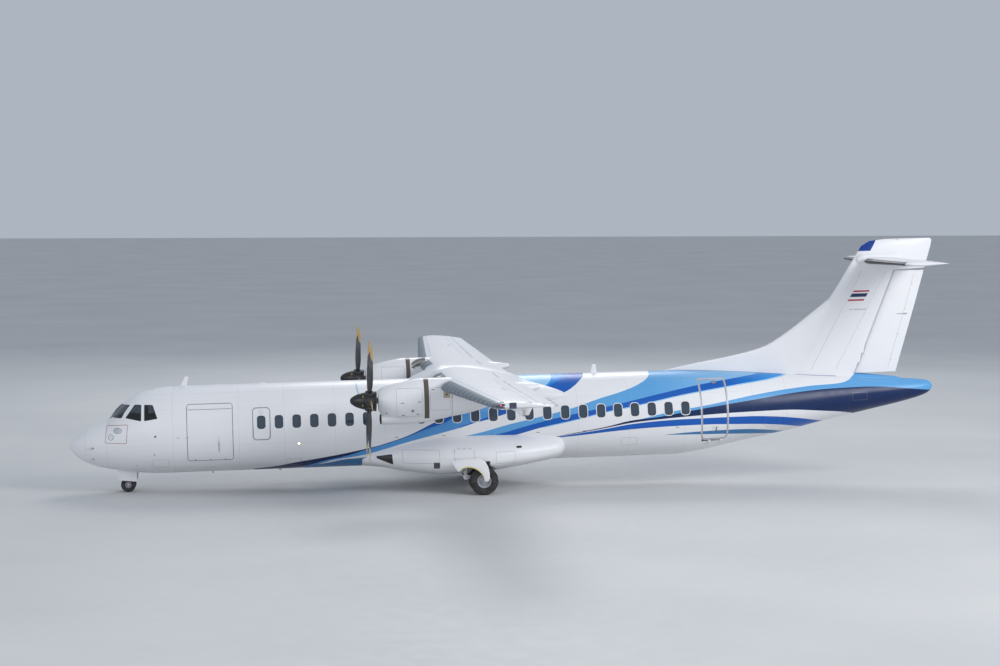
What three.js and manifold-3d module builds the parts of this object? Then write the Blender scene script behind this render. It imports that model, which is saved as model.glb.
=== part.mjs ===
// Twin-turboprop high-wing airliner, parked on its gear. Millimetres, X aft, Y to starboard, Z up.
// Shapes are laid out in airframe coordinates: s = station aft of the nose tip, y = to starboard,
// w = height above the fuselage centreline. One group then sets the airframe nose-down on its wheels.
import * as THREE from 'three';
import { mergeVertices } from 'three/addons/utils/BufferGeometryUtils.js';
import Module from 'manifold-3d';

const wasm = await Module();
wasm.setup();

// Driving dimensions
const DEG = Math.PI / 180;
const LENGTH = 27166;              // nose tip to tail end, along the ground
const NOSE_DOWN = 1.15 * DEG;      // attitude on the ground
const CENTRELINE_HEIGHT = 2006;    // of the fuselage centreline above ground, at mid length
const GAP = 0.3;                   // between pieces that touch
const SKIN = 60;                   // wall and door thickness
const PORT = -1;
const STARBOARD = 1;
const SIDES = [[PORT, 'left'], [STARBOARD, 'right']];

const MAIN_WHEEL = { station: 12545, y: 2050, radius: 432, width: 254, spacing: 446, rim: 205 };
const NOSE_WHEEL = { station: 1775, y: 0, radius: 225, width: 180, spacing: 350, rim: 95 };
const THRUST = { y: 4050, s: 9030, w: 1150, tilt: 2.5 * DEG, radius: 1965, blades: 6 };

const PAINT = {
  white: { color: 0xf1f3f5, roughness: 0.35, metalness: 0.0 },
  blue: { color: 0x1f56a8, roughness: 0.35, metalness: 0.0 },
  grey: { color: 0x9aa0a6, roughness: 0.5, metalness: 0.2 },
  boot: { color: 0x4a5560, roughness: 0.7, metalness: 0.0 },
  black: { color: 0x141518, roughness: 0.45, metalness: 0.0 },
  metal: { color: 0xb4b7ba, roughness: 0.35, metalness: 0.9 },
  strut: { color: 0xd4d7da, roughness: 0.4, metalness: 0.3 },
  tyre: { color: 0x1b1a19, roughness: 0.9, metalness: 0.0 },
  glass: { color: 0x2a3540, roughness: 0.08, metalness: 0.0 },
  cabin: { color: 0x4c5258, roughness: 0.8, metalness: 0.0 },
};

// Airframe group: rotated about Y so that stations rise aft, then moved over the ground
const airframe = new THREE.Group();
airframe.rotation.y = -NOSE_DOWN;
airframe.position.set(
  -LENGTH / 2 * Math.cos(NOSE_DOWN) - 4,
  0,
  CENTRELINE_HEIGHT - LENGTH / 2 * Math.sin(NOSE_DOWN),
);

function fromGround(station, height) {
  const x = station - LENGTH / 2 - airframe.position.x;
  const z = height - airframe.position.z;
  const s = x * Math.cos(NOSE_DOWN) + z * Math.sin(NOSE_DOWN);
  return [s, z * Math.cos(NOSE_DOWN) - x * Math.sin(NOSE_DOWN)];
}

// Solids: geometry to manifold and back
function makeSolid(positions, triangles) {
  const volume = signedVolume(positions, triangles);
  const facing = volume < 0 ? triangles.map(([a, b, c]) => [a, c, b]) : triangles;
  return new wasm.Manifold(new wasm.Mesh({
    numProp: 3,
    vertProperties: Float32Array.from(positions),
    triVerts: Uint32Array.from(facing.flat()),
  }));
}

function signedVolume(positions, triangles) {
  const point = (i) => new THREE.Vector3().fromArray(positions, 3 * i);
  let total = 0;
  for (const [a, b, c] of triangles) {
    total += point(a).dot(point(b).cross(point(c)));
  }
  return total;
}

function solid(geometry) {
  const bare = geometry.clone();
  bare.deleteAttribute('normal');
  bare.deleteAttribute('uv');
  const merged = mergeVertices(bare, 0.001);
  const index = merged.index.array;
  const triangles = [];
  for (let i = 0; i < index.length; i += 3) {
    const [a, b, c] = [index[i], index[i + 1], index[i + 2]];
    if (a !== b && b !== c && c !== a) triangles.push([a, b, c]);
  }
  return makeSolid(merged.attributes.position.array, triangles);
}

function loft(rings) {
  const count = rings[0].length;
  const centre = (ring) => [0, 1, 2].map((k) => ring.reduce((sum, p) => sum + p[k], 0) / count);
  const last = rings.length - 1;
  const points = [...rings.flat(), centre(rings[0]), centre(rings[last])];
  const firstCentre = rings.length * count;
  const triangles = [];
  for (let j = 0; j < count; j += 1) {
    const next = (j + 1) % count;
    for (let i = 0; i < last; i += 1) {
      const [a, b] = [i * count + j, i * count + next];
      triangles.push([a, b, b + count], [a, b + count, a + count]);
    }
    triangles.push([firstCentre, next, j]);
    triangles.push([firstCentre + 1, last * count + j, last * count + next]);
  }
  return makeSolid(points.flat(), triangles);
}

function union(...solids) {
  return solids.reduce((all, one) => all.add(one));
}

function box(s0, s1, y0, y1, w0, w1) {
  const geometry = new THREE.BoxGeometry(Math.abs(s1 - s0), Math.abs(y1 - y0), Math.abs(w1 - w0));
  geometry.translate((s0 + s1) / 2, (y0 + y1) / 2, (w0 + w1) / 2);
  return solid(geometry);
}

// A round bar from one point to another
function bar(from, to, radius, sides = 12, endRadius = radius) {
  const start = new THREE.Vector3(...from);
  const end = new THREE.Vector3(...to);
  const along = end.clone().sub(start);
  const geometry = new THREE.CylinderGeometry(endRadius, radius, along.length(), sides);
  const upright = new THREE.Vector3(0, 1, 0);
  const turn = new THREE.Quaternion().setFromUnitVectors(upright, along.clone().normalize());
  geometry.applyQuaternion(turn);
  geometry.translate(...start.add(end).multiplyScalar(0.5).toArray());
  return solid(geometry);
}

function shapeFrom(points) {
  return new THREE.Shape(points.map(([a, b]) => new THREE.Vector2(a, b)));
}

// A side-view outline (s, w) carried across from y0 to y1
function sidePrism(points, y0, y1) {
  const geometry = new THREE.ExtrudeGeometry(shapeFrom(points), { depth: y1 - y0, bevelEnabled: false });
  geometry.rotateX(Math.PI / 2);
  geometry.translate(0, y1, 0);
  return solid(geometry);
}

// A front-view outline (y, w) carried aft from s0 to s1
function frontPrism(points, s0, s1) {
  const geometry = new THREE.ExtrudeGeometry(shapeFrom(points), { depth: s1 - s0, bevelEnabled: false });
  geometry.rotateX(Math.PI / 2);
  geometry.rotateZ(Math.PI / 2);
  geometry.translate(s0, 0, 0);
  return solid(geometry);
}

// A plan outline (s, y) carried up from w0 to w1
function planPrism(points, w0, w1) {
  const geometry = new THREE.ExtrudeGeometry(shapeFrom(points), { depth: w1 - w0, bevelEnabled: false });
  geometry.translate(0, 0, w0);
  return solid(geometry);
}

function roundedRectangle(a0, a1, b0, b1, radius) {
  const points = [];
  const corners = [[a1, b1, 0], [a0, b1, 90], [a0, b0, 180], [a1, b0, 270]];
  const inward = (value, low, high) => (value === low ? low + radius : high - radius);
  for (const [a, b, start] of corners) {
    for (const step of [0, 30, 60, 90]) {
      const angle = (start + step) * DEG;
      points.push([
        inward(a, a0, a1) + radius * Math.cos(angle),
        inward(b, b0, b1) + radius * Math.sin(angle),
      ]);
    }
  }
  return points;
}

function inset(points, distance) {
  const middle = [0, 1].map((k) => points.reduce((sum, p) => sum + p[k], 0) / points.length);
  return points.map(([a, b]) => {
    const reach = Math.hypot(a - middle[0], b - middle[1]);
    const keep = 1 - distance / reach;
    return [middle[0] + (a - middle[0]) * keep, middle[1] + (b - middle[1]) * keep];
  });
}

const mirrored = (points, side) => points.map(([a, b]) => [a * side, b]);

function addPiece(name, piece, paint) {
  const mesh = piece.getMesh();
  const geometry = new THREE.BufferGeometry();
  geometry.setAttribute('position', new THREE.BufferAttribute(mesh.vertProperties, 3));
  geometry.setIndex(new THREE.BufferAttribute(mesh.triVerts, 1));
  geometry.computeVertexNormals();
  const node = new THREE.Mesh(geometry, new THREE.MeshStandardMaterial(PAINT[paint]));
  node.name = name;
  airframe.add(node);
}

// Fuselage
// station, top, bottom, half width, height of the widest point, fullness of the lower half
const FUSELAGE = [
  [0, -265, -370, 60, -318, 2.0],
  [30, -205, -440, 165, -320, 2.0],
  [100, -118, -520, 275, -318, 2.0],
  [250, -5, -672, 435, -315, 2.0],
  [520, 185, -838, 630, -300, 2.05],
  [840, 340, -962, 800, -260, 2.1],
  [1190, 485, -1042, 945, -210, 2.15],
  [1630, 930, -1132, 1090, -150, 2.2],
  [1910, 1135, -1172, 1170, -110, 2.2],
  [2230, 1285, -1200, 1245, -80, 2.2],
  [2620, 1365, -1218, 1320, -50, 2.25],
  [3120, 1412, -1225, 1385, -20, 2.3],
  [3630, 1430, -1222, 1420, 0, 2.35],
  [4300, 1432, -1220, 1432, 0, 2.35],
  [18630, 1432, -1200, 1432, 0, 2.35],
  [19550, 1410, -1100, 1405, 30, 2.3],
  [20700, 1340, -880, 1310, 150, 2.2],
  [22400, 1215, -575, 1080, 270, 2.1],
  [23700, 1140, -290, 860, 390, 2.0],
  [25000, 1050, -35, 630, 500, 2.0],
  [26400, 935, 258, 370, 590, 2.0],
  [26950, 880, 420, 235, 650, 2.0],
  [27130, 800, 540, 130, 670, 2.0],
  [27182, 730, 610, 60, 670, 2.0],
];
const HULL_POINTS = 28;
const FAIRING_POINTS = 20;
const NACELLE_POINTS = 16;
const FULL_TOP = 2;

function sectionRing([s, top, bottom, half, centre, fullness], count, grow = 0) {
  const ring = [];
  for (let i = 0; i < count; i += 1) {
    const angle = (i / count) * 2 * Math.PI;
    const upper = Math.sin(angle) >= 0;
    const power = 2 / (upper ? FULL_TOP : fullness);
    const across = Math.sign(Math.cos(angle)) * Math.abs(Math.cos(angle)) ** power;
    const up = Math.abs(Math.sin(angle)) ** power;
    const rise = upper ? (top - centre + grow) * up : -(centre - bottom + grow) * up;
    ring.push([s, (half + grow) * across, centre + rise]);
  }
  return ring;
}

function rowAt(table, at) {
  const next = Math.max(1, table.findIndex((row) => row[0] >= at));
  const [before, after] = [table[next - 1], table[next]];
  const part = (at - before[0]) / (after[0] - before[0]);
  return before.map((value, k) => value + (after[k] - value) * part);
}

function fuselageBody(s0, s1, grow = 0) {
  const middle = FUSELAGE.filter(([s]) => s > s0 && s < s1);
  const rows = [rowAt(FUSELAGE, s0), ...middle, rowAt(FUSELAGE, s1)];
  return loft(rows.map((row) => sectionRing(row, HULL_POINTS, grow)));
}

const CUTS = { radome: 520, cockpit: 3200, cabin: 18900, tail: 26100 };

// Wing: spanwise station, leading edge s, chord, height of the leading edge, thickness, washout
const WING = [
  [0, 11060, 2580, 1530, 0.18, 60],
  [4700, 11080, 2560, 1535, 0.18, 60],
  [13200, 11680, 1630, 1775, 0.13, 30],
  [13440, 11770, 1500, 1785, 0.105, 30],
  [13525, 11920, 1280, 1790, 0.05, 30],
];
const CAMBER = 0.02;
const EDGE = 4;
const CHORD_STEPS = [0, 0.012, 0.045, 0.11, 0.2, 0.32, 0.46, 0.6, 0.74, 0.87, 1];

function halfThickness(x, chord, thickness) {
  const form = 0.2969 * Math.sqrt(x) - 0.126 * x - 0.3516 * x ** 2 + 0.2843 * x ** 3 - 0.1036 * x ** 4;
  return 5 * thickness * chord * form + EDGE * x;
}

function foilPoint(row, x, surface, grow = 0) {
  const [, leading, chord, height, thickness, washout] = row;
  const middle = height - washout * x + CAMBER * 4 * x * (1 - x) * chord;
  const spread = halfThickness(x, chord, thickness) + grow;
  return [leading + chord * x + (x === 0 ? -grow : 0) + (x === 1 ? grow : 0), middle + surface * spread];
}

// The nose point of a section is single, the trailing edge is a thin flat
function foilOutline(row, grow = 0) {
  const upper = CHORD_STEPS.slice(1).map((x) => foilPoint(row, x, 1, grow)).reverse();
  const lower = CHORD_STEPS.slice(1).map((x) => foilPoint(row, x, -1, grow));
  const [s] = foilPoint(row, 0, 1, grow);
  return [...upper, [s, row[3]], ...lower];
}

function wingBody(y0, y1, side, grow = 0) {
  const middle = WING.filter(([y]) => y > y0 && y < y1);
  const rows = [rowAt(WING, y0), ...middle, rowAt(WING, y1)];
  return loft(rows.map((row) => foilOutline(row, grow).map(([s, w]) => [s, row[0] * side, w])));
}

// Control surface: rounded nose about its hinge, then the section's own surfaces to the trailing edge
const NOSE_ARC = [90, 120, 150, 180, 210, 240, 270];

function controlOutline(row, hinge, point = foilPoint) {
  const steps = [1, 0.75, 0.5, 0.25].map((part) => hinge + (1 - hinge) * part);
  const upper = steps.map((x) => point(row, x, 1));
  const lower = steps.map((x) => point(row, x, -1)).reverse();
  const top = point(row, hinge, 1);
  const bottom = point(row, hinge, -1);
  const radius = (top[1] - bottom[1]) / 2;
  const middle = (top[1] + bottom[1]) / 2;
  const arc = NOSE_ARC.map((a) => [top[0] + radius * Math.cos(a * DEG), middle + radius * Math.sin(a * DEG)]);
  return { outline: [...upper, ...arc, ...lower], hinge: [top[0], middle], radius };
}

const FLAP_HINGE = 0.75;
const AILERON_HINGE = 0.76;
const CONTROL_GAP = 10;     // ahead of a control surface's nose
const END_GAP = 8;          // beside an aileron or an elevator
const FLAP_END_GAP = 16;    // a flap also moves a little along its slanting hinge line
// name, inner end, outer end, hinge as a part of the chord, gap beside each end
const WING_CONTROLS = [
  ['flap_inboard', 1568, 3552, FLAP_HINGE, FLAP_END_GAP],
  ['flap_outboard', 4768, 9692, FLAP_HINGE, FLAP_END_GAP],
  ['aileron', 9740, 13120, AILERON_HINGE, END_GAP],
];
const FLAP_PIVOT = { drop: 430, aft: 50 };      // below the flap's skin, behind its hinge station
const LUG = { width: 16, clear: 4 };
const BRACKET_WIDTH = 70;
const FLAP_PIN = { radius: 16, hole: 16.8, reach: 24, sides: 16 };

function wingControl([, inner, outer, hinge], side) {
  const rows = [inner, outer].map((y) => rowAt(WING, y));
  return loft(rows.map((row) => (
    controlOutline(row, hinge).outline.map(([s, w]) => [s, row[0] * side, w])
  )));
}

function controlCutter([, inner, outer, hinge, gap], side) {
  const front = (y) => {
    const { hinge: [s], radius } = controlOutline(rowAt(WING, y), hinge);
    return s - radius - CONTROL_GAP;
  };
  const [a, b] = [inner - gap, outer + gap];
  const past = 14500;
  const corners = [[front(a), a], [past, a], [past, b], [front(b), b]];
  return planPrism(corners.map(([s, y]) => [s, y * side]), 900, 2300);
}

function flapPivot([, inner, outer, hinge]) {
  return [inner, outer].map((y) => {
    const { hinge: [s, w], radius } = controlOutline(rowAt(WING, y), hinge);
    return [s + FLAP_PIVOT.aft, y, w - radius - FLAP_PIVOT.drop];
  });
}

// A flap hangs on lugs below its nose, each beside the end of a bracket deep under the wing
function flapLug(control, part, side) {
  const [from, to] = flapPivot(control);
  const at = (k) => from[k] + (to[k] - from[k]) * part;
  const row = rowAt(WING, at(1));
  const { hinge: [s, w] } = controlOutline(row, control[3]);
  const outline = [
    [at(0) - 30, at(2) - 30], [at(0) + 70, at(2) - 30], foilPoint(row, 0.93, 0), [s + 160, w], [s, w],
    [at(0) - 30, at(2) + 120],
  ];
  return sidePrism(outline, ...[at(1), at(1) + LUG.width].map((y) => y * side).sort((a, b) => a - b));
}

// A pin along the flap's hinge line, through the lug at one part of the span
function flapPin(control, part, side, radius, reach) {
  const [from, to] = flapPivot(control).map(([s, y, w]) => new THREE.Vector3(s, y * side, w));
  const along = to.clone().sub(from).normalize();
  const middle = from.clone().lerp(to, part);
  const start = middle.clone().addScaledVector(along, -reach);
  return bar(start.toArray(), middle.addScaledVector(along, reach).toArray(), radius, FLAP_PIN.sides);
}

function flapBracket(control, part, side) {
  const [from, to] = flapPivot(control);
  const at = (k) => from[k] + (to[k] - from[k]) * part;
  const row = rowAt(WING, at(1));
  const root = foilPoint(row, 0.36, 0);
  const rear = foilPoint(row, 0.69, 0);
  const outline = [
    root, [at(0) - 70, at(2) - 45], [at(0) + 40, at(2) - 45], [at(0) + 50, at(2) + 25],
    [at(0) - 40, at(2) + 120], rear,
  ];
  const y = at(1) - LUG.clear;
  return sidePrism(outline, ...[y - BRACKET_WIDTH, y].map((value) => value * side).sort((a, b) => a - b))
    .add(flapPin(control, part, side, FLAP_PIN.radius, FLAP_PIN.reach));
}

const FLAP_HANGERS = { flap_inboard: [0.12, 0.88], flap_outboard: [0.08, 0.5, 0.94] };

// Tail surfaces: height, leading edge s, trailing edge s, thickness
const FIN = [
  [700, 22250, 25860, 0.12],
  [3600, 23900, 26740, 0.115],
  [3960, 24150, 26840, 0.115],
  [5200, 24930, 27205, 0.1],
  [5340, 25180, 27225, 0.06],
  [5395, 25700, 27170, 0.02],
];
// station, crest height, half width of the ridge ahead of the fin
const DORSAL = [
  [18450, 1425, 12], [19520, 1630, 34], [20700, 1830, 52], [21710, 2080, 70], [22300, 2400, 84],
  [23900, 3560, 110],
];
const RUDDER = { bottom: 1170, top: 4380, lowHinge: 24760, highHinge: 26060 };
const FIN_TAPER = (w) => {
  const [, leading, trailing, thickness] = rowAt(FIN, w);
  return [0, leading, trailing - leading, 0, thickness, 0];
};

function straightFoil(row, x, surface, grow = 0) {
  const [, leading, chord, height, thickness] = row;
  return [leading + chord * x + (x === 0 ? -grow : 0) + (x === 1 ? grow : 0),
    height + surface * (halfThickness(x, chord, thickness) + grow)];
}

function straightOutline(row, grow = 0) {
  const upper = CHORD_STEPS.slice(1).map((x) => straightFoil(row, x, 1, grow)).reverse();
  const lower = CHORD_STEPS.slice(1).map((x) => straightFoil(row, x, -1, grow));
  return [...upper, [row[1] - grow, row[3]], ...lower];
}

const rudderHinge = (w) => {
  const part = (w - RUDDER.bottom) / (RUDDER.top - RUDDER.bottom);
  return RUDDER.lowHinge + (RUDDER.highHinge - RUDDER.lowHinge) * part;
};

function rudderOutline(w) {
  const row = FIN_TAPER(w);
  const hinge = (rudderHinge(w) - row[1]) / row[2];
  return controlOutline(row, hinge, straightFoil);
}

function finBody() {
  const rings = FIN.map(([w]) => straightOutline(FIN_TAPER(w)).map(([s, y]) => [s, y, w]));
  const dorsal = loft(DORSAL.map(([s, crest, half]) => [
    [s, -half * 1.6, 700], [s, half * 1.6, 700], [s, half, crest - 2 * half],
    [s, half * 0.6, crest - half * 0.5], [s, 0, crest], [s, -half * 0.6, crest - half * 0.5],
    [s, -half, crest - 2 * half],
  ]));
  return union(loft(rings), dorsal);
}

// Stabilizer: spanwise station, leading edge s, chord, height, thickness
const STABILIZER = [
  [0, 24860, 1860, 4720, 0.13],
  [3560, 25310, 1330, 4700, 0.11],
  [3655, 25430, 1190, 4700, 0.05],
];
const ELEVATOR = { inner: 330, outer: 3570, hinge: 0.64 };
const stabilizerRow = (y) => {
  const [, leading, chord, height, thickness] = rowAt(STABILIZER, y);
  return [y, leading, chord, height, thickness, 0];
};

function stabilizerBody(grow = 0) {
  const half = STABILIZER.map(([y]) => y);
  const stations = [...half.slice(1).reverse().map((y) => -y), ...half];
  return loft(stations.map((y) => (
    straightOutline(stabilizerRow(Math.abs(y)), grow).map(([s, w]) => [s, y, w])
  )));
}

const elevatorOutline = (y) => controlOutline(stabilizerRow(y), ELEVATOR.hinge, straightFoil);

// Fuselage pieces
const wingThrough = union(wingBody(0, 4700, PORT, GAP), wingBody(0, 4700, STARBOARD, GAP));
const layer = (outer, inner) => fuselageBody(CUTS.radome, CUTS.tail, outer).subtract(
  fuselageBody(CUTS.radome + 10, CUTS.tail - 10, -inner));
const skinLayer = layer(0, SKIN);
const doorwayLayer = layer(20, SKIN + 1);

const CARGO_DOOR = { s0: 3620, s1: 5000, w0: -760, w1: 950, corner: 90 };
const AIRSTAIR = { s0: 19440, s1: 20250, w0: -640, w1: 1170, corner: 120, rise: -0.3 };
const SERVICE_DOOR = { s0: 19500, s1: 20140, w0: -300, w1: 950, corner: 120 };
const DOOR_GAP = 8;

function doorCutter({ s0, s1, w0, w1, corner, rise = 0 }, side, away = 0) {
  const outline = roundedRectangle(s0 + away, s1 - away, w0 + away, w1 + 260 - away, corner);
  const [inner, outer] = [500, 1800];
  const block = sidePrism(outline, ...[inner * side, outer * side].sort((a, b) => a - b));
  const edge = (y) => w1 - away + rise * (800 - y);
  const trim = frontPrism(
    mirrored([[inner, w0 - 100], [outer, w0 - 100], [outer, edge(outer)], [inner, edge(inner)]], side),
    s0 - 50, s1 + 50);
  return block.intersect(trim);
}

const windshieldOutline = [[45, 575], [45, 945], [600, 950], [805, 567]];
// The four side panes: name, outline in side view
const SIDE_PANES = [
  ['side_window_fwd', [[1765, 577], [2048, 962], [2248, 962], [2240, 487]]],
  ['side_window_aft', [[2352, 490], [2352, 962], [2602, 950], [2746, 553]]],
];
const PANE_GAP = 1.5;
const COCKPIT = { front: 1120, back: 3120, floor: -330, wall: 50 };

const cockpitHollow = fuselageBody(COCKPIT.front, COCKPIT.back, -COCKPIT.wall).intersect(
  box(COCKPIT.front, COCKPIT.back, -1500, 1500, COCKPIT.floor, 1500));
const cockpitWall = fuselageBody(CUTS.radome + GAP, CUTS.cockpit - GAP).subtract(cockpitHollow);
const NOSE_WELL = { front: 1330, back: 2360, half: 364, roof: -620 };
const noseWell = box(NOSE_WELL.front, NOSE_WELL.back, -NOSE_WELL.half, NOSE_WELL.half, -1400, NOSE_WELL.roof);

// Flat round pads for jacks: station, side, height of the face
const NOSE_JACK = [2750, 0, -1250];
const BODY_JACK = [10250, 500, -1410];
const PAD = { radius: 50, depth: 120 };
const jackPad = ([s, y, w], side = 1) => bar([s, y * side, w], [s, y * side, w + PAD.depth], PAD.radius);

let cockpitSection = cockpitWall.subtract(noseWell).add(jackPad(NOSE_JACK));
for (const [side, name] of SIDES) {
  const front = (outline) => frontPrism(mirrored(outline, side), 1000, 2100);
  addPiece(`windshield_${name}`, cockpitWall.intersect(front(inset(windshieldOutline, PANE_GAP))), 'glass');
  cockpitSection = cockpitSection.subtract(front(windshieldOutline));
  for (const [pane, outline] of SIDE_PANES) {
    const across = [500 * side, 1400 * side].sort((a, b) => a - b);
    const glazing = cockpitWall.intersect(sidePrism(inset(outline, PANE_GAP), ...across));
    addPiece(`${pane}_${name}`, glazing, 'glass');
    cockpitSection = cockpitSection.subtract(sidePrism(outline, ...across));
  }
}
addPiece('radome', fuselageBody(0, CUTS.radome - GAP), 'white');
addPiece('cockpit_section', cockpitSection, 'white');

function pilotSeat(y) {
  return union(
    box(2120, 2620, y - 230, y + 230, COCKPIT.floor + 20, -60),
    box(2520, 2680, y - 230, y + 230, -80, 560),
    box(2560, 2670, y - 120, y + 120, 540, 700),
  );
}

const cockpitFloor = COCKPIT.floor + GAP;
const cockpitFittings = union(
  box(1300, 2900, -700, 700, cockpitFloor, COCKPIT.floor + 30),
  box(1300, 1560, -760, 760, cockpitFloor, 380),
  box(1540, 2100, -160, 160, cockpitFloor, 60),
  pilotSeat(-480),
  pilotSeat(480),
).intersect(fuselageBody(COCKPIT.front + 5, COCKPIT.back - 5, -COCKPIT.wall - 5));
addPiece('cockpit_interior', cockpitFittings, 'cabin');

const insideSkin = fuselageBody(CUTS.cockpit, CUTS.tail, -SKIN);
// The hold is open up to the doorway's edges, so that the door's upper edge can swing inwards
const HOLD = { around: 20, sill: 60, inner: 300 };
const cargoHold = insideSkin.intersect(box(CARGO_DOOR.s0 - HOLD.around, CARGO_DOOR.s1 + HOLD.around,
  -1500, HOLD.inner, CARGO_DOOR.w0 + HOLD.sill, CARGO_DOOR.w1 + HOLD.around));
// The aft cabin and the tail behind it are one hollow with a floor as far as the pressure bulkhead
const AFT_CABIN = {
  front: 18960, floorEnd: 21100, back: 26040, floor: -590, floorThickness: 60, threshold: -1030,
};
const aftHollow = insideSkin.intersect(box(AFT_CABIN.front, AFT_CABIN.back, -1500, 1500, -1500, 1500))
  .subtract(box(AFT_CABIN.front - 10, AFT_CABIN.floorEnd, -1500, 1500,
    AFT_CABIN.floor - AFT_CABIN.floorThickness, AFT_CABIN.floor));
const stairWell = insideSkin.intersect(box(AIRSTAIR.s0 - 20, AIRSTAIR.s1 + 20, -1500, AFT_CABIN.threshold,
  AFT_CABIN.floor - AFT_CABIN.floorThickness - 10, AFT_CABIN.floor + 10));

// Door hinges outside the skin: place of the axis, then the foot on each piece
const CARGO_AXIS = { y: -1105, w: 985 };
const STAIR_AXIS = { y: -1240, w: -690 };
// station, y and w of the foot on the body, y and w of the foot on the door
const CARGO_HINGES = [[3880, -1005, 1000, -1085, 915], [4640, -1005, 1000, -1085, 915]];
const STAIR_HINGES = [[19560, -1105, -725, -1210, -598], [19960, -1010, -730, -1092, -585]];
const KNUCKLE = { radius: 16, length: 60 };

function knuckle(axis, foot, s) {
  const turn = Math.atan2(foot[1] - axis.w, foot[0] - axis.y) + Math.PI / 2;
  const [dy, dw] = [Math.cos(turn) * KNUCKLE.radius, Math.sin(turn) * KNUCKLE.radius];
  const arm = frontPrism([
    [axis.y + dy, axis.w + dw], [axis.y - dy, axis.w - dw],
    [foot[0] - dy, foot[1] - dw], [foot[0] + dy, foot[1] + dw],
  ], s, s + KNUCKLE.length);
  return arm.add(bar([s, axis.y, axis.w], [s + KNUCKLE.length, axis.y, axis.w], KNUCKLE.radius, 8));
}

function hingeSet(axis, places) {
  return {
    body: union(...places.map(([s, y, w]) => knuckle(axis, [y, w], s))),
    door: union(...places.map(([s, , , y, w]) => knuckle(axis, [y, w], s + KNUCKLE.length + GAP))),
  };
}

const cargoHinges = hingeSet(CARGO_AXIS, CARGO_HINGES);
const stairHinges = hingeSet(STAIR_AXIS, STAIR_HINGES);
const cargoDoorway = doorCutter(CARGO_DOOR, PORT).intersect(doorwayLayer);
const cargoDoorSkin = skinLayer.intersect(doorCutter(CARGO_DOOR, PORT, DOOR_GAP));
addPiece('fuselage', fuselageBody(CUTS.cockpit + GAP, CUTS.cabin - GAP).subtract(wingThrough)
    .subtract(cargoDoorway).subtract(cargoHold).add(cargoHinges.body), 'white');
addPiece('cargo_door', cargoDoorSkin.add(cargoHinges.door), 'white');

const finRoot = finBody();
const stairTread = (w) => box(AIRSTAIR.s0 + 90, AIRSTAIR.s1 - 90, -1330, -1010, w, w + 40);
const stairs = union(...[-430, -170, 90, 350, 610].map(stairTread))
  .intersect(fuselageBody(CUTS.cabin, 21000, -30));
addPiece('tail_section', fuselageBody(CUTS.cabin + GAP, CUTS.tail - GAP)
  .subtract(doorCutter(AIRSTAIR, PORT).intersect(doorwayLayer)).subtract(aftHollow).subtract(stairWell)
  .subtract(doorCutter(SERVICE_DOOR, STARBOARD).intersect(doorwayLayer)).add(stairHinges.body), 'white');
addPiece('passenger_door', skinLayer.intersect(doorCutter(AIRSTAIR, PORT, DOOR_GAP)).add(stairs)
  .add(stairHinges.door), 'white');
addPiece('service_door', skinLayer.intersect(doorCutter(SERVICE_DOOR, STARBOARD, 1)), 'white');
addPiece('tail_cone', fuselageBody(CUTS.tail + GAP, 27182), 'blue');

// Wing pieces
let wingCentre = union(wingBody(0, 4700 - GAP, PORT), wingBody(0, 4700 - GAP, STARBOARD));
for (const [side, name] of SIDES) {
  let outer = wingBody(4700 + GAP, 13525, side);
  for (const control of WING_CONTROLS) {
    const [kind] = control;
    const cutter = controlCutter(control, side);
    let surface = wingControl(control, side);
    let carrier = kind === 'flap_inboard' ? wingCentre : outer;
    carrier = carrier.subtract(cutter);
    for (const part of FLAP_HANGERS[kind] ?? []) {
      surface = surface.add(flapLug(control, part, side)
        .subtract(flapPin(control, part, side, FLAP_PIN.hole, 2 * FLAP_PIN.reach)));
      carrier = carrier.add(flapBracket(control, part, side));
    }
    if (kind === 'aileron') {
      const { hinge: [s, w] } = controlOutline(rowAt(WING, control[1]), control[3]);
      carrier = carrier.add(bar([s, (control[1] - 20) * side, w], [s, (control[1] - GAP) * side, w], 25));
    }
    if (kind === 'flap_inboard') wingCentre = carrier;
    else outer = carrier;
    addPiece(`${kind}_${name}`, surface, 'white');
  }
  addPiece(`outer_wing_${name}`, outer, 'white');
}
addPiece('wing_centre', wingCentre, 'white');

// station, top, bottom, half width, widest height, fullness
const WING_FAIRING = [
  [10350, 1380, 900, 700, 1000, 2],
  [10900, 1640, 800, 1330, 1000, 2],
  [11500, 1830, 700, 1500, 1000, 2],
  [12300, 1815, 700, 1500, 1000, 2],
  [12800, 1740, 680, 1500, 980, 2.3],
  [13300, 1620, 620, 1480, 940, 3],
  [13640, 1515, 620, 1440, 910, 3.5],
  [13900, 1399, 630, 1415, 900, 4],
  [14360, 1293, 616, 1340, 900, 4],
  [14650, 1236, 617, 1290, 880, 4],
  [15040, 1133, 681, 1220, 860, 4],
  [15240, 1010, 760, 1175, 860, 4],
  [15300, 950, 800, 1152, 860, 4],
];
const fairingClear = fuselageBody(CUTS.cockpit, CUTS.cabin, GAP);
const flapClear = SIDES.map(([side]) => controlCutter(WING_CONTROLS[0], side));
addPiece('wing_fairing', loft(WING_FAIRING.map((row) => sectionRing(row, FAIRING_POINTS)))
  .subtract(fairingClear).subtract(wingThrough).subtract(flapClear[0]).subtract(flapClear[1]), 'white');

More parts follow.
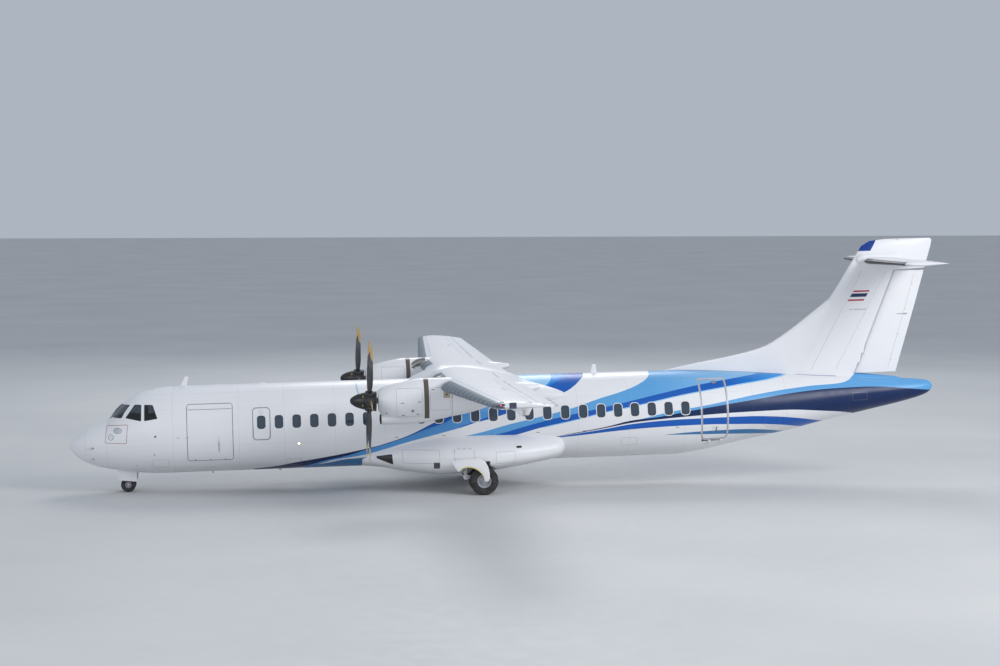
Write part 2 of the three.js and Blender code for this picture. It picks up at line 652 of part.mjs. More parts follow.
// Nacelles: station, top, bottom, half width, widest height, fullness
const NACELLE = [
  [9290, 1465, 850, 308, 1158, 2.0],
  [9420, 1535, 700, 385, 1130, 2.1],
  [9700, 1620, 560, 455, 1110, 2.2],
  [10050, 1700, 500, 475, 1110, 2.4],
  [10530, 1775, 500, 480, 1120, 2.4],
  [11300, 1775, 610, 480, 1130, 2.4],
  [12000, 1680, 730, 460, 1180, 2.3],
  [12700, 1620, 940, 400, 1250, 2.2],
  [13500, 1560, 1180, 260, 1360, 2.0],
  [14050, 1480, 1350, 60, 1410, 2.0],
];
const CHIN = [
  [9330, 745, 470, 270, 610, 2.4],
  [9420, 765, 445, 300, 610, 2.4],
  [9900, 800, 445, 330, 620, 2.4],
  [10500, 800, 475, 330, 640, 2.4],
  [11300, 850, 600, 300, 720, 2.4],
];
const INTAKE = [[9250, 705, 510, 235, 608, 2.6], [9700, 640, 530, 180, 585, 2.6]];
const COWL_END = 11420;
const ENGINE = { front: 9480, back: 11300, half: 330, bottom: 790, top: 1365 };

function nacelleLoft(table, side) {
  return loft(table.map((row) => (
    sectionRing(row, NACELLE_POINTS).map(([s, y, w]) => [s, y + THRUST.y * side, w])
  )));
}

// Along the thrust line from the blades' plane
const SPINNER_BASE = 205;   // aft of the blades' plane
const HUB = { front: -140, back: 197, radius: 150, hole: 150.9, sides: 18 };
const thrustPoint = (distance, side) => [
  THRUST.s + distance * Math.cos(THRUST.tilt), THRUST.y * side, THRUST.w + distance * Math.sin(THRUST.tilt),
];

for (const [side, name] of SIDES) {
  const wingGrown = union(wingBody(0, 4700, side, GAP), wingBody(4700, 6000, side, GAP));
  const outside = nacelleLoft(NACELLE, side).add(nacelleLoft(CHIN, side)).subtract(wingGrown)
    .subtract(controlCutter(WING_CONTROLS[0], side)).subtract(controlCutter(WING_CONTROLS[1], side));
  const slab = (s0, s1, top) => box(s0, s1, (THRUST.y - 800) * side, (THRUST.y + 800) * side, 0, top);
  const room = box(ENGINE.front - 60, COWL_END + 5, (THRUST.y - 360) * side, (THRUST.y + 360) * side,
    ENGINE.bottom, ENGINE.top + 25);
  const shaftHole = bar(thrustPoint(100, side), thrustPoint(700, side), 110);
  const cowl = outside.intersect(slab(9000, COWL_END - GAP, 1950)).subtract(room).subtract(shaftHole)
    .subtract(nacelleLoft(INTAKE, side));
  addPiece(`nacelle_cowl_${name}`, cowl, 'blue');
  addPiece(`nacelle_aft_${name}`, outside.intersect(slab(COWL_END, 14300, 1600)), 'blue');
  const engine = box(ENGINE.front, ENGINE.back, (THRUST.y - ENGINE.half) * side,
    (THRUST.y + ENGINE.half) * side, ENGINE.bottom + GAP, ENGINE.top)
    .add(bar(thrustPoint(HUB.back + GAP, side), thrustPoint(600, side), 90));
  addPiece(`engine_${name}`, engine, 'metal');
}

// Propellers: distance from the thrust line, chord, thickness, pitch from the disc's plane
const BLADE = [
  [60, 130, 120, 40],
  [430, 150, 105, 36],
  [900, 320, 46, 22],
  [1600, 325, 24, 10],
  [1965, 190, 9, 6],
];
const BLADE_RING = 8;

function bladeSolid() {
  return loft(BLADE.map(([radius, chord, thickness, pitch]) => {
    const ring = [];
    for (let i = 0; i < BLADE_RING; i += 1) {
      const angle = (i / BLADE_RING) * 2 * Math.PI;
      const across = (chord / 2) * Math.cos(angle);
      const through = (thickness / 2) * Math.sin(angle);
      const turn = pitch * DEG;
      ring.push([
        across * Math.sin(turn) + through * Math.cos(turn),
        across * Math.cos(turn) - through * Math.sin(turn),
        radius,
      ]);
    }
    return ring;
  }));
}

const SPINNER = [[0, 0], [95, 45], [175, 170], [240, 375], [296, 775]];
const SPINNER_WALL = 12;

function spinnerSolid() {
  const outer = SPINNER.map(([r, x]) => new THREE.Vector2(r, x));
  const inner = SPINNER.slice(1).reverse()
    .map(([r, x]) => new THREE.Vector2(r - SPINNER_WALL, Math.min(x, 755)));
  const profile = [...outer, new THREE.Vector2(HUB.hole, 775), new THREE.Vector2(HUB.hole, 755),
    ...inner, new THREE.Vector2(0, SPINNER_WALL * 2)];
  const geometry = new THREE.LatheGeometry(profile, HUB.sides);
  geometry.rotateZ(-Math.PI / 2);
  geometry.translate(SPINNER_BASE - 775, 0, 0);
  return solid(geometry);
}

const FIRST_BLADE = 30;
const bladeAngles = Array.from({ length: THRUST.blades }, (_, i) => FIRST_BLADE + i * 360 / THRUST.blades);
const hubSolid = bar([HUB.front, 0, 0], [HUB.back, 0, 0], HUB.radius, HUB.sides);
const propellerSolid = union(hubSolid, ...bladeAngles.map((angle) => bladeSolid().rotate([angle, 0, 0])));
const bladeHole = bar([0, 0, 160], [0, 0, 330], 85, 8);
const bladeHoles = union(...bladeAngles.map((angle) => bladeHole.rotate([angle, 0, 0])));
const spinnerPiece = spinnerSolid().subtract(bladeHoles);
for (const [side, name] of SIDES) {
  const shaft = [THRUST.s, THRUST.y * side, THRUST.w];
  const place = (piece) => piece.rotate([0, -THRUST.tilt / DEG, 0]).translate(shaft);
  addPiece(`propeller_${name}`, place(propellerSolid), 'black');
  addPiece(`spinner_${name}`, place(spinnerPiece), 'black');
}

// Tail pieces
const finClear = fuselageBody(18000, 27182, GAP);
const rudderRings = [RUDDER.bottom, RUDDER.top].map((w) => (
  rudderOutline(w).outline.map(([s, y]) => [s, y, w])
));
const rudderFront = (w) => rudderHinge(w) - rudderOutline(w).radius - CONTROL_GAP;
const RUDDER_HEAD = 34;             // room above the rudder, whose top rises at one side as it turns
const rudderPocket = sidePrism([
  [rudderFront(RUDDER.bottom), RUDDER.bottom], [rudderFront(RUDDER.bottom), RUDDER.bottom - 400],
  [28000, RUDDER.bottom - 400], [28000, RUDDER.top + RUDDER_HEAD + 90],
  [rudderFront(RUDDER.top), RUDDER.top + RUDDER_HEAD],
], -600, 600);
const onRudderAxis = (w0, w1, radius) => bar([rudderHinge(w0), 0, w0], [rudderHinge(w1), 0, w1], radius);
const RUDDER_PIN = { radius: 16, hole: 17, depth: 60 };
const stabilizerClear = stabilizerBody(GAP);
addPiece('fin', finRoot.subtract(finClear).subtract(rudderPocket).subtract(stabilizerClear)
  .add(onRudderAxis(RUDDER.top + 90, RUDDER.top - RUDDER_PIN.depth + 10, RUDDER_PIN.radius)), 'white');
addPiece('rudder', loft(rudderRings)
  .subtract(onRudderAxis(RUDDER.top + 90, RUDDER.top - RUDDER_PIN.depth, RUDDER_PIN.hole)), 'white');

const elevatorCut = [ELEVATOR.inner - END_GAP, ELEVATOR.outer + END_GAP].map((y) => {
  const { hinge: [s], radius } = elevatorOutline(Math.min(y, ELEVATOR.outer));
  return [s - radius - CONTROL_GAP, y];
});
let stabilizer = stabilizerBody();
for (const [side, name] of SIDES) {
  const [inner, outer] = elevatorCut;
  stabilizer = stabilizer.subtract(planPrism(
    [inner, [27500, inner[1]], [27500, outer[1]], outer].map(([s, y]) => [s, y * side]), 4400, 5000));
  const rings = [ELEVATOR.inner, ELEVATOR.outer].map((y) => (
    elevatorOutline(y).outline.map(([s, w]) => [s, y * side, w])
  ));
  addPiece(`elevator_${name}`, loft(rings), 'white');
  const { hinge: [s, w] } = elevatorOutline(ELEVATOR.inner);
  const [from, to] = [ELEVATOR.inner - 100, ELEVATOR.inner - GAP].map((y) => [s, y * side, w]);
  stabilizer = stabilizer.add(bar(from, to, 20));
}
addPiece('stabilizer', stabilizer, 'white');

// Gear fairing under the fuselage: station, top, bottom, half width, widest height, fullness
const GEAR_FAIRING = [
  [8900, -640, -1190, 1050, -880, 2.4],
  [9500, -460, -1240, 1440, -860, 2.6],
  [10300, -260, -1380, 1820, -860, 2.8],
  [11450, -120, -1470, 2220, -880, 3.0],
  [12600, -110, -1420, 2320, -860, 3.0],
  [13600, -120, -1310, 2150, -820, 2.8],
  [14600, -100, -1170, 1780, -780, 2.6],
  [14980, -130, -1100, 1600, -700, 2.4],
  [15160, -400, -1000, 1230, -640, 2.2],
];
const [mainS, mainW] = fromGround(MAIN_WHEEL.station, MAIN_WHEEL.radius);
const [noseS, noseW] = fromGround(NOSE_WHEEL.station, NOSE_WHEEL.radius);
const WHEEL_CLEAR = 60;
const LEG_TOP = -960;        // roof of the main gear's well

let gearFairing = loft(GEAR_FAIRING.map((row) => sectionRing(row, FAIRING_POINTS))).subtract(fairingClear);
for (const [side] of SIDES) {
  const archRadius = MAIN_WHEEL.radius + WHEEL_CLEAR;
  const arch = bar([mainS, 1640 * side, mainW], [mainS, 2600 * side, mainW], archRadius, 32);
  const well = box(mainS - 630, mainS + 200, 1500 * side, 2600 * side, -1600, LEG_TOP);
  gearFairing = gearFairing.subtract(arch).subtract(well).add(jackPad(BODY_JACK, side));
}
addPiece('gear_fairing', gearFairing, 'white');

// Main gear: a leg, a trailing arm to the axle and a shock strut between them
const LEG = { s: mainS - 530, y: 1800, w: mainW + 110, top: LEG_TOP };
const SHOCK_TOP = mainS - 230;
const MAIN_DOOR = [
  [11510, -900], [12240, -870], [12410, -850], [12660, -1180], [12680, -1460], [12530, -1490],
  [12410, -1390], [12170, -1120], [11840, -1170], [11730, -1210],
];
const DOOR_Y = 2420;
const DOOR_STAY = -1085;     // height of the bar that carries the door
for (const [side, name] of SIDES) {
  const at = (s, y, w) => [s, y * side, w];
  const leg = union(
    bar(at(LEG.s, LEG.y, LEG.top - GAP), at(LEG.s, LEG.y, LEG.top - 120), 90),
    bar(at(LEG.s, LEG.y, LEG.top - 90), at(LEG.s, MAIN_WHEEL.y, LEG.w), 75),
    bar(at(LEG.s, MAIN_WHEEL.y - 90, LEG.w), at(LEG.s, MAIN_WHEEL.y + 90, LEG.w), 85),
    bar(at(LEG.s, MAIN_WHEEL.y, LEG.w), at(mainS, MAIN_WHEEL.y, mainW), 62, 12, 55),
    bar(at(mainS, MAIN_WHEEL.y, mainW), at(SHOCK_TOP, MAIN_WHEEL.y, LEG.top - 60), 45),
    bar(at(SHOCK_TOP, MAIN_WHEEL.y, LEG.top - 100), at(SHOCK_TOP, MAIN_WHEEL.y, LEG.top - GAP), 55),
    bar(at(mainS, MAIN_WHEEL.y - 340, mainW), at(mainS, MAIN_WHEEL.y + 340, mainW), 40, 20),
    bar(at(LEG.s, LEG.y + 30, DOOR_STAY), at(LEG.s, DOOR_Y - GAP, DOOR_STAY), 22, 8),
  );
  addPiece(`main_gear_leg_${name}`, leg, 'strut');
  addPiece(`main_gear_door_${name}`,
    sidePrism(MAIN_DOOR, ...[DOOR_Y * side, (DOOR_Y + 25) * side].sort((a, b) => a - b)), 'white');
}

// Wheels, as turned profiles: radius, then place along the axle
function turned(profile, segments, [s, y, w]) {
  const geometry = new THREE.LatheGeometry(profile.map(([r, x]) => new THREE.Vector2(r, x)), segments);
  geometry.translate(s, y, w);
  return solid(geometry);
}

function tyreProfile({ radius, width, rim }) {
  const half = width / 2;
  const wall = radius - rim;
  const quarter = [
    [rim, half * 0.72], [rim + wall * 0.4, half], [radius - wall * 0.15, half * 0.86], [radius, half * 0.42],
  ];
  const other = quarter.map(([r, x]) => [r, -x]).reverse();
  return [...quarter, ...other, quarter[0]];
}

function rimProfile({ rim, width }, bore) {
  const half = width / 2;
  const edge = rim - GAP;
  return [
    [bore, -half * 0.5], [edge * 0.84, -half * 0.3], [edge * 0.9, -half * 0.72], [edge, -half * 0.72],
    [edge, half * 0.72], [edge * 0.9, half * 0.72], [edge * 0.84, half * 0.3], [edge * 0.45, half * 0.35],
    [edge * 0.4, half * 0.75], [bore, half * 0.75], [bore, -half * 0.5],
  ];
}

function wheelPair(wheel, s, y, w, bore, segments, outward) {
  const half = wheel.spacing / 2;
  const inward = (profile) => profile.map(([r, x]) => [r, -x]).reverse();
  const far = turned(rimProfile(wheel, bore), segments, [s, y + half, w]);
  const near = turned(inward(rimProfile(wheel, bore)), segments, [s, y - half, w]);
  return { far, near, tyres: [half, -half].map((offset) => (
    turned(tyreProfile(wheel), segments, [s, y + offset * outward, w])
  )) };
}

for (const [side, name] of SIDES) {
  const pair = wheelPair(MAIN_WHEEL, mainS, MAIN_WHEEL.y * side, mainW, 41, 18, side);
  addPiece(`main_rim_${name}_outer`, side > 0 ? pair.far : pair.near, 'strut');
  addPiece(`main_rim_${name}_inner`, side > 0 ? pair.near : pair.far, 'strut');
  addPiece(`main_tyre_${name}_outer`, pair.tyres[0], 'tyre');
  addPiece(`main_tyre_${name}_inner`, pair.tyres[1], 'tyre');
}

// Nose gear: a leg in its well, a steered fork with the axle, twin wheels, two doors
const NOSE_LEG = { s: noseS - 30, w: -1180 };
addPiece('nose_leg', union(
  bar([NOSE_LEG.s, 0, NOSE_WELL.roof - GAP], [NOSE_LEG.s, 0, NOSE_LEG.w], 62),
  bar([2220, 0, NOSE_WELL.roof - 40], [NOSE_LEG.s, 0, NOSE_LEG.w + 130], 30),
  bar([2220, -90, NOSE_WELL.roof - 45], [2220, 90, NOSE_WELL.roof - 45], 45 - GAP, 8),
), 'strut');
const AXLE_BORE = 29;
addPiece('nose_fork', union(
  bar([NOSE_LEG.s, 0, NOSE_LEG.w - GAP], [NOSE_LEG.s, 0, noseW + 20], 42),
  bar([NOSE_LEG.s, 0, noseW + 20], [noseS, 0, noseW], 45),
  bar([noseS, -55, noseW], [noseS, 55, noseW], 46),
).subtract(bar([noseS, -60, noseW], [noseS, 60, noseW], AXLE_BORE, 16)), 'strut');
const nosePair = wheelPair(NOSE_WHEEL, noseS, 0, noseW, AXLE_BORE - 3, 16, STARBOARD);
const noseReach = NOSE_WHEEL.spacing / 2 + 60;
addPiece('nose_wheels', union(
  bar([noseS, -noseReach, noseW], [noseS, noseReach, noseW], AXLE_BORE - 1, 16),
  nosePair.far, nosePair.near,
), 'strut');
addPiece('nose_tyre_right', nosePair.tyres[0], 'tyre');
addPiece('nose_tyre_left', nosePair.tyres[1], 'tyre');
const NOSE_DOOR = [[1440, -1000], [2050, -1000], [2010, -1440], [1450, -1380]];
for (const [side, name] of SIDES) {
  addPiece(`nose_gear_door_${name}`,
    sidePrism(NOSE_DOOR, ...[18, 0].map((inboard) => (NOSE_WELL.half - GAP - inboard) * side)
      .sort((a, b) => a - b)), 'white');
}

export default airframe;
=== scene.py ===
"""Looks of the twin-turboprop airliner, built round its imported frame. Metres.

Shapes are laid out in airframe coordinates (s aft of the nose tip, y to starboard, w above the
fuselage centreline) and then set nose-down on the wheels, as the frame is.
"""
import math

import bmesh
import bpy
from mathutils import Matrix, Vector


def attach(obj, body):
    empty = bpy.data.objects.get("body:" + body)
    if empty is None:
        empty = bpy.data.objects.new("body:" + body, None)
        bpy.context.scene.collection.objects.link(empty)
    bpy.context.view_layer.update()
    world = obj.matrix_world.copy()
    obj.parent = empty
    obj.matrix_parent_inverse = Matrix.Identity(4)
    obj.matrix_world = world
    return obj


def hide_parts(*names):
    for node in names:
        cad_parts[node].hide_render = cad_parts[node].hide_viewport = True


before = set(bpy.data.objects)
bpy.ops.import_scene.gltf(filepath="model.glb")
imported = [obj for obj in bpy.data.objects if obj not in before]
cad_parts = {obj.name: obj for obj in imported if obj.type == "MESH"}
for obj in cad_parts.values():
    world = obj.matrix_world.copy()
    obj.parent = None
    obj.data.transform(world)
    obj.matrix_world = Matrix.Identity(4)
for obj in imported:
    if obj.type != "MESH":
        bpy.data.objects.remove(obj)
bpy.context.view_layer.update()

NOSE_DOWN = math.radians(1.15)
HALF_LENGTH = 13.583
CENTRELINE_HEIGHT = 2.006
BOX_CENTRING = 0.004
ORIGIN_X = -HALF_LENGTH * math.cos(NOSE_DOWN) - BOX_CENTRING
ORIGIN_Z = CENTRELINE_HEIGHT - HALF_LENGTH * math.sin(NOSE_DOWN)
AIRFRAME = Matrix.Translation((ORIGIN_X, 0, ORIGIN_Z)) @ Matrix.Rotation(-NOSE_DOWN, 4, "Y")
PORT, STARBOARD = -1, 1
SIDES = ((PORT, "left"), (STARBOARD, "right"))
# Edges that turn by more than this many degrees stay sharp, unless a piece says otherwise
SHARP = 35
# Points closer than this are merged, and the least radius or chamfer that keeps a ring open
MERGED = 2e-5
LEAST = 1e-4
# A side of an outline no longer than this has no direction
NO_LENGTH = 1e-9


# Camera, as the photograph was taken
CAMERA = {
    "place": (-7.554, -67.175, 8.977), "yaw": 6.168, "pitch": 3.565, "roll": -0.175,
    "lens": 78.0, "sensor": 36.0, "reach": 500,
}


def make_camera():
    yaw, pitch, roll = (math.radians(CAMERA[k]) for k in ("yaw", "pitch", "roll"))
    ahead = Vector((math.sin(yaw) * math.cos(pitch), math.cos(yaw) * math.cos(pitch), -math.sin(pitch)))
    level = Vector((math.cos(yaw), -math.sin(yaw), 0))
    up = level.cross(ahead)
    right = level * math.cos(roll) + up * math.sin(roll)
    top = right.cross(ahead)
    data = bpy.data.cameras.new("camera")
    data.lens = CAMERA["lens"]
    data.sensor_width = CAMERA["sensor"]
    data.clip_end = CAMERA["reach"]
    camera = bpy.data.objects.new("camera", data)
    camera.matrix_world = Matrix.Translation(CAMERA["place"]) @ Matrix((right, top,
                                                                        -ahead)).transposed().to_4x4()
    bpy.context.scene.collection.objects.link(camera)
    bpy.context.scene.camera = camera


make_camera()


# Curves through tables: each column of a table is followed smoothly, without overshoot
def slopes(xs, ys):
    """The slope of a curve at each point, level where it turns back."""
    steps = [(ys[i + 1] - ys[i]) / (xs[i + 1] - xs[i]) for i in range(len(xs) - 1)]
    inner = [0.0 if a * b <= 0 else 2 * a * b / (a + b) for a, b in zip(steps, steps[1:])]
    return [steps[0], *inner, steps[-1]]


class Rows:
    """A table of rows (station, values...) that can be read at any station."""

    def __init__(self, table, warp=lambda s: s):
        self.table = table
        self.warp = warp
        self.x = [warp(row[0]) for row in table]
        self.columns = list(zip(*table))[1:]
        self.slope = [slopes(self.x, column) for column in self.columns]

    def at(self, station):
        x = min(max(self.warp(station), self.x[0]), self.x[-1])
        k = max(i for i in range(len(self.x) - 1) if self.x[i] <= x)
        width = self.x[k + 1] - self.x[k]
        t = (x - self.x[k]) / width
        here, lean, there, bend = (2 * t**3 - 3 * t**2 + 1, (t**3 - 2 * t**2 + t) * width,
                                   3 * t**2 - 2 * t**3, (t**3 - t**2) * width)
        return [here * column[k] + lean * slope[k] + there * column[k + 1] + bend * slope[k + 1]
                for column, slope in zip(self.columns, self.slope)]


def straight(table, station):
    """A table read along straight lines between its rows."""
    k = max(i for i in range(len(table) - 1) if table[i][0] <= station or i == 0)
    before, after = table[k], table[k + 1]
    part = (station - before[0]) / (after[0] - before[0])
    return [a + (b - a) * part for a, b in zip(before, after)]


def spaced(start, end, step):
    """Even steps from start to end, each no longer than step."""
    count = max(1, math.ceil(abs(end - start) / step - 1e-6))
    return [start + (end - start) * i / count for i in range(count + 1)]


class Shape:
    """Points and faces gathered into one mesh, with a paint number for each face."""

    def __init__(self):
        self.points = []
        self.faces = []
        self.paints = []

    def add(self, points, faces, paint=0):
        base = len(self.points)
        self.points += [tuple(p) for p in points]
        self.faces += [[base + i for i in face] for face in faces]
        self.paints += [paint] * len(faces)
        return self

    def loft(self, rings, paint=0, caps=True, closed=False):
        """Rings of equally many points joined in turn; closed joins the last to the first."""
        count = len(rings[0])
        pairs = len(rings) if closed else len(rings) - 1
        faces = []
        for i in range(pairs):
            here, there = i * count, ((i + 1) % len(rings)) * count
            for j in range(count):
                after = (j + 1) % count
                faces.append((here + j, here + after, there + after, there + j))
        if caps and not closed:
            last = (len(rings) - 1) * count
            faces.append(tuple(range(count)))
            faces.append(tuple(last + j for j in reversed(range(count))))
        return self.add([p for ring in rings for p in ring], faces, paint)

    def bar(self, start, end, radius, sides, end_radius=None, paint=0):
        """A round bar, tapered where it has a second radius."""
        start, end = Vector(start), Vector(end)
        along = (end - start).normalized()
        across = along.orthogonal().normalized()
        other = along.cross(across)
        radii = (radius, radius if end_radius is None else end_radius)
        rings = [
            [at + (across * math.cos(a) + other * math.sin(a)) * r for a in angles(sides)]
            for at, r in zip((start, end), radii)
        ]
        return self.loft(rings, paint)

    def tube(self, route, radius, sides=10, paint=0):
        """A round tube along a smooth route of points."""
        route = [Vector(p) for p in route]
        rings = []
        across = None
        for i, point in enumerate(route):
            along = (route[min(i + 1, len(route) - 1)] - route[max(i - 1, 0)]).normalized()
            across = along.orthogonal() if across is None else across - along * across.dot(along)
            across.normalize()
            other = along.cross(across)
            rings.append([point + (across * math.cos(a) + other * math.sin(a)) * radius
                          for a in angles(sides)])
        return self.loft(rings, paint)

    def block(self, low, high, edge=0.0, paint=0):
        """A box with chamfered edges."""
        (x0, y0, z0), (x1, y1, z1) = low, high
        rings = []
        for z, inward in ((z0, edge), (z0 + edge, 0), (z1 - edge, 0), (z1, edge)):
            a0, a1, b0, b1 = x0 + inward, x1 - inward, y0 + inward, y1 - inward
            c = max(edge, LEAST)
            rings.append([
                (a0 + c, b0, z), (a1 - c, b0, z), (a1, b0 + c, z), (a1, b1 - c, z),
                (a1 - c, b1, z), (a0 + c, b1, z), (a0, b1 - c, z), (a0, b0 + c, z),
            ])
        return self.loft(rings if edge else rings[1:3], paint)

    def prism(self, outline, low, high, axis, paint=0):
        """An outline carried along an axis: "y" for (s, w), "s" for (y, w), "w" for (s, y)."""
        place = {
            "y": lambda a, b, c: (a, c, b), "s": lambda a, b, c: (c, a, b), "w": lambda a, b, c: (a, b, c),
        }[axis]
        return self.loft([[place(a, b, level) for a, b in outline] for level in (low, high)], paint)

    def lathe(self, profile, centre, axis, sides, paint=0, loop=True):
        """A profile of (radius, place along the axis) turned about the axis; a loop closes on itself."""
        axis = Vector(axis).normalized()
        across = axis.orthogonal().normalized()
        other = axis.cross(across)
        centre = Vector(centre)
        rings = [
            [centre + axis * x + (across * math.cos(a) + other * math.sin(a)) * max(r, LEAST) for r,
             x in profile]
            for a in angles(sides)
        ]
        if loop:
            return self.loft(rings, paint, closed=True)
        count = len(profile)
        faces = []
        for i in range(sides):
            after = (i + 1) % sides
            for j in range(count - 1):
                faces.append((i * count + j, after * count + j, after * count + j + 1, i * count + j + 1))
        return self.add([p for ring in rings for p in ring], faces, paint)

    def moved(self, matrix):
        self.points = [tuple(matrix @ Vector(p)) for p in self.points]
        return self

    def object(self, name, paints="", sharp=SHARP, place=AIRFRAME):
        """The finished object; paints are names from PAINT, in the order of the faces' paint numbers."""
        mesh = bpy.data.meshes.new(name)
        mesh.from_pydata(self.points, [], self.faces)
        for paint in paints.split():
            mesh.materials.append(PAINT[paint])
        mesh.polygons.foreach_set("material_index", self.paints)
        mesh.transform(place)
        tidy_mesh(mesh, sharp)
        made = bpy.data.objects.new(name, mesh)
        bpy.context.scene.collection.objects.link(made)
        return made


def angles(count, start=0.0):
    return [start + 2 * math.pi * i / count for i in range(count)]


def tidy_mesh(mesh, sharp):
    """Merges doubled points, turns the faces outwards and marks the sharp edges."""
    work = bmesh.new()
    work.from_mesh(mesh)
    bmesh.ops.remove_doubles(work, verts=work.verts, dist=MERGED)
    bmesh.ops.recalc_face_normals(work, faces=work.faces)
    limit = math.radians(sharp)
    for edge in work.edges:
        edge.smooth = len(edge.link_faces) == 2 and edge.calc_face_angle(0) < limit
    for face in work.faces:
        face.smooth = True
    work.to_mesh(mesh)
    work.free()


def combined(target, cutters, operation="DIFFERENCE", sharp=SHARP):
    """Cuts, joins or intersects an object with others, which are used up."""
    for cutter in cutters:
        change = target.modifiers.new("cut", "BOOLEAN")
        change.solver = "MANIFOLD"
        change.operation = operation
        change.object = cutter
    view = bpy.context.evaluated_depsgraph_get()
    mesh = bpy.data.meshes.new_from_object(target.evaluated_get(view))
    target.modifiers.clear()
    old, target.data = target.data, mesh
    bpy.data.meshes.remove(old)
    tidy_mesh(mesh, sharp)
    for cutter in cutters:
        bpy.data.objects.remove(cutter)
    return target


def settle(made, body, slot, *nodes):
    """Puts a piece on its body and hides the nodes that it stands for. The slot of its finish is not used."""
    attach(made, body)
    if nodes:
        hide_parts(*nodes)
    return made


def rounded(a0, a1, b0, b1, radius, steps=6):
    """A rounded rectangle as an outline, counterclockwise."""
    points = []
    corners = ((a1 - radius, b1 - radius, 0), (a0 + radius, b1 - radius, 90),
               (a0 + radius, b0 + radius, 180), (a1 - radius, b0 + radius, 270))
    for a, b, start in corners:
        for i in range(steps + 1):
            angle = math.radians(start + 90 * i / steps)
            points.append((a + radius * math.cos(angle), b + radius * math.sin(angle)))
    return points


def shrunk(outline, distance):
    """An outline moved inwards by a distance, along the mean of each corner's two sides."""
    turn = sum(a[0] * b[1] - b[0] * a[1] for a, b in zip(outline, outline[1:] + outline[:1]))
    facing = 1 if turn > 0 else -1
    made = []
    for i, here in enumerate(outline):
        before, after = outline[i - 1], outline[(i + 1) % len(outline)]
        normal = Vector((0.0, 0.0))
        for a, b in ((before, here), (here, after)):
            step = Vector((b[0] - a[0], b[1] - a[1]))
            if step.length > NO_LENGTH:
                normal += Vector((-step.y, step.x)).normalized()
        normal = normal.normalized() * facing * distance
        made.append((here[0] + normal.x, here[1] + normal.y))
    return made


def refined(outline, step, closed=True):
    """The same outline, or an open route, with more points along its straight sides."""
    outline = list(outline)
    ends = outline[1:] + outline[:1] if closed else outline[1:]
    made = []
    for here, after in zip(outline, ends):
        count = max(1, math.ceil(math.dist(here, after) / step))
        made += [
            (here[0] + (after[0] - here[0]) * i / count, here[1] + (after[1] - here[1]) * i / count)
            for i in range(count)
        ]
    return made if closed else made + outline[-1:]


# Materials
class Graph:
    """A material and its nodes, put together by short calls."""

    def __init__(self, name):
        self.material = bpy.data.materials.new(name)
        self.material.use_nodes = True
        self.nodes = self.material.node_tree.nodes
        self.links = self.material.node_tree.links
        self.shader = self.nodes["Principled BSDF"]

    def feed(self, socket, value):
        if isinstance(value, bpy.types.NodeSocket):
            self.links.new(value, socket)
        elif value is not None:
            socket.default_value = value

    def node(self, kind, inputs=None, **settings):
        made = self.nodes.new("ShaderNode" + kind)
        for key, value in settings.items():
            setattr(made, key, value)
        for key, value in (inputs or {}).items():
            self.feed(made.inputs[key], value)
        return made

    def math(self, operation, *values):
        made = self.node("Math", operation=operation)
        for socket, value in zip(made.inputs, values):
            self.feed(socket, value)
        return made.outputs[0]

    def blend(self, factor, low, high):
        made = self.node("Mix", data_type="RGBA", clamp_factor=True)
        for key, value in (("Factor", factor), ("A", low), ("B", high)):
            sockets = [s for s in made.inputs if s.name == key and s.enabled]
            self.feed(sockets[0], value)
        return [s for s in made.outputs if s.enabled][0]

    def place(self):
        return self.node("TexCoord").outputs["Object"]

    def airframe(self):
        """Station and height above the centreline, from where a point lies."""
        x, y, z = self.node("SeparateXYZ", {0: self.place()}).outputs
        x = self.math("SUBTRACT", x, ORIGIN_X)
        z = self.math("SUBTRACT", z, ORIGIN_Z)
        cos, sin = math.cos(NOSE_DOWN), math.sin(NOSE_DOWN)
        s = self.math("ADD", self.math("MULTIPLY", x, cos), self.math("MULTIPLY", z, sin))
        w = self.math("SUBTRACT", self.math("MULTIPLY", z, cos), self.math("MULTIPLY", x, sin))
        return s, y, w

    def noise(self, scale, detail, stretch=None):
        vector = self.place()
        if stretch:
            vector = self.node("Mapping", {"Vector": vector, "Scale": stretch}).outputs[0]
        return self.node("TexNoise", {"Vector": vector, "Scale": scale, "Detail": detail}).outputs["Fac"]

    def steps(self, factor, *stops):
        """A ramp from value to colour or grey level."""
        made = self.node("ValToRGB", {"Fac": factor})
        ramp = made.color_ramp
        while len(ramp.elements) < len(stops):
            ramp.elements.new(0.5)
        for element, (at, level) in zip(ramp.elements, stops):
            element.position = at
            element.color = level if isinstance(level, tuple) else (level, level, level, 1)
        return made.outputs["Color"]

    def near(self, value, centre, half):
        """1 within a distance of a value, 0 elsewhere."""
        return self.math("COMPARE", value, centre, half)

    def bump(self, height, strength, distance):
        return self.node("Bump", {"Height": height, "Strength": strength, "Distance": distance}).outputs[0]

    def finish(self, colour, roughness=None, normal=None, **uniform):
        self.feed(self.shader.inputs["Base Color"], colour)
        self.feed(self.shader.inputs["Roughness"], roughness)
        if normal is not None:
            self.links.new(normal, self.shader.inputs["Normal"])
        for key, value in uniform.items():
            self.shader.inputs[key.replace("_", " ")].default_value = value
        return self.material


def rgb(red, green, blue):
    return (red, green, blue, 1.0)


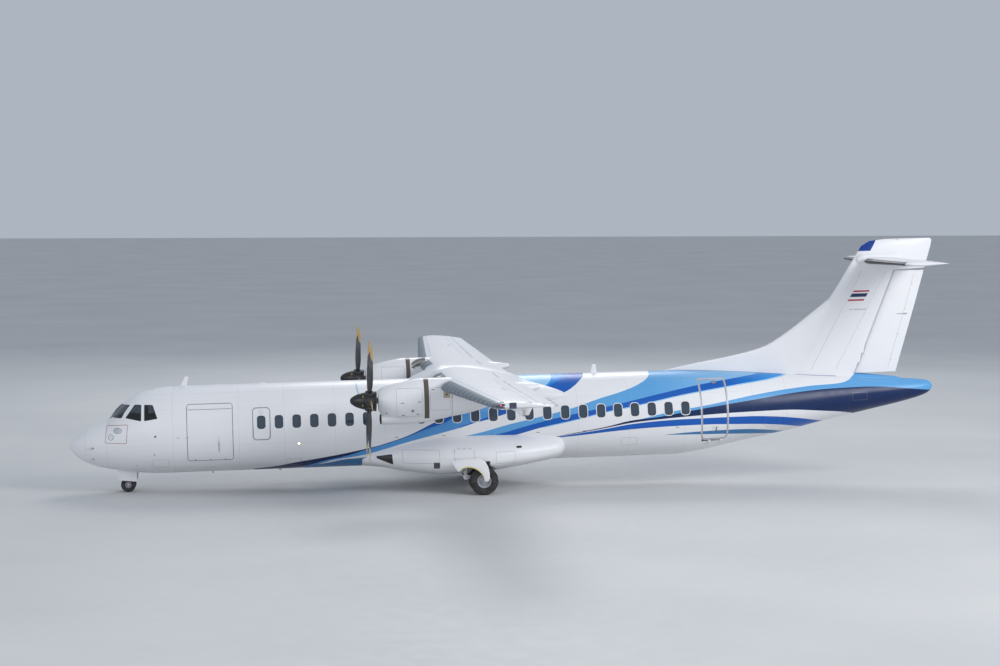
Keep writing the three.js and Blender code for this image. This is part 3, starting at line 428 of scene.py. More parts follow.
# Paint colours, as linear light
WHITE = rgb(0.80, 0.80, 0.82)
NAVY = rgb(0.006, 0.022, 0.092)
ROYAL = rgb(0.010, 0.105, 0.45)
CYAN = rgb(0.004, 0.27, 0.74)
MID_BLUE = rgb(0.085, 0.30, 0.64)
LIGHT_BLUE = rgb(0.115, 0.36, 0.68)
PALE_BLUE = rgb(0.32, 0.58, 0.84)
TEAL = rgb(0.050, 0.19, 0.40)
SOIL = rgb(0.55, 0.54, 0.53)
JOINT = rgb(0.12, 0.13, 0.15)

# Where a stripe changes colour: the second colour, then the weights of station and height in the value
# that it follows, and that value where the change starts and ends
FADE_AFT = (PALE_BLUE, 1.0, 0.0, 18.0, 22.5)
FADE_CROWN = (PALE_BLUE, 0.0, 1.0, 0.40, 0.95)
FADE_BAND = (CYAN, 1.0, 0.0, 20.3, 22.0)
FADE_PATCH = (ROYAL, 0.416, -0.909, 5.02, 5.17)

# The stripes along the fuselage: colour, upper edge and lower edge, each as (station, height) points,
# and the change of colour if there is one. An edge at 2 m runs over the crown.
STRIPES = (
    (TEAL, ((7.1, -1.10), (7.9, -0.99), (8.3, -0.906), (8.96, -0.851), (10.2, -0.60)),
     ((7.1, -1.5), (10.2, -1.5))),
    (LIGHT_BLUE,
     ((12.0, -0.28), (12.57, -0.169), (13.29, 0.014), (14.15, 0.196), (15.33, 0.457), (16.28, 0.734),
                  (17.02, 0.923), (17.54, 1.105), (17.82, 1.246), (17.99, 1.42), (18.1, 2.0), (24.8, 2.0)),
     ((12.0, -0.31), (12.94, -0.30), (13.8, -0.19), (15.0, 0.10), (16.4, 0.38), (18.08, 0.70), (20.4, 1.05),
      (22.2, 1.19), (22.5, 1.6), (24.8, 2.0)), FADE_AFT),
    # This row shows only as a thin pale line under the royal band that follows: a painted highlight along
    # that band's lower edge.
    (PALE_BLUE, ((14.47, -0.05), (15.31, 0.10), (17.47, 0.52), (20.44, 0.99), (22.4, 1.22)),
     ((14.47, -0.10), (15.31, 0.06), (16.43, 0.294), (17.47, 0.472), (18.77, 0.715), (20.44, 0.945),
      (22.17, 1.153),
      (22.4, 1.20))),
    (ROYAL, ((12.9, -0.28), (13.29, -0.199), (13.76, -0.073), (14.72, 0.153), (15.89, 0.370), (16.98, 0.575),
             (18.11, 0.80), (19.50, 1.040), (21.64, 1.293), (22.5, 1.40)),
     ((12.9, -0.44), (13.62, -0.288), (14.47, -0.074), (15.31, 0.086), (16.43, 0.324), (17.47, 0.502),
      (18.77, 0.745), (20.44, 0.975), (22.17, 1.183), (22.5, 1.25)), FADE_BAND),
    (LIGHT_BLUE,
     ((17.45, 0.055), (18.54, 0.271), (19.54, 0.410), (21.37, 0.700), (22.91, 0.856), (24.2, 0.93),
                  (24.75, 1.3), (25.1, 2.0), (27.3, 2.0)),
     ((17.45, 0.04), (18.05, 0.075), (18.99, 0.17), (20.26, 0.28), (21.96, 0.42), (23.37, 0.40),
      (24.45, 0.30),
      (25.1, 0.1), (27.3, 0.0))),
    (NAVY, ((14.85, -0.385), (15.66, -0.259), (16.47, -0.125), (17.19, 0.028), (18.05, 0.111), (19.07, 0.264),
            (20.34, 0.434), (21.35, 0.555), (22.37, 0.674), (23.39, 0.745), (24.58, 0.763), (25.46, 0.734),
            (26.39, 0.634), (27.3, 0.53)),
     ((14.85, -0.395), (15.66, -0.284), (16.47, -0.160), (17.18, -0.044), (18.05, 0.036), (18.99, 0.097),
      (20.26, 0.153), (21.96, 0.170), (23.37, 0.073), (24.45, -0.076), (25.1, -0.3), (27.3, -0.9))),
    (ROYAL, ((14.85, -0.400), (15.66, -0.300), (16.47, -0.191), (17.18, -0.084), (18.33, 0.0), (19.52, 0.023),
             (20.33, 0.028), (21.97, -0.042), (23.69, -0.329), (24.2, -0.45)),
     ((14.85, -0.43), (15.66, -0.368), (16.94, -0.261), (18.04, -0.203), (19.52, -0.176), (20.33, -0.198),
      (22.0, -0.31), (22.99, -0.486), (23.6, -0.62), (24.2, -0.8))),
    (TEAL,
     ((18.27, -0.450), (18.99, -0.404), (20.28, -0.380), (21.30, -0.425), (22.44, -0.614), (22.7, -0.68)),
     ((18.27, -0.455), (19.35, -0.481), (20.30, -0.515), (22.22, -0.660), (22.7, -0.73))),
    (MID_BLUE, ((5.6, -1.16), (6.33, -1.044), (6.84, -0.944), (7.74, -0.80), (8.59, -0.648), (9.58, -0.431),
                (10.31, -0.193), (11.14, 0.189), (11.8, 0.55), (12.5, 1.0), (13.0, 1.33), (13.2, 2.0),
                (15.0, 2.0)),
     ((5.6, -1.2), (7.09, -1.147), (8.02, -0.904), (8.98, -0.756), (9.58, -0.601), (10.31, -0.393),
      (11.34, -0.147), (12.21, 0.080), (12.77, 0.300), (13.2, 0.56), (14.0, 0.90), (14.66, 1.163),
      (14.88, 1.384),
      (15.0, 2.0)), FADE_CROWN),
    (ROYAL, ((11.9, 0.03), (12.46, 0.195), (12.77, 0.300), (13.2, 0.56), (14.0, 0.90), (14.66, 1.163),
             (14.88, 1.384), (15.0, 2.0), (16.1, 2.0)),
     ((11.9, 0.01), (12.37, 0.126), (13.04, 0.287), (13.8, 0.52), (14.4, 0.70), (15.22, 0.955), (15.53, 1.12),
      (15.70, 1.243), (15.91, 1.42), (16.1, 2.0))),
    (CYAN, ((14.1, 0.93), (14.4, 1.055), (14.66, 1.163), (14.88, 1.384), (15.0, 2.0), (16.1, 2.0)),
     ((14.1, 0.88), (14.9, 1.20), (15.5, 1.47), (15.7, 2.0), (16.1, 2.0)), FADE_PATCH),
    (ROYAL, ((9.5, -0.45), (10.31, -0.193), (11.14, 0.189), (11.8, 0.55), (12.5, 1.0)),
     ((9.5, -0.47), (10.31, -0.225), (10.93, 0.002), (11.35, 0.131), (11.64, 0.273), (12.1, 0.75),
      (12.5, 1.0))),
    (NAVY, ((5.6, -1.13), (6.33, -1.044), (6.84, -0.944), (7.74, -0.80), (8.59, -0.648), (9.58, -0.431),
            (10.31, -0.193), (11.14, 0.189)),
     ((5.6, -1.25), (7.04, -1.120), (7.74, -0.915), (8.45, -0.767), (9.01, -0.598), (9.58, -0.447),
      (10.31, -0.208), (11.14, 0.180))),
)
# The heights that a stripe's edge may have, and the joints of the sheets with their half widths
EDGE_LOW, EDGE_HIGH = -2.0, 2.0
HEIGHT_SPAN = EDGE_HIGH - EDGE_LOW
PANEL_JOINTS = (0.52, 1.19, 3.20, 5.18, 6.56, 8.10, 9.62, 13.75, 15.55, 17.15, 18.90, 21.10, 22.20, 24.30,
                26.10)
LAP_JOINTS = (-0.98, -0.28, 0.80, 1.24)
PANEL_JOINT_HALF, LAP_JOINT_HALF = 0.004, 0.0025


def edge_height(graph, station, points):
    """The height of a stripe's edge at a station, from a smooth curve through its points."""
    start, end = points[0][0], points[-1][0]
    share = graph.math("DIVIDE", graph.math("SUBTRACT", station, start), end - start)
    node = graph.node("FloatCurve", {"Value": share})
    curve = node.mapping.curves[0]
    for _ in range(len(points) - 2):
        curve.points.new(0.5, 0.5)
    for point, (s, w) in zip(curve.points, points):
        point.location = ((s - start) / (end - start), (w - EDGE_LOW) / HEIGHT_SPAN)
        point.handle_type = "AUTO_CLAMPED"
    node.mapping.update()
    return graph.math("MULTIPLY_ADD", node.outputs[0], HEIGHT_SPAN, EDGE_LOW)


def stripe_mask(graph, s, w, upper, lower):
    over = graph.math("GREATER_THAN", w, edge_height(graph, s, lower))
    under = graph.math("LESS_THAN", w, edge_height(graph, s, upper))
    after = graph.math("GREATER_THAN", s, upper[0][0])
    before = graph.math("LESS_THAN", s, upper[-1][0])
    return graph.math("MULTIPLY", graph.math("MULTIPLY", over, under), graph.math("MULTIPLY", after, before))


def joint_lines(graph, value, places, half):
    total = None
    for at in places:
        line = graph.near(value, at, half)
        total = line if total is None else graph.math("MAXIMUM", total, line)
    return total


GLOSS = {"Coat_Weight": 0.05, "Coat_Roughness": 0.12, "Specular_IOR_Level": 0.28}


def gloss_finish(graph, colour, normal):
    roughness = graph.steps(graph.noise(5.0, 3), (0.3, 0.30), (0.75, 0.40))
    return graph.finish(colour, roughness, normal, **GLOSS)


def airframe_paint(name, livery=True):
    """Glossy white with faint soiling; the livery adds the stripes and the joints of the sheets."""
    graph = Graph(name)
    s, _, w = graph.airframe()
    soiling = graph.noise(1.1, 6, stretch=(0.35, 1, 1.6))
    colour = graph.blend(graph.steps(soiling, (0.45, 0.0), (0.75, 0.07)), WHITE, SOIL)
    relief = graph.math("MULTIPLY", graph.noise(1.2, 1), 0.12)
    if livery:
        for paint, upper, lower, *fade in STRIPES:
            for other, along, across, start, end in fade:
                value = graph.math("ADD", graph.math("MULTIPLY", s, along), graph.math("MULTIPLY", w, across))
                share = graph.math("DIVIDE", graph.math("SUBTRACT", value, start), end - start)
                paint = graph.blend(share, paint, other)
            colour = graph.blend(stripe_mask(graph, s, w, upper, lower), colour, paint)
        across = joint_lines(graph, s, PANEL_JOINTS, PANEL_JOINT_HALF)
        along = joint_lines(graph, w, LAP_JOINTS, LAP_JOINT_HALF)
        lines = graph.math("MAXIMUM", across, along)
        colour = graph.blend(graph.math("MULTIPLY", lines, 0.26), colour, JOINT)
        relief = graph.math("SUBTRACT", relief, lines)
    return gloss_finish(graph, colour, graph.bump(relief, 0.25, 0.003))


# The blue cap at the front of the fin's tip: height of its foot, station of its back there, and its lean
CAP = {"foot": 5.03, "back": 25.20, "lean": 0.60, "half": 0.16, "colour": rgb(0.012, 0.05, 0.26)}


def fin_paint(name):
    """White paint with faint soiling, and a blue cap at the front of the fin's tip."""
    graph = Graph(name)
    s, y, w = graph.airframe()
    soiling = graph.noise(1.4, 5)
    colour = graph.blend(graph.steps(soiling, (0.45, 0.0), (0.8, 0.07)), WHITE, SOIL)
    lean = graph.math("MULTIPLY_ADD", graph.math("SUBTRACT", w, CAP["foot"]), CAP["lean"], CAP["back"])
    inside = graph.math("MULTIPLY", graph.math("LESS_THAN", s, lean),
                        graph.math("GREATER_THAN", w, CAP["foot"]))
    slim = graph.math("LESS_THAN", graph.math("ABSOLUTE", y), CAP["half"])
    colour = graph.blend(graph.math("MULTIPLY", inside, slim), colour, CAP["colour"])
    return gloss_finish(graph, colour, graph.bump(graph.noise(1.2, 1), 0.05, 0.001))


def darkened(colour, share):
    return rgb(*(share * c for c in colour[:3]))


def plain_paint(name, colour, rough=(0.28, 0.42), scale=6.0, dirt=0.10, coat=0.25, metal=0.0,
                dirt_colour=None):
    graph = Graph(name)
    patches = graph.noise(scale, 5)
    shade = dirt_colour or darkened(colour, 0.45)
    tone = graph.blend(graph.steps(patches, (0.45, 0.0), (0.8, dirt)), colour, shade)
    roughness = graph.steps(graph.noise(scale * 2.3, 4), (0.3, rough[0]), (0.75, rough[1]))
    normal = graph.bump(graph.noise(scale * 2, 1), 0.03, 0.001)
    return graph.finish(tone, roughness, normal, Coat_Weight=coat, Metallic=metal)


def metal(name, colour, rough=(0.22, 0.4), brushed=None):
    graph = Graph(name)
    grain = graph.noise(40, 3, stretch=brushed) if brushed else graph.noise(18, 4)
    tone = graph.blend(graph.steps(graph.noise(5, 4), (0.4, 0.0), (0.8, 0.5)), colour, darkened(colour, 0.5))
    roughness = graph.steps(grain, (0.3, rough[0]), (0.7, rough[1]))
    return graph.finish(tone, roughness, graph.bump(grain, 0.08, 0.001), Metallic=1.0)


def rubber(name):
    graph = Graph(name)
    dust = graph.steps(graph.noise(9, 6), (0.4, 0.0), (0.75, 0.7))
    tone = graph.blend(dust, rgb(0.018, 0.018, 0.019), rgb(0.075, 0.072, 0.068))
    return graph.finish(tone, 0.82, graph.bump(graph.noise(220, 2), 0.25, 0.0008))


# Spacing of a de-icing boot's tubes and of its sections, along the span
BOOT_TUBE, BOOT_SECTION = 0.11, 0.66


def boot_rubber(name, colour, sheen_and_wear):
    """De-icing boot: dark rubber with narrow tubes running across it. A second colour lightens it in random
    patches, as wear, and across the middle of each section, as a painted sheen; the grooves between the tubes
    are darkened as painted shade.
    """
    graph = Graph(name)
    _, y, _ = graph.airframe()
    height = graph.math("DIVIDE", graph.math("PINGPONG", y, BOOT_TUBE / 2), BOOT_TUBE / 2)
    sections = graph.math("DIVIDE", graph.math("PINGPONG", y, BOOT_SECTION / 2), BOOT_SECTION / 2)
    tone = graph.blend(graph.steps(graph.noise(3.5, 5), (0.4, 0.0), (0.8, 0.35)), colour, sheen_and_wear)
    # Painted sheen across the middle of each section.
    tone = graph.blend(graph.steps(sections, (0.15, 0.0), (0.75, 0.6)), tone, sheen_and_wear)
    # Painted shade in the grooves between the tubes.
    tone = graph.blend(graph.steps(height, (0.0, 0.20), (0.32, 0.0)), tone, rgb(0.03, 0.04, 0.05))
    tone = graph.blend(graph.steps(sections, (0.04, 0.85), (0.18, 0.0)), tone, rgb(0.02, 0.028, 0.036))
    return graph.finish(tone, 0.42, graph.bump(graph.steps(height, (0.0, 0.0), (0.5, 1.0)), 0.5, 0.004))


def glass(name, tint, rough=0.03):
    graph = Graph(name)
    smear = graph.steps(graph.noise(14, 4), (0.4, rough), (0.8, rough + 0.06))
    return graph.finish(tint, smear, graph.bump(graph.noise(1, 1), 0.01, 0.001),
                        Transmission_Weight=1.0, IOR=1.5, Specular_IOR_Level=0.7)


def glow(name, colour, strength):
    graph = Graph(name)
    smear = graph.steps(graph.noise(30, 2), (0.3, 0.05), (0.7, 0.15))
    return graph.finish(colour, smear, None, Emission_Color=colour, Emission_Strength=strength)


def floor_paint(name):
    """Concrete in two close tones of grey."""
    graph = Graph(name)
    patches = graph.steps(graph.noise(0.12, 3), (0.3, 0.0), (0.8, 1.0))
    tone = graph.blend(patches, rgb(0.58, 0.585, 0.59), rgb(0.66, 0.66, 0.655))
    return graph.finish(tone, graph.steps(graph.noise(2.0, 4), (0.3, 0.6), (0.7, 0.75)))


PAINT = {
    "hull": airframe_paint("hull_paint"),
    "white": airframe_paint("white_paint", livery=False),
    "grey": plain_paint("grey_paint", rgb(0.30, 0.31, 0.33)),
    "band": plain_paint("band_paint", rgb(0.105, 0.085, 0.07)),
    # Near-black paint for small vents, slots and ports and the inside of the intake's lip: painted shade
    # inside these openings.
    "dark": plain_paint("recess_painted_shade", rgb(0.012, 0.012, 0.013), rough=(0.6, 0.8), coat=0),
    "black": plain_paint("black_paint", rgb(0.012, 0.012, 0.014), rough=(0.3, 0.5), coat=0.1,
                         dirt=0.5, dirt_colour=rgb(0.05, 0.05, 0.05)),
    "belly": airframe_paint("belly_paint", livery=False),
    "tan": plain_paint("scoop_paint", rgb(0.42, 0.36, 0.27)),
    "blade_tip": plain_paint("blade_tip_paint", rgb(0.75, 0.42, 0.03), dirt=0.3),
    "tail": fin_paint("tail_paint"),
    "flag_red": plain_paint("fin_bar_red", rgb(0.42, 0.015, 0.03)),
    "yellow_edge": plain_paint("pale_yellow_primer", rgb(0.72, 0.66, 0.28), dirt=0.3),
    "rim": plain_paint("wheel_silver", rgb(0.46, 0.47, 0.52), rough=(0.32, 0.5), metal=0.35, dirt=0.5,
                       dirt_colour=rgb(0.16, 0.15, 0.15)),
    "brake": metal("brake_steel", rgb(0.26, 0.24, 0.23), rough=(0.4, 0.6)),
    "pale_blue": plain_paint("pale_blue_paint", rgb(0.42, 0.58, 0.78)),
    "panel_red": plain_paint("panel_outline_paint", rgb(0.40, 0.20, 0.17)),
    "screen": plain_paint("display_glass", rgb(0.01, 0.03, 0.05), rough=(0.05, 0.12), coat=1.0, dirt=0.2),
    "frame": plain_paint("door_frame_grey", rgb(0.56, 0.57, 0.60), rough=(0.3, 0.5), metal=0.3, dirt=0.25),
    "seal": plain_paint("seal_rubber", rgb(0.06, 0.06, 0.065), rough=(0.6, 0.8), coat=0),
    "line": plain_paint("door_outline_paint", rgb(0.20, 0.21, 0.23)),
    "yellow": plain_paint("yellow_paint", rgb(0.80, 0.50, 0.02)),
    "navy": plain_paint("navy_paint", NAVY),
    # The seal at the fin's foot: dark blue, partly its own paint and partly painted shade in the joint
    # between fin and crown.
    "seal_blue_and_shade": plain_paint("fin_seal_and_joint_shade", rgb(0.035, 0.13, 0.30)),
    "engine": metal("engine_casing", rgb(0.24, 0.23, 0.22), rough=(0.35, 0.55)),
    "steel": metal("bare_steel", rgb(0.55, 0.55, 0.56)),
    "chrome": metal("polished_steel", rgb(0.75, 0.76, 0.78), rough=(0.06, 0.14)),
    "silver": metal("door_frame_metal", rgb(0.72, 0.73, 0.75), rough=(0.3, 0.5), brushed=(1, 1, 12)),
    "exhaust": metal("exhaust_metal", rgb(0.34, 0.33, 0.32), rough=(0.35, 0.55)),
    "strut": plain_paint("strut_paint", rgb(0.62, 0.63, 0.65), dirt=0.35, dirt_colour=rgb(0.2, 0.18, 0.16)),
    "tyre": rubber("tyre_rubber"),
    # Each boot's second colour lightens it in random patches, as wear, and across each section, as a painted
    # sheen.
    "boot": boot_rubber("wing_boot_rubber", rgb(0.10, 0.14, 0.19), rgb(0.20, 0.25, 0.30)),
    "dark_boot": boot_rubber("tail_boot_rubber", rgb(0.012, 0.013, 0.016), rgb(0.03, 0.03, 0.034)),
    "glass": glass("cockpit_glass", rgb(0.25, 0.30, 0.33)),
    # The cabin panes are opaque: their dark blue is the glass together with painted shade of the dim cabin
    # behind it.
    "pane": plain_paint("shaded_cabin_pane", rgb(0.035, 0.055, 0.085), rough=(0.05, 0.12), coat=1.0, dirt=0.3),
    "lens": glass("lens_glass", rgb(0.9, 0.92, 0.95), rough=0.02),
    "smoked": plain_paint("smoked_lens", rgb(0.030, 0.045, 0.085), rough=(0.04, 0.10), coat=1.0, dirt=0.2),
    "red_lamp": glow("red_lamp", rgb(0.9, 0.03, 0.02), 2.0),
    "green_lamp": glow("green_lamp", rgb(0.02, 0.75, 0.15), 1.2),
    "white_lamp": glow("white_lamp", rgb(1.0, 0.87, 0.58), 1.2),
    "cabin": plain_paint("cabin_trim", rgb(0.42, 0.42, 0.41), rough=(0.5, 0.7), coat=0),
    "panel": plain_paint("instrument_panel", rgb(0.05, 0.055, 0.06), rough=(0.5, 0.7), coat=0),
    "seat": plain_paint("seat_cloth", rgb(0.05, 0.075, 0.13), rough=(0.8, 0.95), scale=30, coat=0),
    "floor": floor_paint("floor_paint"),
}


NOSE_END = 4


def nose_stretched(s):
    """Spreads the stations of the nose, so that the curves round off its blunt tip."""
    return math.sqrt(max(s, 0.0)) if s < NOSE_END else 1 + s / NOSE_END


# The fuselage skin: station, top, bottom, half width, height of the widest place, lower fullness
HULL = Rows((
    (0.000, -0.265, -0.370, 0.060, -0.318, 2.0), (0.030, -0.205, -0.440, 0.165, -0.320, 2.0),
    (0.100, -0.118, -0.520, 0.275, -0.318, 2.0), (0.250, -0.005, -0.672, 0.435, -0.315, 2.0),
    (0.520, 0.185, -0.838, 0.630, -0.300, 2.05), (0.840, 0.340, -0.962, 0.800, -0.260, 2.1),
    (1.150, 0.474, -1.034, 0.930, -0.215, 2.15), (1.190, 0.489, -1.042, 0.945, -0.210, 2.15),
    (1.230, 0.520, -1.051, 0.960, -0.205, 2.15), (1.630, 0.930, -1.132, 1.090, -0.150, 2.2),
    (1.910, 1.135, -1.172, 1.170, -0.110, 2.2), (2.230, 1.285, -1.200, 1.245, -0.080, 2.2),
    (2.620, 1.365, -1.218, 1.320, -0.050, 2.25), (3.120, 1.412, -1.225, 1.385, -0.020, 2.3),
    (3.630, 1.430, -1.222, 1.420, 0.0, 2.35), (4.300, 1.432, -1.220, 1.432, 0.0, 2.35),
    (18.630, 1.432, -1.200, 1.432, 0.0, 2.35), (19.550, 1.410, -1.100, 1.405, 0.030, 2.3),
    (20.700, 1.340, -0.880, 1.310, 0.150, 2.2), (22.400, 1.215, -0.575, 1.080, 0.270, 2.1),
    (23.700, 1.140, -0.290, 0.860, 0.390, 2.0), (25.000, 1.050, -0.035, 0.630, 0.500, 2.0),
    (26.400, 0.935, 0.258, 0.370, 0.590, 2.0), (26.950, 0.880, 0.420, 0.235, 0.650, 2.0),
    (27.130, 0.800, 0.540, 0.130, 0.670, 2.0), (27.182, 0.730, 0.610, 0.060, 0.670, 2.0),
), warp=nose_stretched)
HULL_END = HULL.table[-1][0]
HULL_SIDES = 96
# Where the nose's upper line turns up into the windshields, and the closer rings at the blunt tip
WINDSHIELD_FOOT = (1.150, 1.190, 1.230)
TIP_STATIONS = [0.0, 0.008, 0.02, 0.045, 0.08, 0.13, 0.2, 0.28, 0.38]
# How finely an outline is divided before it is laid on the skin, and the span over which a slope is taken
SKIN_STEP = 0.05
SLOPE_STEP = 0.02


def hull_ring(station, inward=0.0, count=HULL_SIDES, rows=HULL):
    top, bottom, half, centre, full = rows.at(station)
    ring = []
    for a in angles(count):
        power = 2.0 if math.sin(a) > 0 else full
        across = math.copysign(abs(math.cos(a)) ** (2 / power), math.cos(a)) * (half - inward)
        up = abs(math.sin(a)) ** (2 / power)
        rise = (top - inward - centre) * up if math.sin(a) > 0 else (bottom + inward - centre) * up
        ring.append((station, across, centre + rise))
    return ring


def half_width(s, w, rows=HULL):
    """How far the skin stands out at a station and height."""
    top, bottom, half, centre, full = rows.at(s)
    upper = w > centre
    reach = (top - centre) if upper else (centre - bottom)
    share = min(abs(w - centre) / reach, 0.9999)
    power = 2.0 if upper else full
    return half * (1 - share ** power) ** (1 / power)


def hull_stations(start, end, step):
    before, foot, after = WINDSHIELD_FOOT
    if start < foot < end:
        return spaced(start, before, step) + [foot, after] + spaced(after, end, step)
    return spaced(start, end, step)


def hull_solid(start, end, step, inward=0.0, nose=False):
    """The skin between two stations, closed at both ends."""
    stations = hull_stations(start, end, step)
    if nose:
        stations = TIP_STATIONS + stations[1:]
    return Shape().loft([hull_ring(s, inward) for s in stations])


def on_skin(side, s, w, out, rows=HULL):
    """A point on the skin, or a little outside or inside it along the skin's own slope."""
    step = SLOPE_STEP
    y = half_width(s, w, rows)
    down_slope = (half_width(s, w - step, rows) - half_width(s, w + step, rows)) / (2 * step)
    ahead_slope = (half_width(s + step, w, rows) - half_width(s - step, w, rows)) / (2 * step)
    normal = Vector((-ahead_slope, 1.0, down_slope)).normalized() * out
    return (s + normal.x, side * (y + normal.y), w + normal.z)


def drawn_in(outline, share):
    """An outline scaled about the mean of its points."""
    middle_s, middle_w = (sum(column) / len(outline) for column in zip(*outline))
    return [(middle_s + (s - middle_s) * share, middle_w + (w - middle_w) * share) for s, w in outline]


def band_profile(outline, width, out, inside):
    """The four lines of a raised band along a closed outline, each with its level."""
    inner = shrunk(outline, width)
    return ((outline, inside), (outline, out), (inner, out), (inner, inside))


def skin_plate(shape, side, outline, out, inside, paint=0, rows=HULL):
    """A plate that follows the skin: its outline is in (s, w), filled by rings drawn in to its middle."""
    outline = refined(outline, SKIN_STEP)
    rings = []
    for share, level in ((0.1, inside), (0.4, inside), (0.7, inside), (1.0, inside), (1.0, out * 0.4),
                         (0.97, out),
                         (0.7, out), (0.4, out), (0.1, out)):
        rings.append([on_skin(side, s, w, level, rows) for s, w in drawn_in(outline, share)])
    return shape.loft(rings, paint)


def skin_band(shape, side, outline, width, out, inside, paint=0, rows=HULL):
    """A raised band along a closed outline on the skin, such as a door's frame."""
    profile = band_profile(refined(outline, SKIN_STEP), width, out, inside)
    rings = [[on_skin(side, s, w, level, rows) for s, w in line] for line, level in profile]
    return shape.loft(rings, paint, closed=True)


def skin_strip(shape, side, route, width, out, paint, inside=-0.004, rows=HULL):
    """A flat strip along an open route of (s, w) points on the skin."""
    route = refined(route, SKIN_STEP, closed=False)
    rings = []
    for i, here in enumerate(route):
        before, after = route[max(i - 1, 0)], route[min(i + 1, len(route) - 1)]
        along = Vector((after[0] - before[0], after[1] - before[1])).normalized()
        off = Vector((-along.y, along.x)) * width / 2
        rings.append([on_skin(side, here[0] + turn * off.x, here[1] + turn * off.y, level, rows)
                      for turn, level in ((1, inside), (1, out), (-1, out), (-1, inside))])
    return shape.loft(rings, paint)


def crown_height(s, y):
    """Height of the skin's upper side at a station, at a distance from the middle plane."""
    top, _, half, centre, _ = HULL.at(s)
    return centre + (top - centre) * math.sqrt(1 - (y / half) ** 2)


HANDLE_SHARES = (0, .1, .25, .5, .75, .9, 1)


def handle(shape, side, foot, reach, height, dip, radius, paint):
    """A bowed grip over the skin, from its foot (s, w) along its reach; its ends dip to the skin."""
    shape.tube([on_skin(side, foot[0] + reach[0] * t, foot[1] + reach[1] * t, height - dip * (2 * t - 1) ** 4)
                for t in HANDLE_SHARES], radius, paint=paint)


def circle(s, w, radius, count):
    return [(s + radius * math.cos(a), w + radius * math.sin(a)) for a in angles(count)]


def column(outline, side, inner, outer, name):
    """A cutter: an outline in (s, w) carried out through one side of the hull."""
    return Shape().prism(outline, side * inner, side * outer, "y").object(name)


# Doorways and doors, as (first station, last station, sill, head, corner radius)
CARGO = (3.62, 5.00, -0.76, 0.95, 0.09)
AIRSTAIR = (19.44, 20.25, -0.64, 1.17, 0.12)
STAIR_HEAD_SLOPE, STAIR_HEAD_CORNER = 0.3, 0.03
SERVICE = (19.50, 20.14, -0.30, 0.95, 0.12)
HATCH = (5.62, 6.11, -0.15, 0.77, 0.09)
# The slit round a door, and the reach of the cutters from the middle plane
SLIT = 0.008
DOOR_CUT = (0.9, 1.6)
PANE_CUT = (0.6, 1.6)
HATCH_CUT = (1.40, 1.6)
WINDSHIELD_CUT = (1.0, 2.1)
STAIR_CUT = (0.5, 1.8)
# Stations between which a panel is taken out of the skin
WINDSHIELD_SPAN, SIDE_PANE_SPAN = (1.0, 2.2), (1.7, 2.9)
CARGO_SPAN, STAIR_SPAN, SERVICE_SPAN = (3.5, 5.1), (19.3, 20.4), (19.3, 20.3)
# Depths under the skin between which a door's panel and a pane lie
DOOR_SKIN = (0.0, 0.055)
STAIR_SKIN = (0.0, 0.045)
PANE_SKIN = (0.006, 0.022)
# Stations where the fuselage is divided into pieces
CUTS = (0.52, 3.20, 18.90, 26.10)
CABIN_WINDOWS = {"height": 0.36, "width": 0.26, "tall": 0.40, "corner": 0.095, "depth": 0.032}
# Places of some of the cabin windows along the cabin; the others stand evenly between them
WINDOW_KNOTS = ((0, 5.86), (6, 9.07), (10, 11.262), (19, 16.278), (24, 18.919))
WINDSHIELD = ((0.045, 0.575), (0.045, 0.945), (0.620, 0.950), (0.832, 0.567))
SIDE_PANES = {
    "fwd": ((1.765, 0.577), (2.048, 0.962), (2.258, 0.962), (2.250, 0.487)),
    "aft": ((2.342, 0.490), (2.342, 0.962), (2.602, 0.950), (2.746, 0.553)),
}
PANE_CORNER, WINDSHIELD_CORNER = 0.035, 0.045


def doorway(row, gap=0.0):
    s0, s1, w0, w1, corner = row
    return rounded(s0 - gap, s1 + gap, w0 - gap, w1 + gap, corner + gap)


def stair_outline(gap, top=None):
    """The stair door has small upper corners, unlike the other doors."""
    s0, s1, w0, w1, corner = AIRSTAIR
    s0, s1, w0, w1, corner = s0 - gap, s1 + gap, w0 - gap, (w1 if top is None else top) + gap, corner + gap
    outline = rounded(s0, s1, w0, w1, corner)
    upper = rounded(s0, s1, w0, w1, STAIR_HEAD_CORNER + max(gap, 0))
    half = len(outline) // 2
    return upper[:half] + outline[half:]


def stair_cutter(gap):
    """The doorway's head slopes up outwards, square to the skin."""
    rings = []
    for y in STAIR_CUT:
        top = AIRSTAIR[3] + STAIR_HEAD_SLOPE * (y - 0.8)
        rings.append([(s, -y, w) for s, w in stair_outline(gap, top)])
    return Shape().loft(rings).object("stair_cut")


def softened(outline, radius, steps=5):
    """An outline with each corner rounded by a radius."""
    made = []
    for i, here in enumerate(outline):
        before, after = outline[i - 1], outline[(i + 1) % len(outline)]
        here, before, after = Vector(here), Vector(before), Vector(after)
        a = here + (before - here).normalized() * radius
        b = here + (after - here).normalized() * radius
        for k in range(steps + 1):
            t = k / steps
            p = a * (1 - t) ** 2 + here * 2 * t * (1 - t) + b * t ** 2
            made.append((p.x, p.y))
    return made


def window_places():
    places = []
    for (i, s0), (k, s1) in zip(WINDOW_KNOTS, WINDOW_KNOTS[1:]):
        places += [s0 + (s1 - s0) * n / (k - i) for n in range(k - i)]
    return places + [WINDOW_KNOTS[-1][1]]


def window_outline(s, grow=0.0):
    w = CABIN_WINDOWS["height"]
    half, tall = CABIN_WINDOWS["width"] / 2 + grow, CABIN_WINDOWS["tall"] / 2 + grow
    return rounded(s - half, s + half, w - tall, w + tall, CABIN_WINDOWS["corner"] + grow, 7)


def window_cutter(places, side, name):
    shape = Shape()
    for s in places:
        inner = half_width(s, CABIN_WINDOWS["height"] + CABIN_WINDOWS["tall"] / 2) - CABIN_WINDOWS["depth"]
        shape.prism(window_outline(s), side * inner, side * (inner + 0.4), "y")
    return shape.object(name)


# Fuselage pieces
def cutter_block(low, high, name):
    return Shape().block(low, high).object(name)


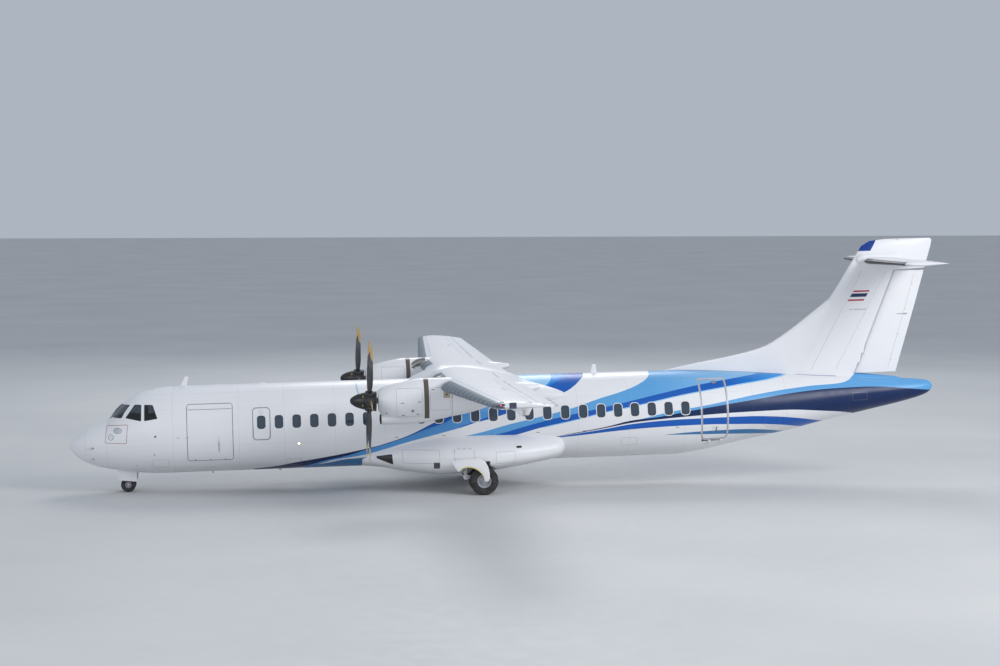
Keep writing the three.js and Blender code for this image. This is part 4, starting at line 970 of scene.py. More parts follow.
# The hollows of the fuselage: first station, last station, step and depth under the skin, then the lowest
# and highest corner of the box that the hollow keeps to
ROOMS = {
    "flight_deck": ((1.13, 3.12, 0.07, 0.05), (1.1, -2, -0.33), (3.2, 2, 2)),
    "hold": ((3.32, 5.30, 0.2, 0.06), (3.3, -2, -0.78), (5.32, 0.6, 0.98)),
    "vestibule": ((18.96, 21.1, 0.15, 0.06), (18.9, -2, -0.59), (21.2, 2, 2)),
}
NOSE_WELL = ((1.33, -0.364, -1.4), (2.36, 0.364, -0.62))
STAIR_WELL = ((19.45, -1.5, -0.72), (20.24, -1.03, -0.5))


def room_cutter(name):
    lining, low, high = ROOMS[name]
    return combined(hull_solid(*lining).object(name), [cutter_block(low, high, name + "_box")], "INTERSECT")


def make_hull():
    nose = hull_solid(0.0, CUTS[0], 0.05, nose=True).object("radome_shell", "hull", sharp=60)
    settle(nose, "airframe", "radome_paint", "radome")

    flight_deck = hull_solid(CUTS[0], CUTS[1], 0.045).object("flight_deck_shell", "hull cabin")
    cutters = [room_cutter("flight_deck"), cutter_block(*NOSE_WELL, "nose_well")]
    for side, _ in SIDES:
        cutters.append(windshield_prism(side, 0.0).object("windshield_cut"))
        for outline in SIDE_PANES.values():
            cutters.append(column(softened(outline, PANE_CORNER), side, *PANE_CUT, "pane_cut"))
    combined(flight_deck, cutters, sharp=28)
    settle(flight_deck, "airframe", "airframe_paint", "cockpit_section")

    cabin = hull_solid(CUTS[1], CUTS[2], 0.17).object("cabin_shell", "hull")
    cutters = [room_cutter("hold"), column(doorway(CARGO), PORT, *DOOR_CUT, "cargo_way")]
    cutters += [window_cutter(window_places(), side, "windows") for side, _ in SIDES]
    cutters.append(column(doorway(HATCH, 0.003), PORT, *HATCH_CUT, "hatch_cut"))
    combined(cabin, cutters, sharp=28)
    settle(cabin, "airframe", "airframe_paint", "fuselage")

    aft = hull_solid(CUTS[2], CUTS[3], 0.1).object("aft_shell", "hull")
    cutters = [
        room_cutter("vestibule"), stair_cutter(0.0),
        *(window_cutter(window_places()[-1:], side, "windows") for side, _ in SIDES),
        column(doorway(SERVICE), STARBOARD, *DOOR_CUT, "service_way"),
        cutter_block(*STAIR_WELL, "stair_well"),
    ]
    combined(aft, cutters, sharp=28)
    settle(aft, "airframe", "airframe_paint", "tail_section")

    cone = hull_solid(CUTS[3], HULL_END, 0.04).object("tail_cone_shell", "hull", sharp=60)
    settle(cone, "airframe", "tail_paint", "tail_cone")


def windshield_outline(grow):
    outline = softened(WINDSHIELD, WINDSHIELD_CORNER)
    return shrunk(outline, -grow) if grow else outline


def windshield_prism(side, grow):
    outline = [(side * y, w) for y, w in windshield_outline(grow)]
    return Shape().prism(outline, *WINDSHIELD_CUT, "s")


def shell_panel(cutter, start, end, outer, inner, step=0.06):
    """The part of the skin, from one depth to another, that lies inside a cutter."""
    made = hull_solid(start, end, step, inward=outer).object("panel")
    core = hull_solid(start - 0.05, end + 0.05, step, inward=inner).object("core")
    combined(made, [core])
    return combined(made, [cutter], "INTERSECT", sharp=28)


def dress(made, name, paints):
    made.name = made.data.name = name
    made.data.materials.clear()
    for paint in paints.split():
        made.data.materials.append(PAINT[paint])
    return made


def make_glass():
    for side, hand in SIDES:
        cutter = windshield_prism(side, -0.002).object("cutter")
        pane = dress(shell_panel(cutter, *WINDSHIELD_SPAN, *PANE_SKIN, 0.03), "windshield_pane_" + hand,
                     "glass")
        settle(pane, "airframe", "cockpit_glass", "windshield_" + hand)
        for place, outline in SIDE_PANES.items():
            cutter = column(shrunk(softened(outline, PANE_CORNER), 0.002), side, *PANE_CUT, "cutter")
            pane = dress(shell_panel(cutter, *SIDE_PANE_SPAN, *PANE_SKIN, 0.04),
                         "side_pane_%s_%s" % (place, hand),
                         "glass")
            settle(pane, "airframe", "cockpit_glass", "side_window_%s_%s" % (place, hand))

        frames = Shape()
        for outline in SIDE_PANES.values():
            skin_band(frames, side, shrunk(softened(outline, PANE_CORNER), -0.028), 0.027, 0.0035, -0.012)
        for outline in SIDE_PANES.values():
            skin_band(frames, side, shrunk(softened(outline, PANE_CORNER), -0.001), 0.012, 0.001, -0.02,
                      paint=1)
        settle(frames.object("side_pane_frames_" + hand, "white seal"), "airframe", "airframe_paint")


def make_windshield_trim():
    """Rubber seals and a raised frame round the two front panes, laid on the skin ahead of them."""
    for side, hand in SIDES:
        trim = Shape()
        for grow, width, proud, sunk, paint in ((0.030, 0.028, 0.004, 0.012, 0),
                                                (0.003, 0.014, 0.001, 0.02, 1)):
            outer = windshield_outline(grow)
            inner = shrunk(outer, width)
            rings = []
            for line, level in ((outer, -sunk), (outer, proud), (inner, proud), (inner, -sunk)):
                rings.append([windshield_point(side, y, w, level) for y, w in line])
            trim.loft(rings, paint, closed=True)
        settle(trim.object("windshield_frame_" + hand, "white seal"), "airframe", "airframe_paint")


# The search for a point of the nose: its first and last station, its halvings, and the span of a slope
NOSE_SEARCH, HALVINGS, NOSE_SLOPE_STEP = (1.0, 2.4), 40, 0.01


def windshield_point(side, y, w, out):
    """The point of the upper nose at a distance from the centreline and a height, or a little off it."""
    low, high = NOSE_SEARCH
    for _ in range(HALVINGS):
        s = (low + high) / 2
        top, _, half, centre, _ = HULL.at(s)
        inside = ((w - centre) / (top - centre)) ** 2 + (y / half) ** 2 < 1
        low, high = (low, s) if inside else (s, high)
    s = (low + high) / 2
    top, _, half, centre, _ = HULL.at(s)
    later_top, _, later_half, later_centre, _ = HULL.at(s + NOSE_SLOPE_STEP)
    grown = (y / later_half) ** 2 + ((w - later_centre) / (later_top - later_centre)) ** 2
    slope = ((grown - 1) / NOSE_SLOPE_STEP / 2, y / half ** 2, (w - centre) / (top - centre) ** 2)
    normal = Vector(slope).normalized() * out
    return (s + normal.x, side * (y + normal.y), w + normal.z)


def make_windows():
    for side, hand in SIDES:
        panes, frames = Shape(), Shape()
        for s in window_places():
            # Each cabin window is an opaque dark pane, which carries painted shade of the cabin behind the
            # glass.
            skin_plate(panes, side, window_outline(s, -0.001), -0.016, -0.024)
            skin_band(frames, side, window_outline(s, 0.022), 0.0225, 0.0022, -0.02)
            skin_band(frames, side, window_outline(s, 0.0), 0.007, -0.002, -0.017, paint=1)
        settle(panes.object("cabin_panes_" + hand, "pane", sharp=40), "airframe", "cockpit_glass")
        settle(frames.object("cabin_window_frames_" + hand, "white seal"), "airframe", "airframe_paint")


def make_doors():
    make_cargo_door()
    make_airstair()
    make_service_door()
    make_hatch()


def make_cargo_door():
    cargo = shell_panel(column(doorway(CARGO, -SLIT), PORT, *DOOR_CUT, "cutter"), *CARGO_SPAN, *DOOR_SKIN)
    dress(cargo, "cargo_door_shell", "hull seal")
    settle(cargo, "cargo_door", "airframe_paint", "cargo_door")
    edge = Shape()
    outline = doorway(CARGO, -SLIT - 0.001)
    skin_band(edge, PORT, outline, 0.004, 0.0008, -0.01)
    skin_band(edge, PORT, rounded(4.545, 4.595, -0.51, -0.03, 0.02), 0.005, 0.0015, -0.008)
    handle(edge, PORT, (4.57, -0.46), (0.0, 0.30), 0.006, 0.004, 0.006, 1)
    skin_plate(edge, PORT, circle(4.576, -0.107, 0.020, 16), 0.003, -0.004, paint=2)
    skin_strip(edge, PORT, [(3.655, 0.79), (4.965, 0.79)], 0.010, 0.0008, paint=3)
    skin_strip(edge, PORT, [(3.655, 0.865), (4.965, 0.865)], 0.120, 0.003, paint=2)
    for s, w in ((3.853, -0.725), (4.302, -0.725), (4.754, -0.725)):
        skin_plate(edge, PORT, circle(s, w, 0.016, 14), 0.002, -0.004, paint=3)
    settle(edge.object("cargo_door_trim", "grey steel white seal"), "cargo_door", "airframe_paint")


def make_airstair():
    stair = shell_panel(stair_cutter(-SLIT), *STAIR_SPAN, *STAIR_SKIN)
    dress(stair, "airstair_shell", "hull")
    settle(stair, "passenger_door", "airframe_paint", "passenger_door")
    steps = Shape()
    for w in (-0.430, -0.170, 0.090, 0.350, 0.610):
        steps.block((19.56, -1.33, w - 0.02), (20.13, -1.04, w + 0.02), 0.006)
        steps.block((19.575, -1.325, w + 0.019), (20.115, -1.06, w + 0.023), 0.001, paint=1)
    for s in (19.545, 20.145):
        steps.block((s - 0.012, -1.30, -0.50), (s + 0.012, -1.10, 0.80), 0.004)
    for s in (19.60, 20.10):
        steps.tube([(s, y, w) for y, w in ((-1.27, -0.40), (-1.08, -0.30), (-1.05, 0.1), (-1.05, 0.55),
                                           (-1.12, 0.80))], 0.013, 12, paint=2)
    steps = steps.object("airstair_steps", "silver black steel")
    combined(steps, [hull_solid(19.2, 20.45, 0.1, inward=0.047).object("inner_skin")], "INTERSECT", sharp=40)
    settle(steps, "passenger_door", "cockpit_trim")
    trim = Shape()
    skin_band(trim, PORT, stair_outline(-SLIT - 0.001), 0.012, 0.002, -0.012)
    skin_band(trim, PORT, rounded(19.78, 19.95, -0.43, -0.25, 0.03), 0.006, 0.0025, -0.008, paint=1)
    handle(trim, PORT, (19.89, -0.42), (0.0, 0.15), 0.022, 0.018, 0.009, 2)
    skin_plate(trim, PORT, rounded(19.84, 19.98, 1.04, 1.12, 0.035), 0.022, -0.004, paint=1)
    settle(trim.object("airstair_trim", "frame steel seal"), "passenger_door", "airframe_paint")
    frame_trim = Shape()
    skin_band(frame_trim, PORT, stair_outline(0.040), 0.0395, 0.0025, -0.012)
    for s in (19.70, 20.10):
        skin_plate(frame_trim, PORT, rounded(s - 0.045, s + 0.045, -0.86, -0.69, 0.02), 0.012, -0.006,
                   paint=1)
        frame_trim.bar(on_skin(PORT, s - 0.03, -0.705, 0.012), on_skin(PORT, s + 0.03, -0.705, 0.012), 0.014,
                       16,
                       paint=1)
    settle(frame_trim.object("airstair_frame", "frame white"), "airframe", "airframe_paint")


def make_service_door():
    way = column(doorway(SERVICE, -SLIT), STARBOARD, *DOOR_CUT, "cutter")
    service = shell_panel(way, *SERVICE_SPAN, *DOOR_SKIN)
    settle(dress(service, "service_door_shell", "hull"), "airframe", "airframe_paint", "service_door")
    trim = Shape()
    skin_band(trim, STARBOARD, doorway(SERVICE, 0.016), 0.012, 0.002, -0.012)
    skin_band(trim, STARBOARD, rounded(19.70, 19.95, 0.20, 0.32, 0.03), 0.006, 0.002, -0.01, paint=1)
    handle(trim, STARBOARD, (19.73, 0.26), (0.19, 0.0), 0.012, 0.008, 0.007, 1)
    settle(trim.object("service_door_trim", "line steel"), "airframe", "airframe_paint")


def make_hatch():
    """The emergency hatch round the first window, with the thin outlines on the skin of the port doors."""
    outlines = Shape()
    skin_band(outlines, PORT, doorway(CARGO, 0.006), 0.005, 0.0008, -0.01)
    skin_band(outlines, PORT, doorway(HATCH, 0.026), 0.022, 0.0012, -0.01)
    skin_band(outlines, PORT, rounded(5.80, 5.92, 0.62, 0.70, 0.02), 0.005, 0.0015, -0.008)
    settle(outlines.object("door_outlines", "line"), "airframe", "airframe_paint")
    hatch = Shape()
    hatch_ring(hatch, doorway(HATCH, -0.002), window_outline(WINDOW_KNOTS[0][1]))
    settle(hatch.object("hatch_panel", "hull"), "airframe", "airframe_paint")


def hatch_ring(shape, outer, inner):
    """The hatch's skin between its edge and its window, by rings with their points in the same directions."""
    middle = (WINDOW_KNOTS[0][1], CABIN_WINDOWS["height"])
    thick, spokes = 0.02, 72

    def farthest(outline, angle):
        return max(outline, key=lambda p: math.cos(math.atan2(p[1] - middle[1], p[0] - middle[0]) - angle))

    rings = []
    for line, level in ((outer, -thick), (outer, 0.0), (inner, 0.0), (inner, -thick)):
        fine = refined(line, 0.01)
        rings.append([on_skin(PORT, *farthest(fine, a), level) for a in angles(spokes)])
    shape.loft(rings, closed=True)


# Wings: distance from the centreline, leading edge, chord, height of the leading edge, thickness, washout
WING = (
    (0.000, 11.060, 2.580, 1.530, 0.180, 0.060), (4.700, 11.080, 2.560, 1.535, 0.180, 0.060),
    (13.200, 11.680, 1.630, 1.775, 0.130, 0.030), (13.440, 11.770, 1.500, 1.785, 0.105, 0.030),
    (13.525, 11.920, 1.280, 1.790, 0.050, 0.030),
)
CAMBER = 0.02
WING_JOINT = 4.70
HINGE_GAP = 0.010
# Controls: inner end, outer end, hinge as a share of the chord, gap beside each end
CONTROLS = {
    "flap_inboard": (1.568, 3.552, 0.75, 0.016), "flap_outboard": (4.768, 9.692, 0.75, 0.016),
    "aileron": (9.740, 13.120, 0.76, 0.008),
}
HANGERS = {"flap_inboard": (0.12, 0.88), "flap_outboard": (0.08, 0.50, 0.94)}
PIVOT_DROP, PIVOT_AFT = 0.430, 0.050
# Shares of the chord at which a section is drawn, closer together at both edges
FINE = [0.5 - 0.5 * math.cos(math.pi * i / 22) for i in range(23)]


# The usual polynomial for half of a section's thickness, and the thickness that its trailing edge keeps
SECTION = (0.2969, -0.126, -0.3516, 0.2843, -0.1036)
TRAILING_EDGE = 0.004


def half_thickness(x, chord, thickness):
    root, first, second, third, fourth = SECTION
    curve = root * math.sqrt(x) + first * x + second * x**2 + third * x**3 + fourth * x**4
    return 5 * thickness * chord * curve + TRAILING_EDGE * x


def foil(y, x, sign, grow=0.0):
    """A point of the wing's upper (1) or lower (-1) side, as (station, height), at a share x of the chord."""
    _, leading, chord, height, thickness, washout = straight(WING, abs(y))
    middle = height - washout * x + CAMBER * 4 * x * (1 - x) * chord
    return (leading + chord * x - (grow if x == 0 else 0),
            middle + sign * (half_thickness(x, chord, thickness) + grow))


def foil_ring(y, side, point=foil):
    """A whole section: the upper side from the back, then the lower side."""
    ring = [point(y, x, 1) for x in reversed(FINE)] + [point(y, x, -1) for x in FINE[1:]]
    return [(s, side * y, w) for s, w in ring]


def hinge_place(y, share, point=foil):
    """Station and height of a hinge in the middle of the section, and the section's half thickness there."""
    top, bottom = point(y, share, 1), point(y, share, -1)
    return top[0], (top[1] + bottom[1]) / 2, (top[1] - bottom[1]) / 2


def control_ring(y, side, share, point=foil):
    """A section of a moving surface, rounded ahead about its hinge."""
    s, w, radius = hinge_place(y, share, point)
    xs = [share + (1 - share) * (1 - (1 - f) ** 1.3) for f in spaced(0.0, 1.0, 0.125)]
    upper = [point(y, x, 1) for x in reversed(xs)]
    lower = [point(y, x, -1) for x in xs]
    arc = [(s + radius * math.cos(a), w + radius * math.sin(a))
           for a in (math.radians(90 + 15 * i) for i in range(1, 12))]
    return [(a, side * y, b) for a, b in upper + arc + lower]


WING_CUT = {"behind": 15.5, "low": 0.9, "high": 2.3}
TAIL_CUT = {"behind": 28.0, "low": 4.3, "high": 5.1}


def control_cutter(side, start, end, share, gap, cut, point=foil):
    """The bay of a moving surface, from just ahead of its nose back through the trailing edge."""
    front = []
    for y in (start, end):
        s, _, radius = hinge_place(y, share, point)
        front.append(s - radius - HINGE_GAP)
    start, end = side * (start - gap), side * (end + gap)
    outline = [(front[0], start), (front[1], end), (cut["behind"], end), (cut["behind"], start)]
    return Shape().prism(outline, cut["low"], cut["high"], "w").object("cut")


def flap_pivot(y, share):
    """Station and height of the pin on which a flap swings, below and behind its nose."""
    s, w, radius = hinge_place(y, share)
    return s + PIVOT_AFT, w - radius - PIVOT_DROP


def blade_plate(shape, outline, y, thick, paint=0):
    """A flat fairing with rounded edges, standing along the airstream."""
    inner = shrunk(outline, min(thick * 0.45, 0.016))
    rings = [[(s, y + d, w) for s, w in line] for line, d in
             ((inner, -thick / 2), (outline, -thick * 0.22), (outline, thick * 0.22), (inner, thick / 2))]
    return shape.loft(rings, paint)


def make_wings():
    centre = Shape()
    centre.loft([foil_ring(abs(y), -1 if y < 0 else 1) for y in spaced(-WING_JOINT, WING_JOINT, 1.175)])
    centre = centre.object("wing_centre_shell", "white", sharp=50)
    combined(centre, [control_cutter(side, *CONTROLS["flap_inboard"], WING_CUT) for side, _ in SIDES],
             sharp=40)
    settle(centre, "airframe", "airframe_paint", "wing_centre")
    for side, hand in SIDES:
        places = spaced(WING_JOINT + 0.001, 13.2, 0.85) + [13.28, 13.36, 13.44, 13.475, 13.505, 13.521]
        outer = Shape().loft([foil_ring(y, side) for y in places])
        outer = outer.object("outer_wing_shell_" + hand, "white", sharp=50)
        cuts = [control_cutter(side, *CONTROLS[kind], WING_CUT) for kind in ("flap_outboard", "aileron")]
        combined(outer, cuts, sharp=40)
        settle(outer, "airframe", "airframe_paint", "outer_wing_" + hand)
        make_controls(side, hand)
        make_hangers(side, hand)
        make_boots(side, hand)
        make_tip(side, hand)
        make_wing_marks(side, hand)


def make_controls(side, hand):
    """The moving surfaces of one wing; those that are flaps have their lugs below them."""
    for kind, (start, end, share, _) in CONTROLS.items():
        name = "%s_%s" % (kind, hand)
        body = Shape().loft([control_ring(y, side, share) for y in spaced(start, end, 0.9)])
        if kind == "aileron":
            for y in (10.9, 12.3):
                s, w = foil(y, 1.0, -1)
                body.bar((s - 0.20, side * y, w + 0.005), (s - 0.02, side * y, w + 0.006), 0.012, 12, 0.005)
        else:
            for part in HANGERS[kind]:
                y = start + (end - start) * part
                ps, pw = flap_pivot(y, share)
                s, w, _ = hinge_place(y, share)
                rear = foil(y, 0.93, -1)
                lug = [(ps - 0.030, pw - 0.030), (ps + 0.070, pw - 0.030), (rear[0], rear[1] + 0.015),
                       (s + 0.16, w), (s, w), (ps - 0.030, pw + 0.120)]
                blade_plate(body, softened(lug, 0.02, 4), side * (y + 0.030), 0.05)
                sole = [(ps - 0.026, pw - 0.031), (ps + 0.066, pw - 0.031), (ps + 0.080, pw - 0.012),
                        (ps - 0.026, pw - 0.012)]
                blade_plate(body, softened(sole, 0.006, 3), side * (y + 0.030), 0.053, paint=1)
        settle(body.object(name + "_surface", "white seal", sharp=50), name, "airframe_paint", name)


def make_hangers(side, hand):
    """The deep plates under the wing that carry the flaps' pins."""
    for kind, parts in HANGERS.items():
        start, end, share, _ = CONTROLS[kind]
        hanger = Shape()
        for part in parts:
            y = start + (end - start) * part
            ps, pw = flap_pivot(y, share)
            root, rear = foil(y, 0.36, -1), foil(y, 0.69, -1)
            outline = [
                (root[0], root[1] + 0.06), (ps - 0.07, pw - 0.045), (ps + 0.04, pw - 0.045),
                (ps + 0.050, pw + 0.025), (ps - 0.04, pw + 0.12), (rear[0], rear[1] + 0.05),
            ]
            blade_plate(hanger, softened(outline, 0.02, 4), side * (y - 0.039), 0.07)
            sole = [(ps - 0.085, pw - 0.046), (ps + 0.038, pw - 0.046), (ps + 0.044, pw - 0.010),
                    (ps - 0.080, pw - 0.020)]
            blade_plate(hanger, softened(sole, 0.008, 3), side * (y - 0.039), 0.073, paint=1)
            hanger.bar((ps, side * (y - 0.078), pw), (ps, side * (y + 0.022), pw), 0.014, 16, paint=2)
        settle(hanger.object("flap_hangers_%s_%s" % (kind, hand), "white seal steel"),
               "airframe", "airframe_paint")


# De-icing boots: where they start and end along the span, their height, and their depth under the skin
BOOTS = ((1.62, 3.42), (4.74, 13.16))
BOOT_PROUD, BOOT_SUNK = 0.003, 0.006
BOOT_SHARES = (0.0, 0.002, 0.006, 0.012, 0.02, 0.03, 0.045, 0.06)


def boot_ring(y, side, grow, point=foil, upper=0.110, lower=0.06):
    """A section of a boot or cover round the leading edge, back to a share of the chord above and below."""
    ups = [x * upper / BOOT_SHARES[-1] for x in reversed(BOOT_SHARES)]
    downs = [x * lower / BOOT_SHARES[-1] for x in BOOT_SHARES[1:]]
    outer = [point(y, x, 1, grow if x < ups[0] else 0.0) for x in ups]
    outer += [point(y, x, -1, grow if x < downs[-1] else 0.0) for x in downs]
    inner = [point(y, x, 1, -BOOT_SUNK) for x in ups] + [point(y, x, -1, -BOOT_SUNK) for x in downs]
    return [(s, side * y, w) for s, w in outer + inner[::-1]]


def make_boots(side, hand):
    boots = Shape()
    for start, end in BOOTS:
        places = [start, start + 0.004] + spaced(start + 0.4, end - 0.4, 0.5) + [end - 0.004, end]
        boots.loft([boot_ring(y, side, 0.0 if y in (start, end) else BOOT_PROUD) for y in places])
    settle(boots.object("wing_boots_" + hand, "boot", sharp=60), "airframe", "airframe_paint")


TIP_PLACES = (13.20, 13.27, 13.34, 13.41, 13.44, 13.475, 13.505, 13.525)
TIP_LAMP = (11.90, 13.455, 1.80)
LENS_END = 11.99
COVER_PROUD = 0.004


def tip_patch(y, side, start, end):
    """A ring round the tip's edge between two stations, for a cover set into it."""
    leading, chord = straight(WING, y)[1:3]
    xs = [max((s - leading) / chord, 0.0) for s in spaced(start, end, 0.03)]
    outer = [foil(y, x, 1, COVER_PROUD) for x in xs] + [foil(y, x, -1, COVER_PROUD) for x in reversed(xs)]
    return [(s, side * y, w) for s, w in outer]


def make_tip(side, hand):
    make_tip_lamp(side, hand)
    wicks = Shape()
    for y in (10.4, 11.2, 12.0, 12.6, 13.0):
        s, w = foil(y, 1.0, 1)
        wicks.bar((s - 0.05, side * y, w), (s + 0.09, side * y, w - 0.004), 0.005, 8, 0.003)
    settle(wicks.object("aileron_wicks_" + hand, "black"), "aileron_" + hand, "cockpit_trim")
    tip = Shape()
    for y in (13.30, 13.46):
        s, w = foil(y, 1.0, 1)
        tip.bar((s - 0.06, side * y, w), (s + 0.08, side * y, w - 0.004), 0.005, 8, 0.003)
    for share, length in ((0.55, 0.16), (0.8, 0.10)):
        s, w = foil(13.44, share, 1)
        y = side * 13.40
        tip.block((s - length / 2, y - 0.03, w - 0.02), (s + length / 2, y + 0.03, w + 0.008), 0.004)
    settle(tip.object("tip_fittings_" + hand, "grey"), "airframe", "cockpit_trim")


def make_tip_lamp(side, hand):
    lamp = Shape()
    rings = []
    for y in TIP_PLACES:
        leading, chord = straight(WING, y)[1:3]
        share = (LENS_END - leading) / chord
        rings.append(boot_ring(y, side, COVER_PROUD, upper=share, lower=share))
    lamp.loft(rings)
    lamp.loft([tip_patch(y, side, 12.10, 12.28) for y in TIP_PLACES[3:]])
    settle(lamp.object("tip_lamp_cover_" + hand, "smoked", sharp=70), "airframe", "cockpit_glass")
    bulb = Shape()
    s, y, w = TIP_LAMP
    bulb.lathe([(0.0, -0.045), (0.024, -0.036), (0.036, -0.010), (0.036, 0.015), (0.022, 0.040),
                (0.0, 0.046)],
               (s, side * y, w), (0, side, 0), 20, loop=False)
    settle(bulb.object("tip_lamp_" + hand, "red_lamp" if side == PORT else "green_lamp"),
           "airframe", "cockpit_glass")


def wing_strip(shape, side, route, width, out, sign=1, paint=0):
    """A flat strip over the wing's upper or lower side, along a route of (y, share of chord)."""
    rings = []
    for i, (y, x) in enumerate(route):
        before, after = route[max(i - 1, 0)], route[min(i + 1, len(route) - 1)]
        chord = straight(WING, y)[2]
        a, b = foil(before[0], before[1], sign), foil(after[0], after[1], sign)
        along = Vector((b[0] - a[0], after[0] - before[0])).normalized()
        off = Vector((-along.y, along.x)) * width / 2
        ring = []
        for turn, level in ((1, -0.004), (1, out), (-1, out), (-1, -0.004)):
            py, px = y + turn * off.y, x + turn * off.x / chord
            s, w = foil(py, px, sign)
            ring.append((s, side * py, w + sign * level))
        rings.append(ring)
    return shape.loft(rings, paint)


def make_wing_marks(side, hand):
    """Panel joints, access plates, fuel caps and a row of short vents on the wing."""
    marks = Shape()
    for x in (0.17, 0.60):
        for sign in (1, -1):
            wing_strip(marks, side, [(y, x) for y in spaced(4.8, 13.1, 0.8)], 0.008, 0.0006, sign)
    for y in (4.80, 6.4, 8.0, 9.72, 11.4, 13.14):
        for sign in (1, -1):
            wing_strip(marks, side, [(y, x) for x in spaced(0.08, 0.72, 0.08)], 0.007, 0.0006, sign)
    for i in range(6):
        y = 8.5 + i * 0.16
        wing_strip(marks, side, [(y, 0.50), (y, 0.545)], 0.030, 0.0012, paint=1)
    for y in (5.6, 7.2, 8.8, 10.4):
        ring = [(y + 0.20 * math.cos(a), 0.36 + 0.055 * math.sin(a)) for a in angles(28)]
        plate = [[], []]
        for k, level in enumerate((-0.003, 0.0012)):
            for py, px in ring:
                s, w = foil(py, px, -1)
                plate[k].append((s, side * py, w - level))
        marks.loft(plate, paint=2)
    for y in (10.9, 12.2):
        s, w = foil(y, 0.30, 1)
        marks.lathe([(0.0, -0.004), (0.055, -0.004), (0.055, 0.0015), (0.0, 0.0018)],
                    (s, side * y, w + 0.001),
                    (0, 0, 1), 28, paint=2, loop=False)
    settle(marks.object("wing_marks_" + hand, "line grey white", sharp=50), "airframe", "airframe_paint")


# The fairings over the wing's root and round the main gear, in the fuselage's columns
ROOF_FAIRING = Rows((
    (10.350, 1.380, 0.900, 0.700, 1.000, 2.0), (10.900, 1.640, 0.800, 1.330, 1.000, 2.0),
    (11.500, 1.830, 0.700, 1.500, 1.000, 2.0), (12.300, 1.815, 0.700, 1.500, 1.000, 2.0),
    (12.800, 1.740, 0.680, 1.500, 0.980, 2.3), (13.300, 1.620, 0.620, 1.480, 0.940, 3.0),
    (13.640, 1.515, 0.620, 1.440, 0.910, 3.5), (13.900, 1.399, 0.630, 1.415, 0.900, 4.0),
    (14.360, 1.293, 0.616, 1.340, 0.900, 4.0), (14.650, 1.236, 0.617, 1.290, 0.880, 4.0),
    (15.040, 1.133, 0.681, 1.220, 0.860, 4.0), (15.240, 1.010, 0.760, 1.175, 0.860, 4.0),
    (15.300, 0.950, 0.800, 1.152, 0.860, 4.0),
))
BELLY_FAIRING = Rows((
    (8.900, -0.640, -1.190, 1.050, -0.880, 2.4), (9.500, -0.460, -1.240, 1.440, -0.860, 2.6),
    (10.300, -0.260, -1.380, 1.820, -0.860, 2.8), (11.450, -0.120, -1.470, 2.220, -0.880, 3.0),
    (12.600, -0.110, -1.420, 2.320, -0.860, 3.0), (13.600, -0.120, -1.310, 2.150, -0.820, 2.8),
    (14.600, -0.100, -1.170, 1.780, -0.780, 2.6), (14.980, -0.130, -1.100, 1.600, -0.700, 2.4),
    (15.160, -0.400, -1.000, 1.230, -0.640, 2.2),
))
# The middle of the main wheels' axle, and the room round the wheels
MAIN_S, MAIN_Y, MAIN_W, MAIN_R = 12.5176, 2.05, -1.5529, 0.432
WHEEL_ROOM = 0.06


def on_side(side, low, high):
    """The corners of a box that is given for starboard, on either side."""
    near, far = sorted((side * low[1], side * high[1]))
    return (low[0], near, low[2]), (high[0], far, high[2])


def make_fairings():
    roof = Shape().loft([hull_ring(s, rows=ROOF_FAIRING) for s in spaced(10.35, 15.3, 0.06)])
    settle(roof.object("wing_root_fairing", "white", sharp=60), "airframe", "airframe_paint", "wing_fairing")
    belly = Shape().loft([hull_ring(s, count=160, rows=BELLY_FAIRING) for s in spaced(8.9, 15.16, 0.06)])
    belly = belly.object("gear_fairing_shell", "belly dark")
    cutters = []
    for side, _ in SIDES:
        arch = Shape().bar((MAIN_S, side * 1.64, MAIN_W), (MAIN_S, side * 2.60, MAIN_W), MAIN_R + WHEEL_ROOM,
                           64)
        well = on_side(side, (MAIN_S - 0.63, 1.5, -1.6), (MAIN_S + 0.20, 2.6, -0.96))
        cutters += [arch.object("arch"), cutter_block(*well, "well")]
    combined(belly, cutters, sharp=30)
    settle(belly, "airframe", "airframe_paint", "gear_fairing")
    trim = Shape()
    for side, _ in SIDES:
        scoop = [(9.32, -0.802), (9.79, -0.735), (9.82, -1.054), (9.33, -0.866)]
        skin_plate(trim, side, softened(scoop, 0.03), 0.004, -0.02, rows=BELLY_FAIRING)
        skin_plate(trim, side, rounded(13.55, 13.72, -0.62, -0.56, 0.028), 0.003, -0.01, rows=BELLY_FAIRING)
        skin_band(trim, side, rounded(11.64, 12.25, -0.90, -0.60, 0.03), 0.006, 0.0015, -0.01, paint=1,
                  rows=BELLY_FAIRING)
        for panel in ((12.9, 13.5, -1.05, -0.70), (10.1, 11.2, -1.0, -0.60)):
            skin_band(trim, side, rounded(*panel, 0.03), 0.006, 0.0012, -0.01, paint=1, rows=BELLY_FAIRING)
    settle(trim.object("fairing_details", "black line"), "airframe", "airframe_paint")


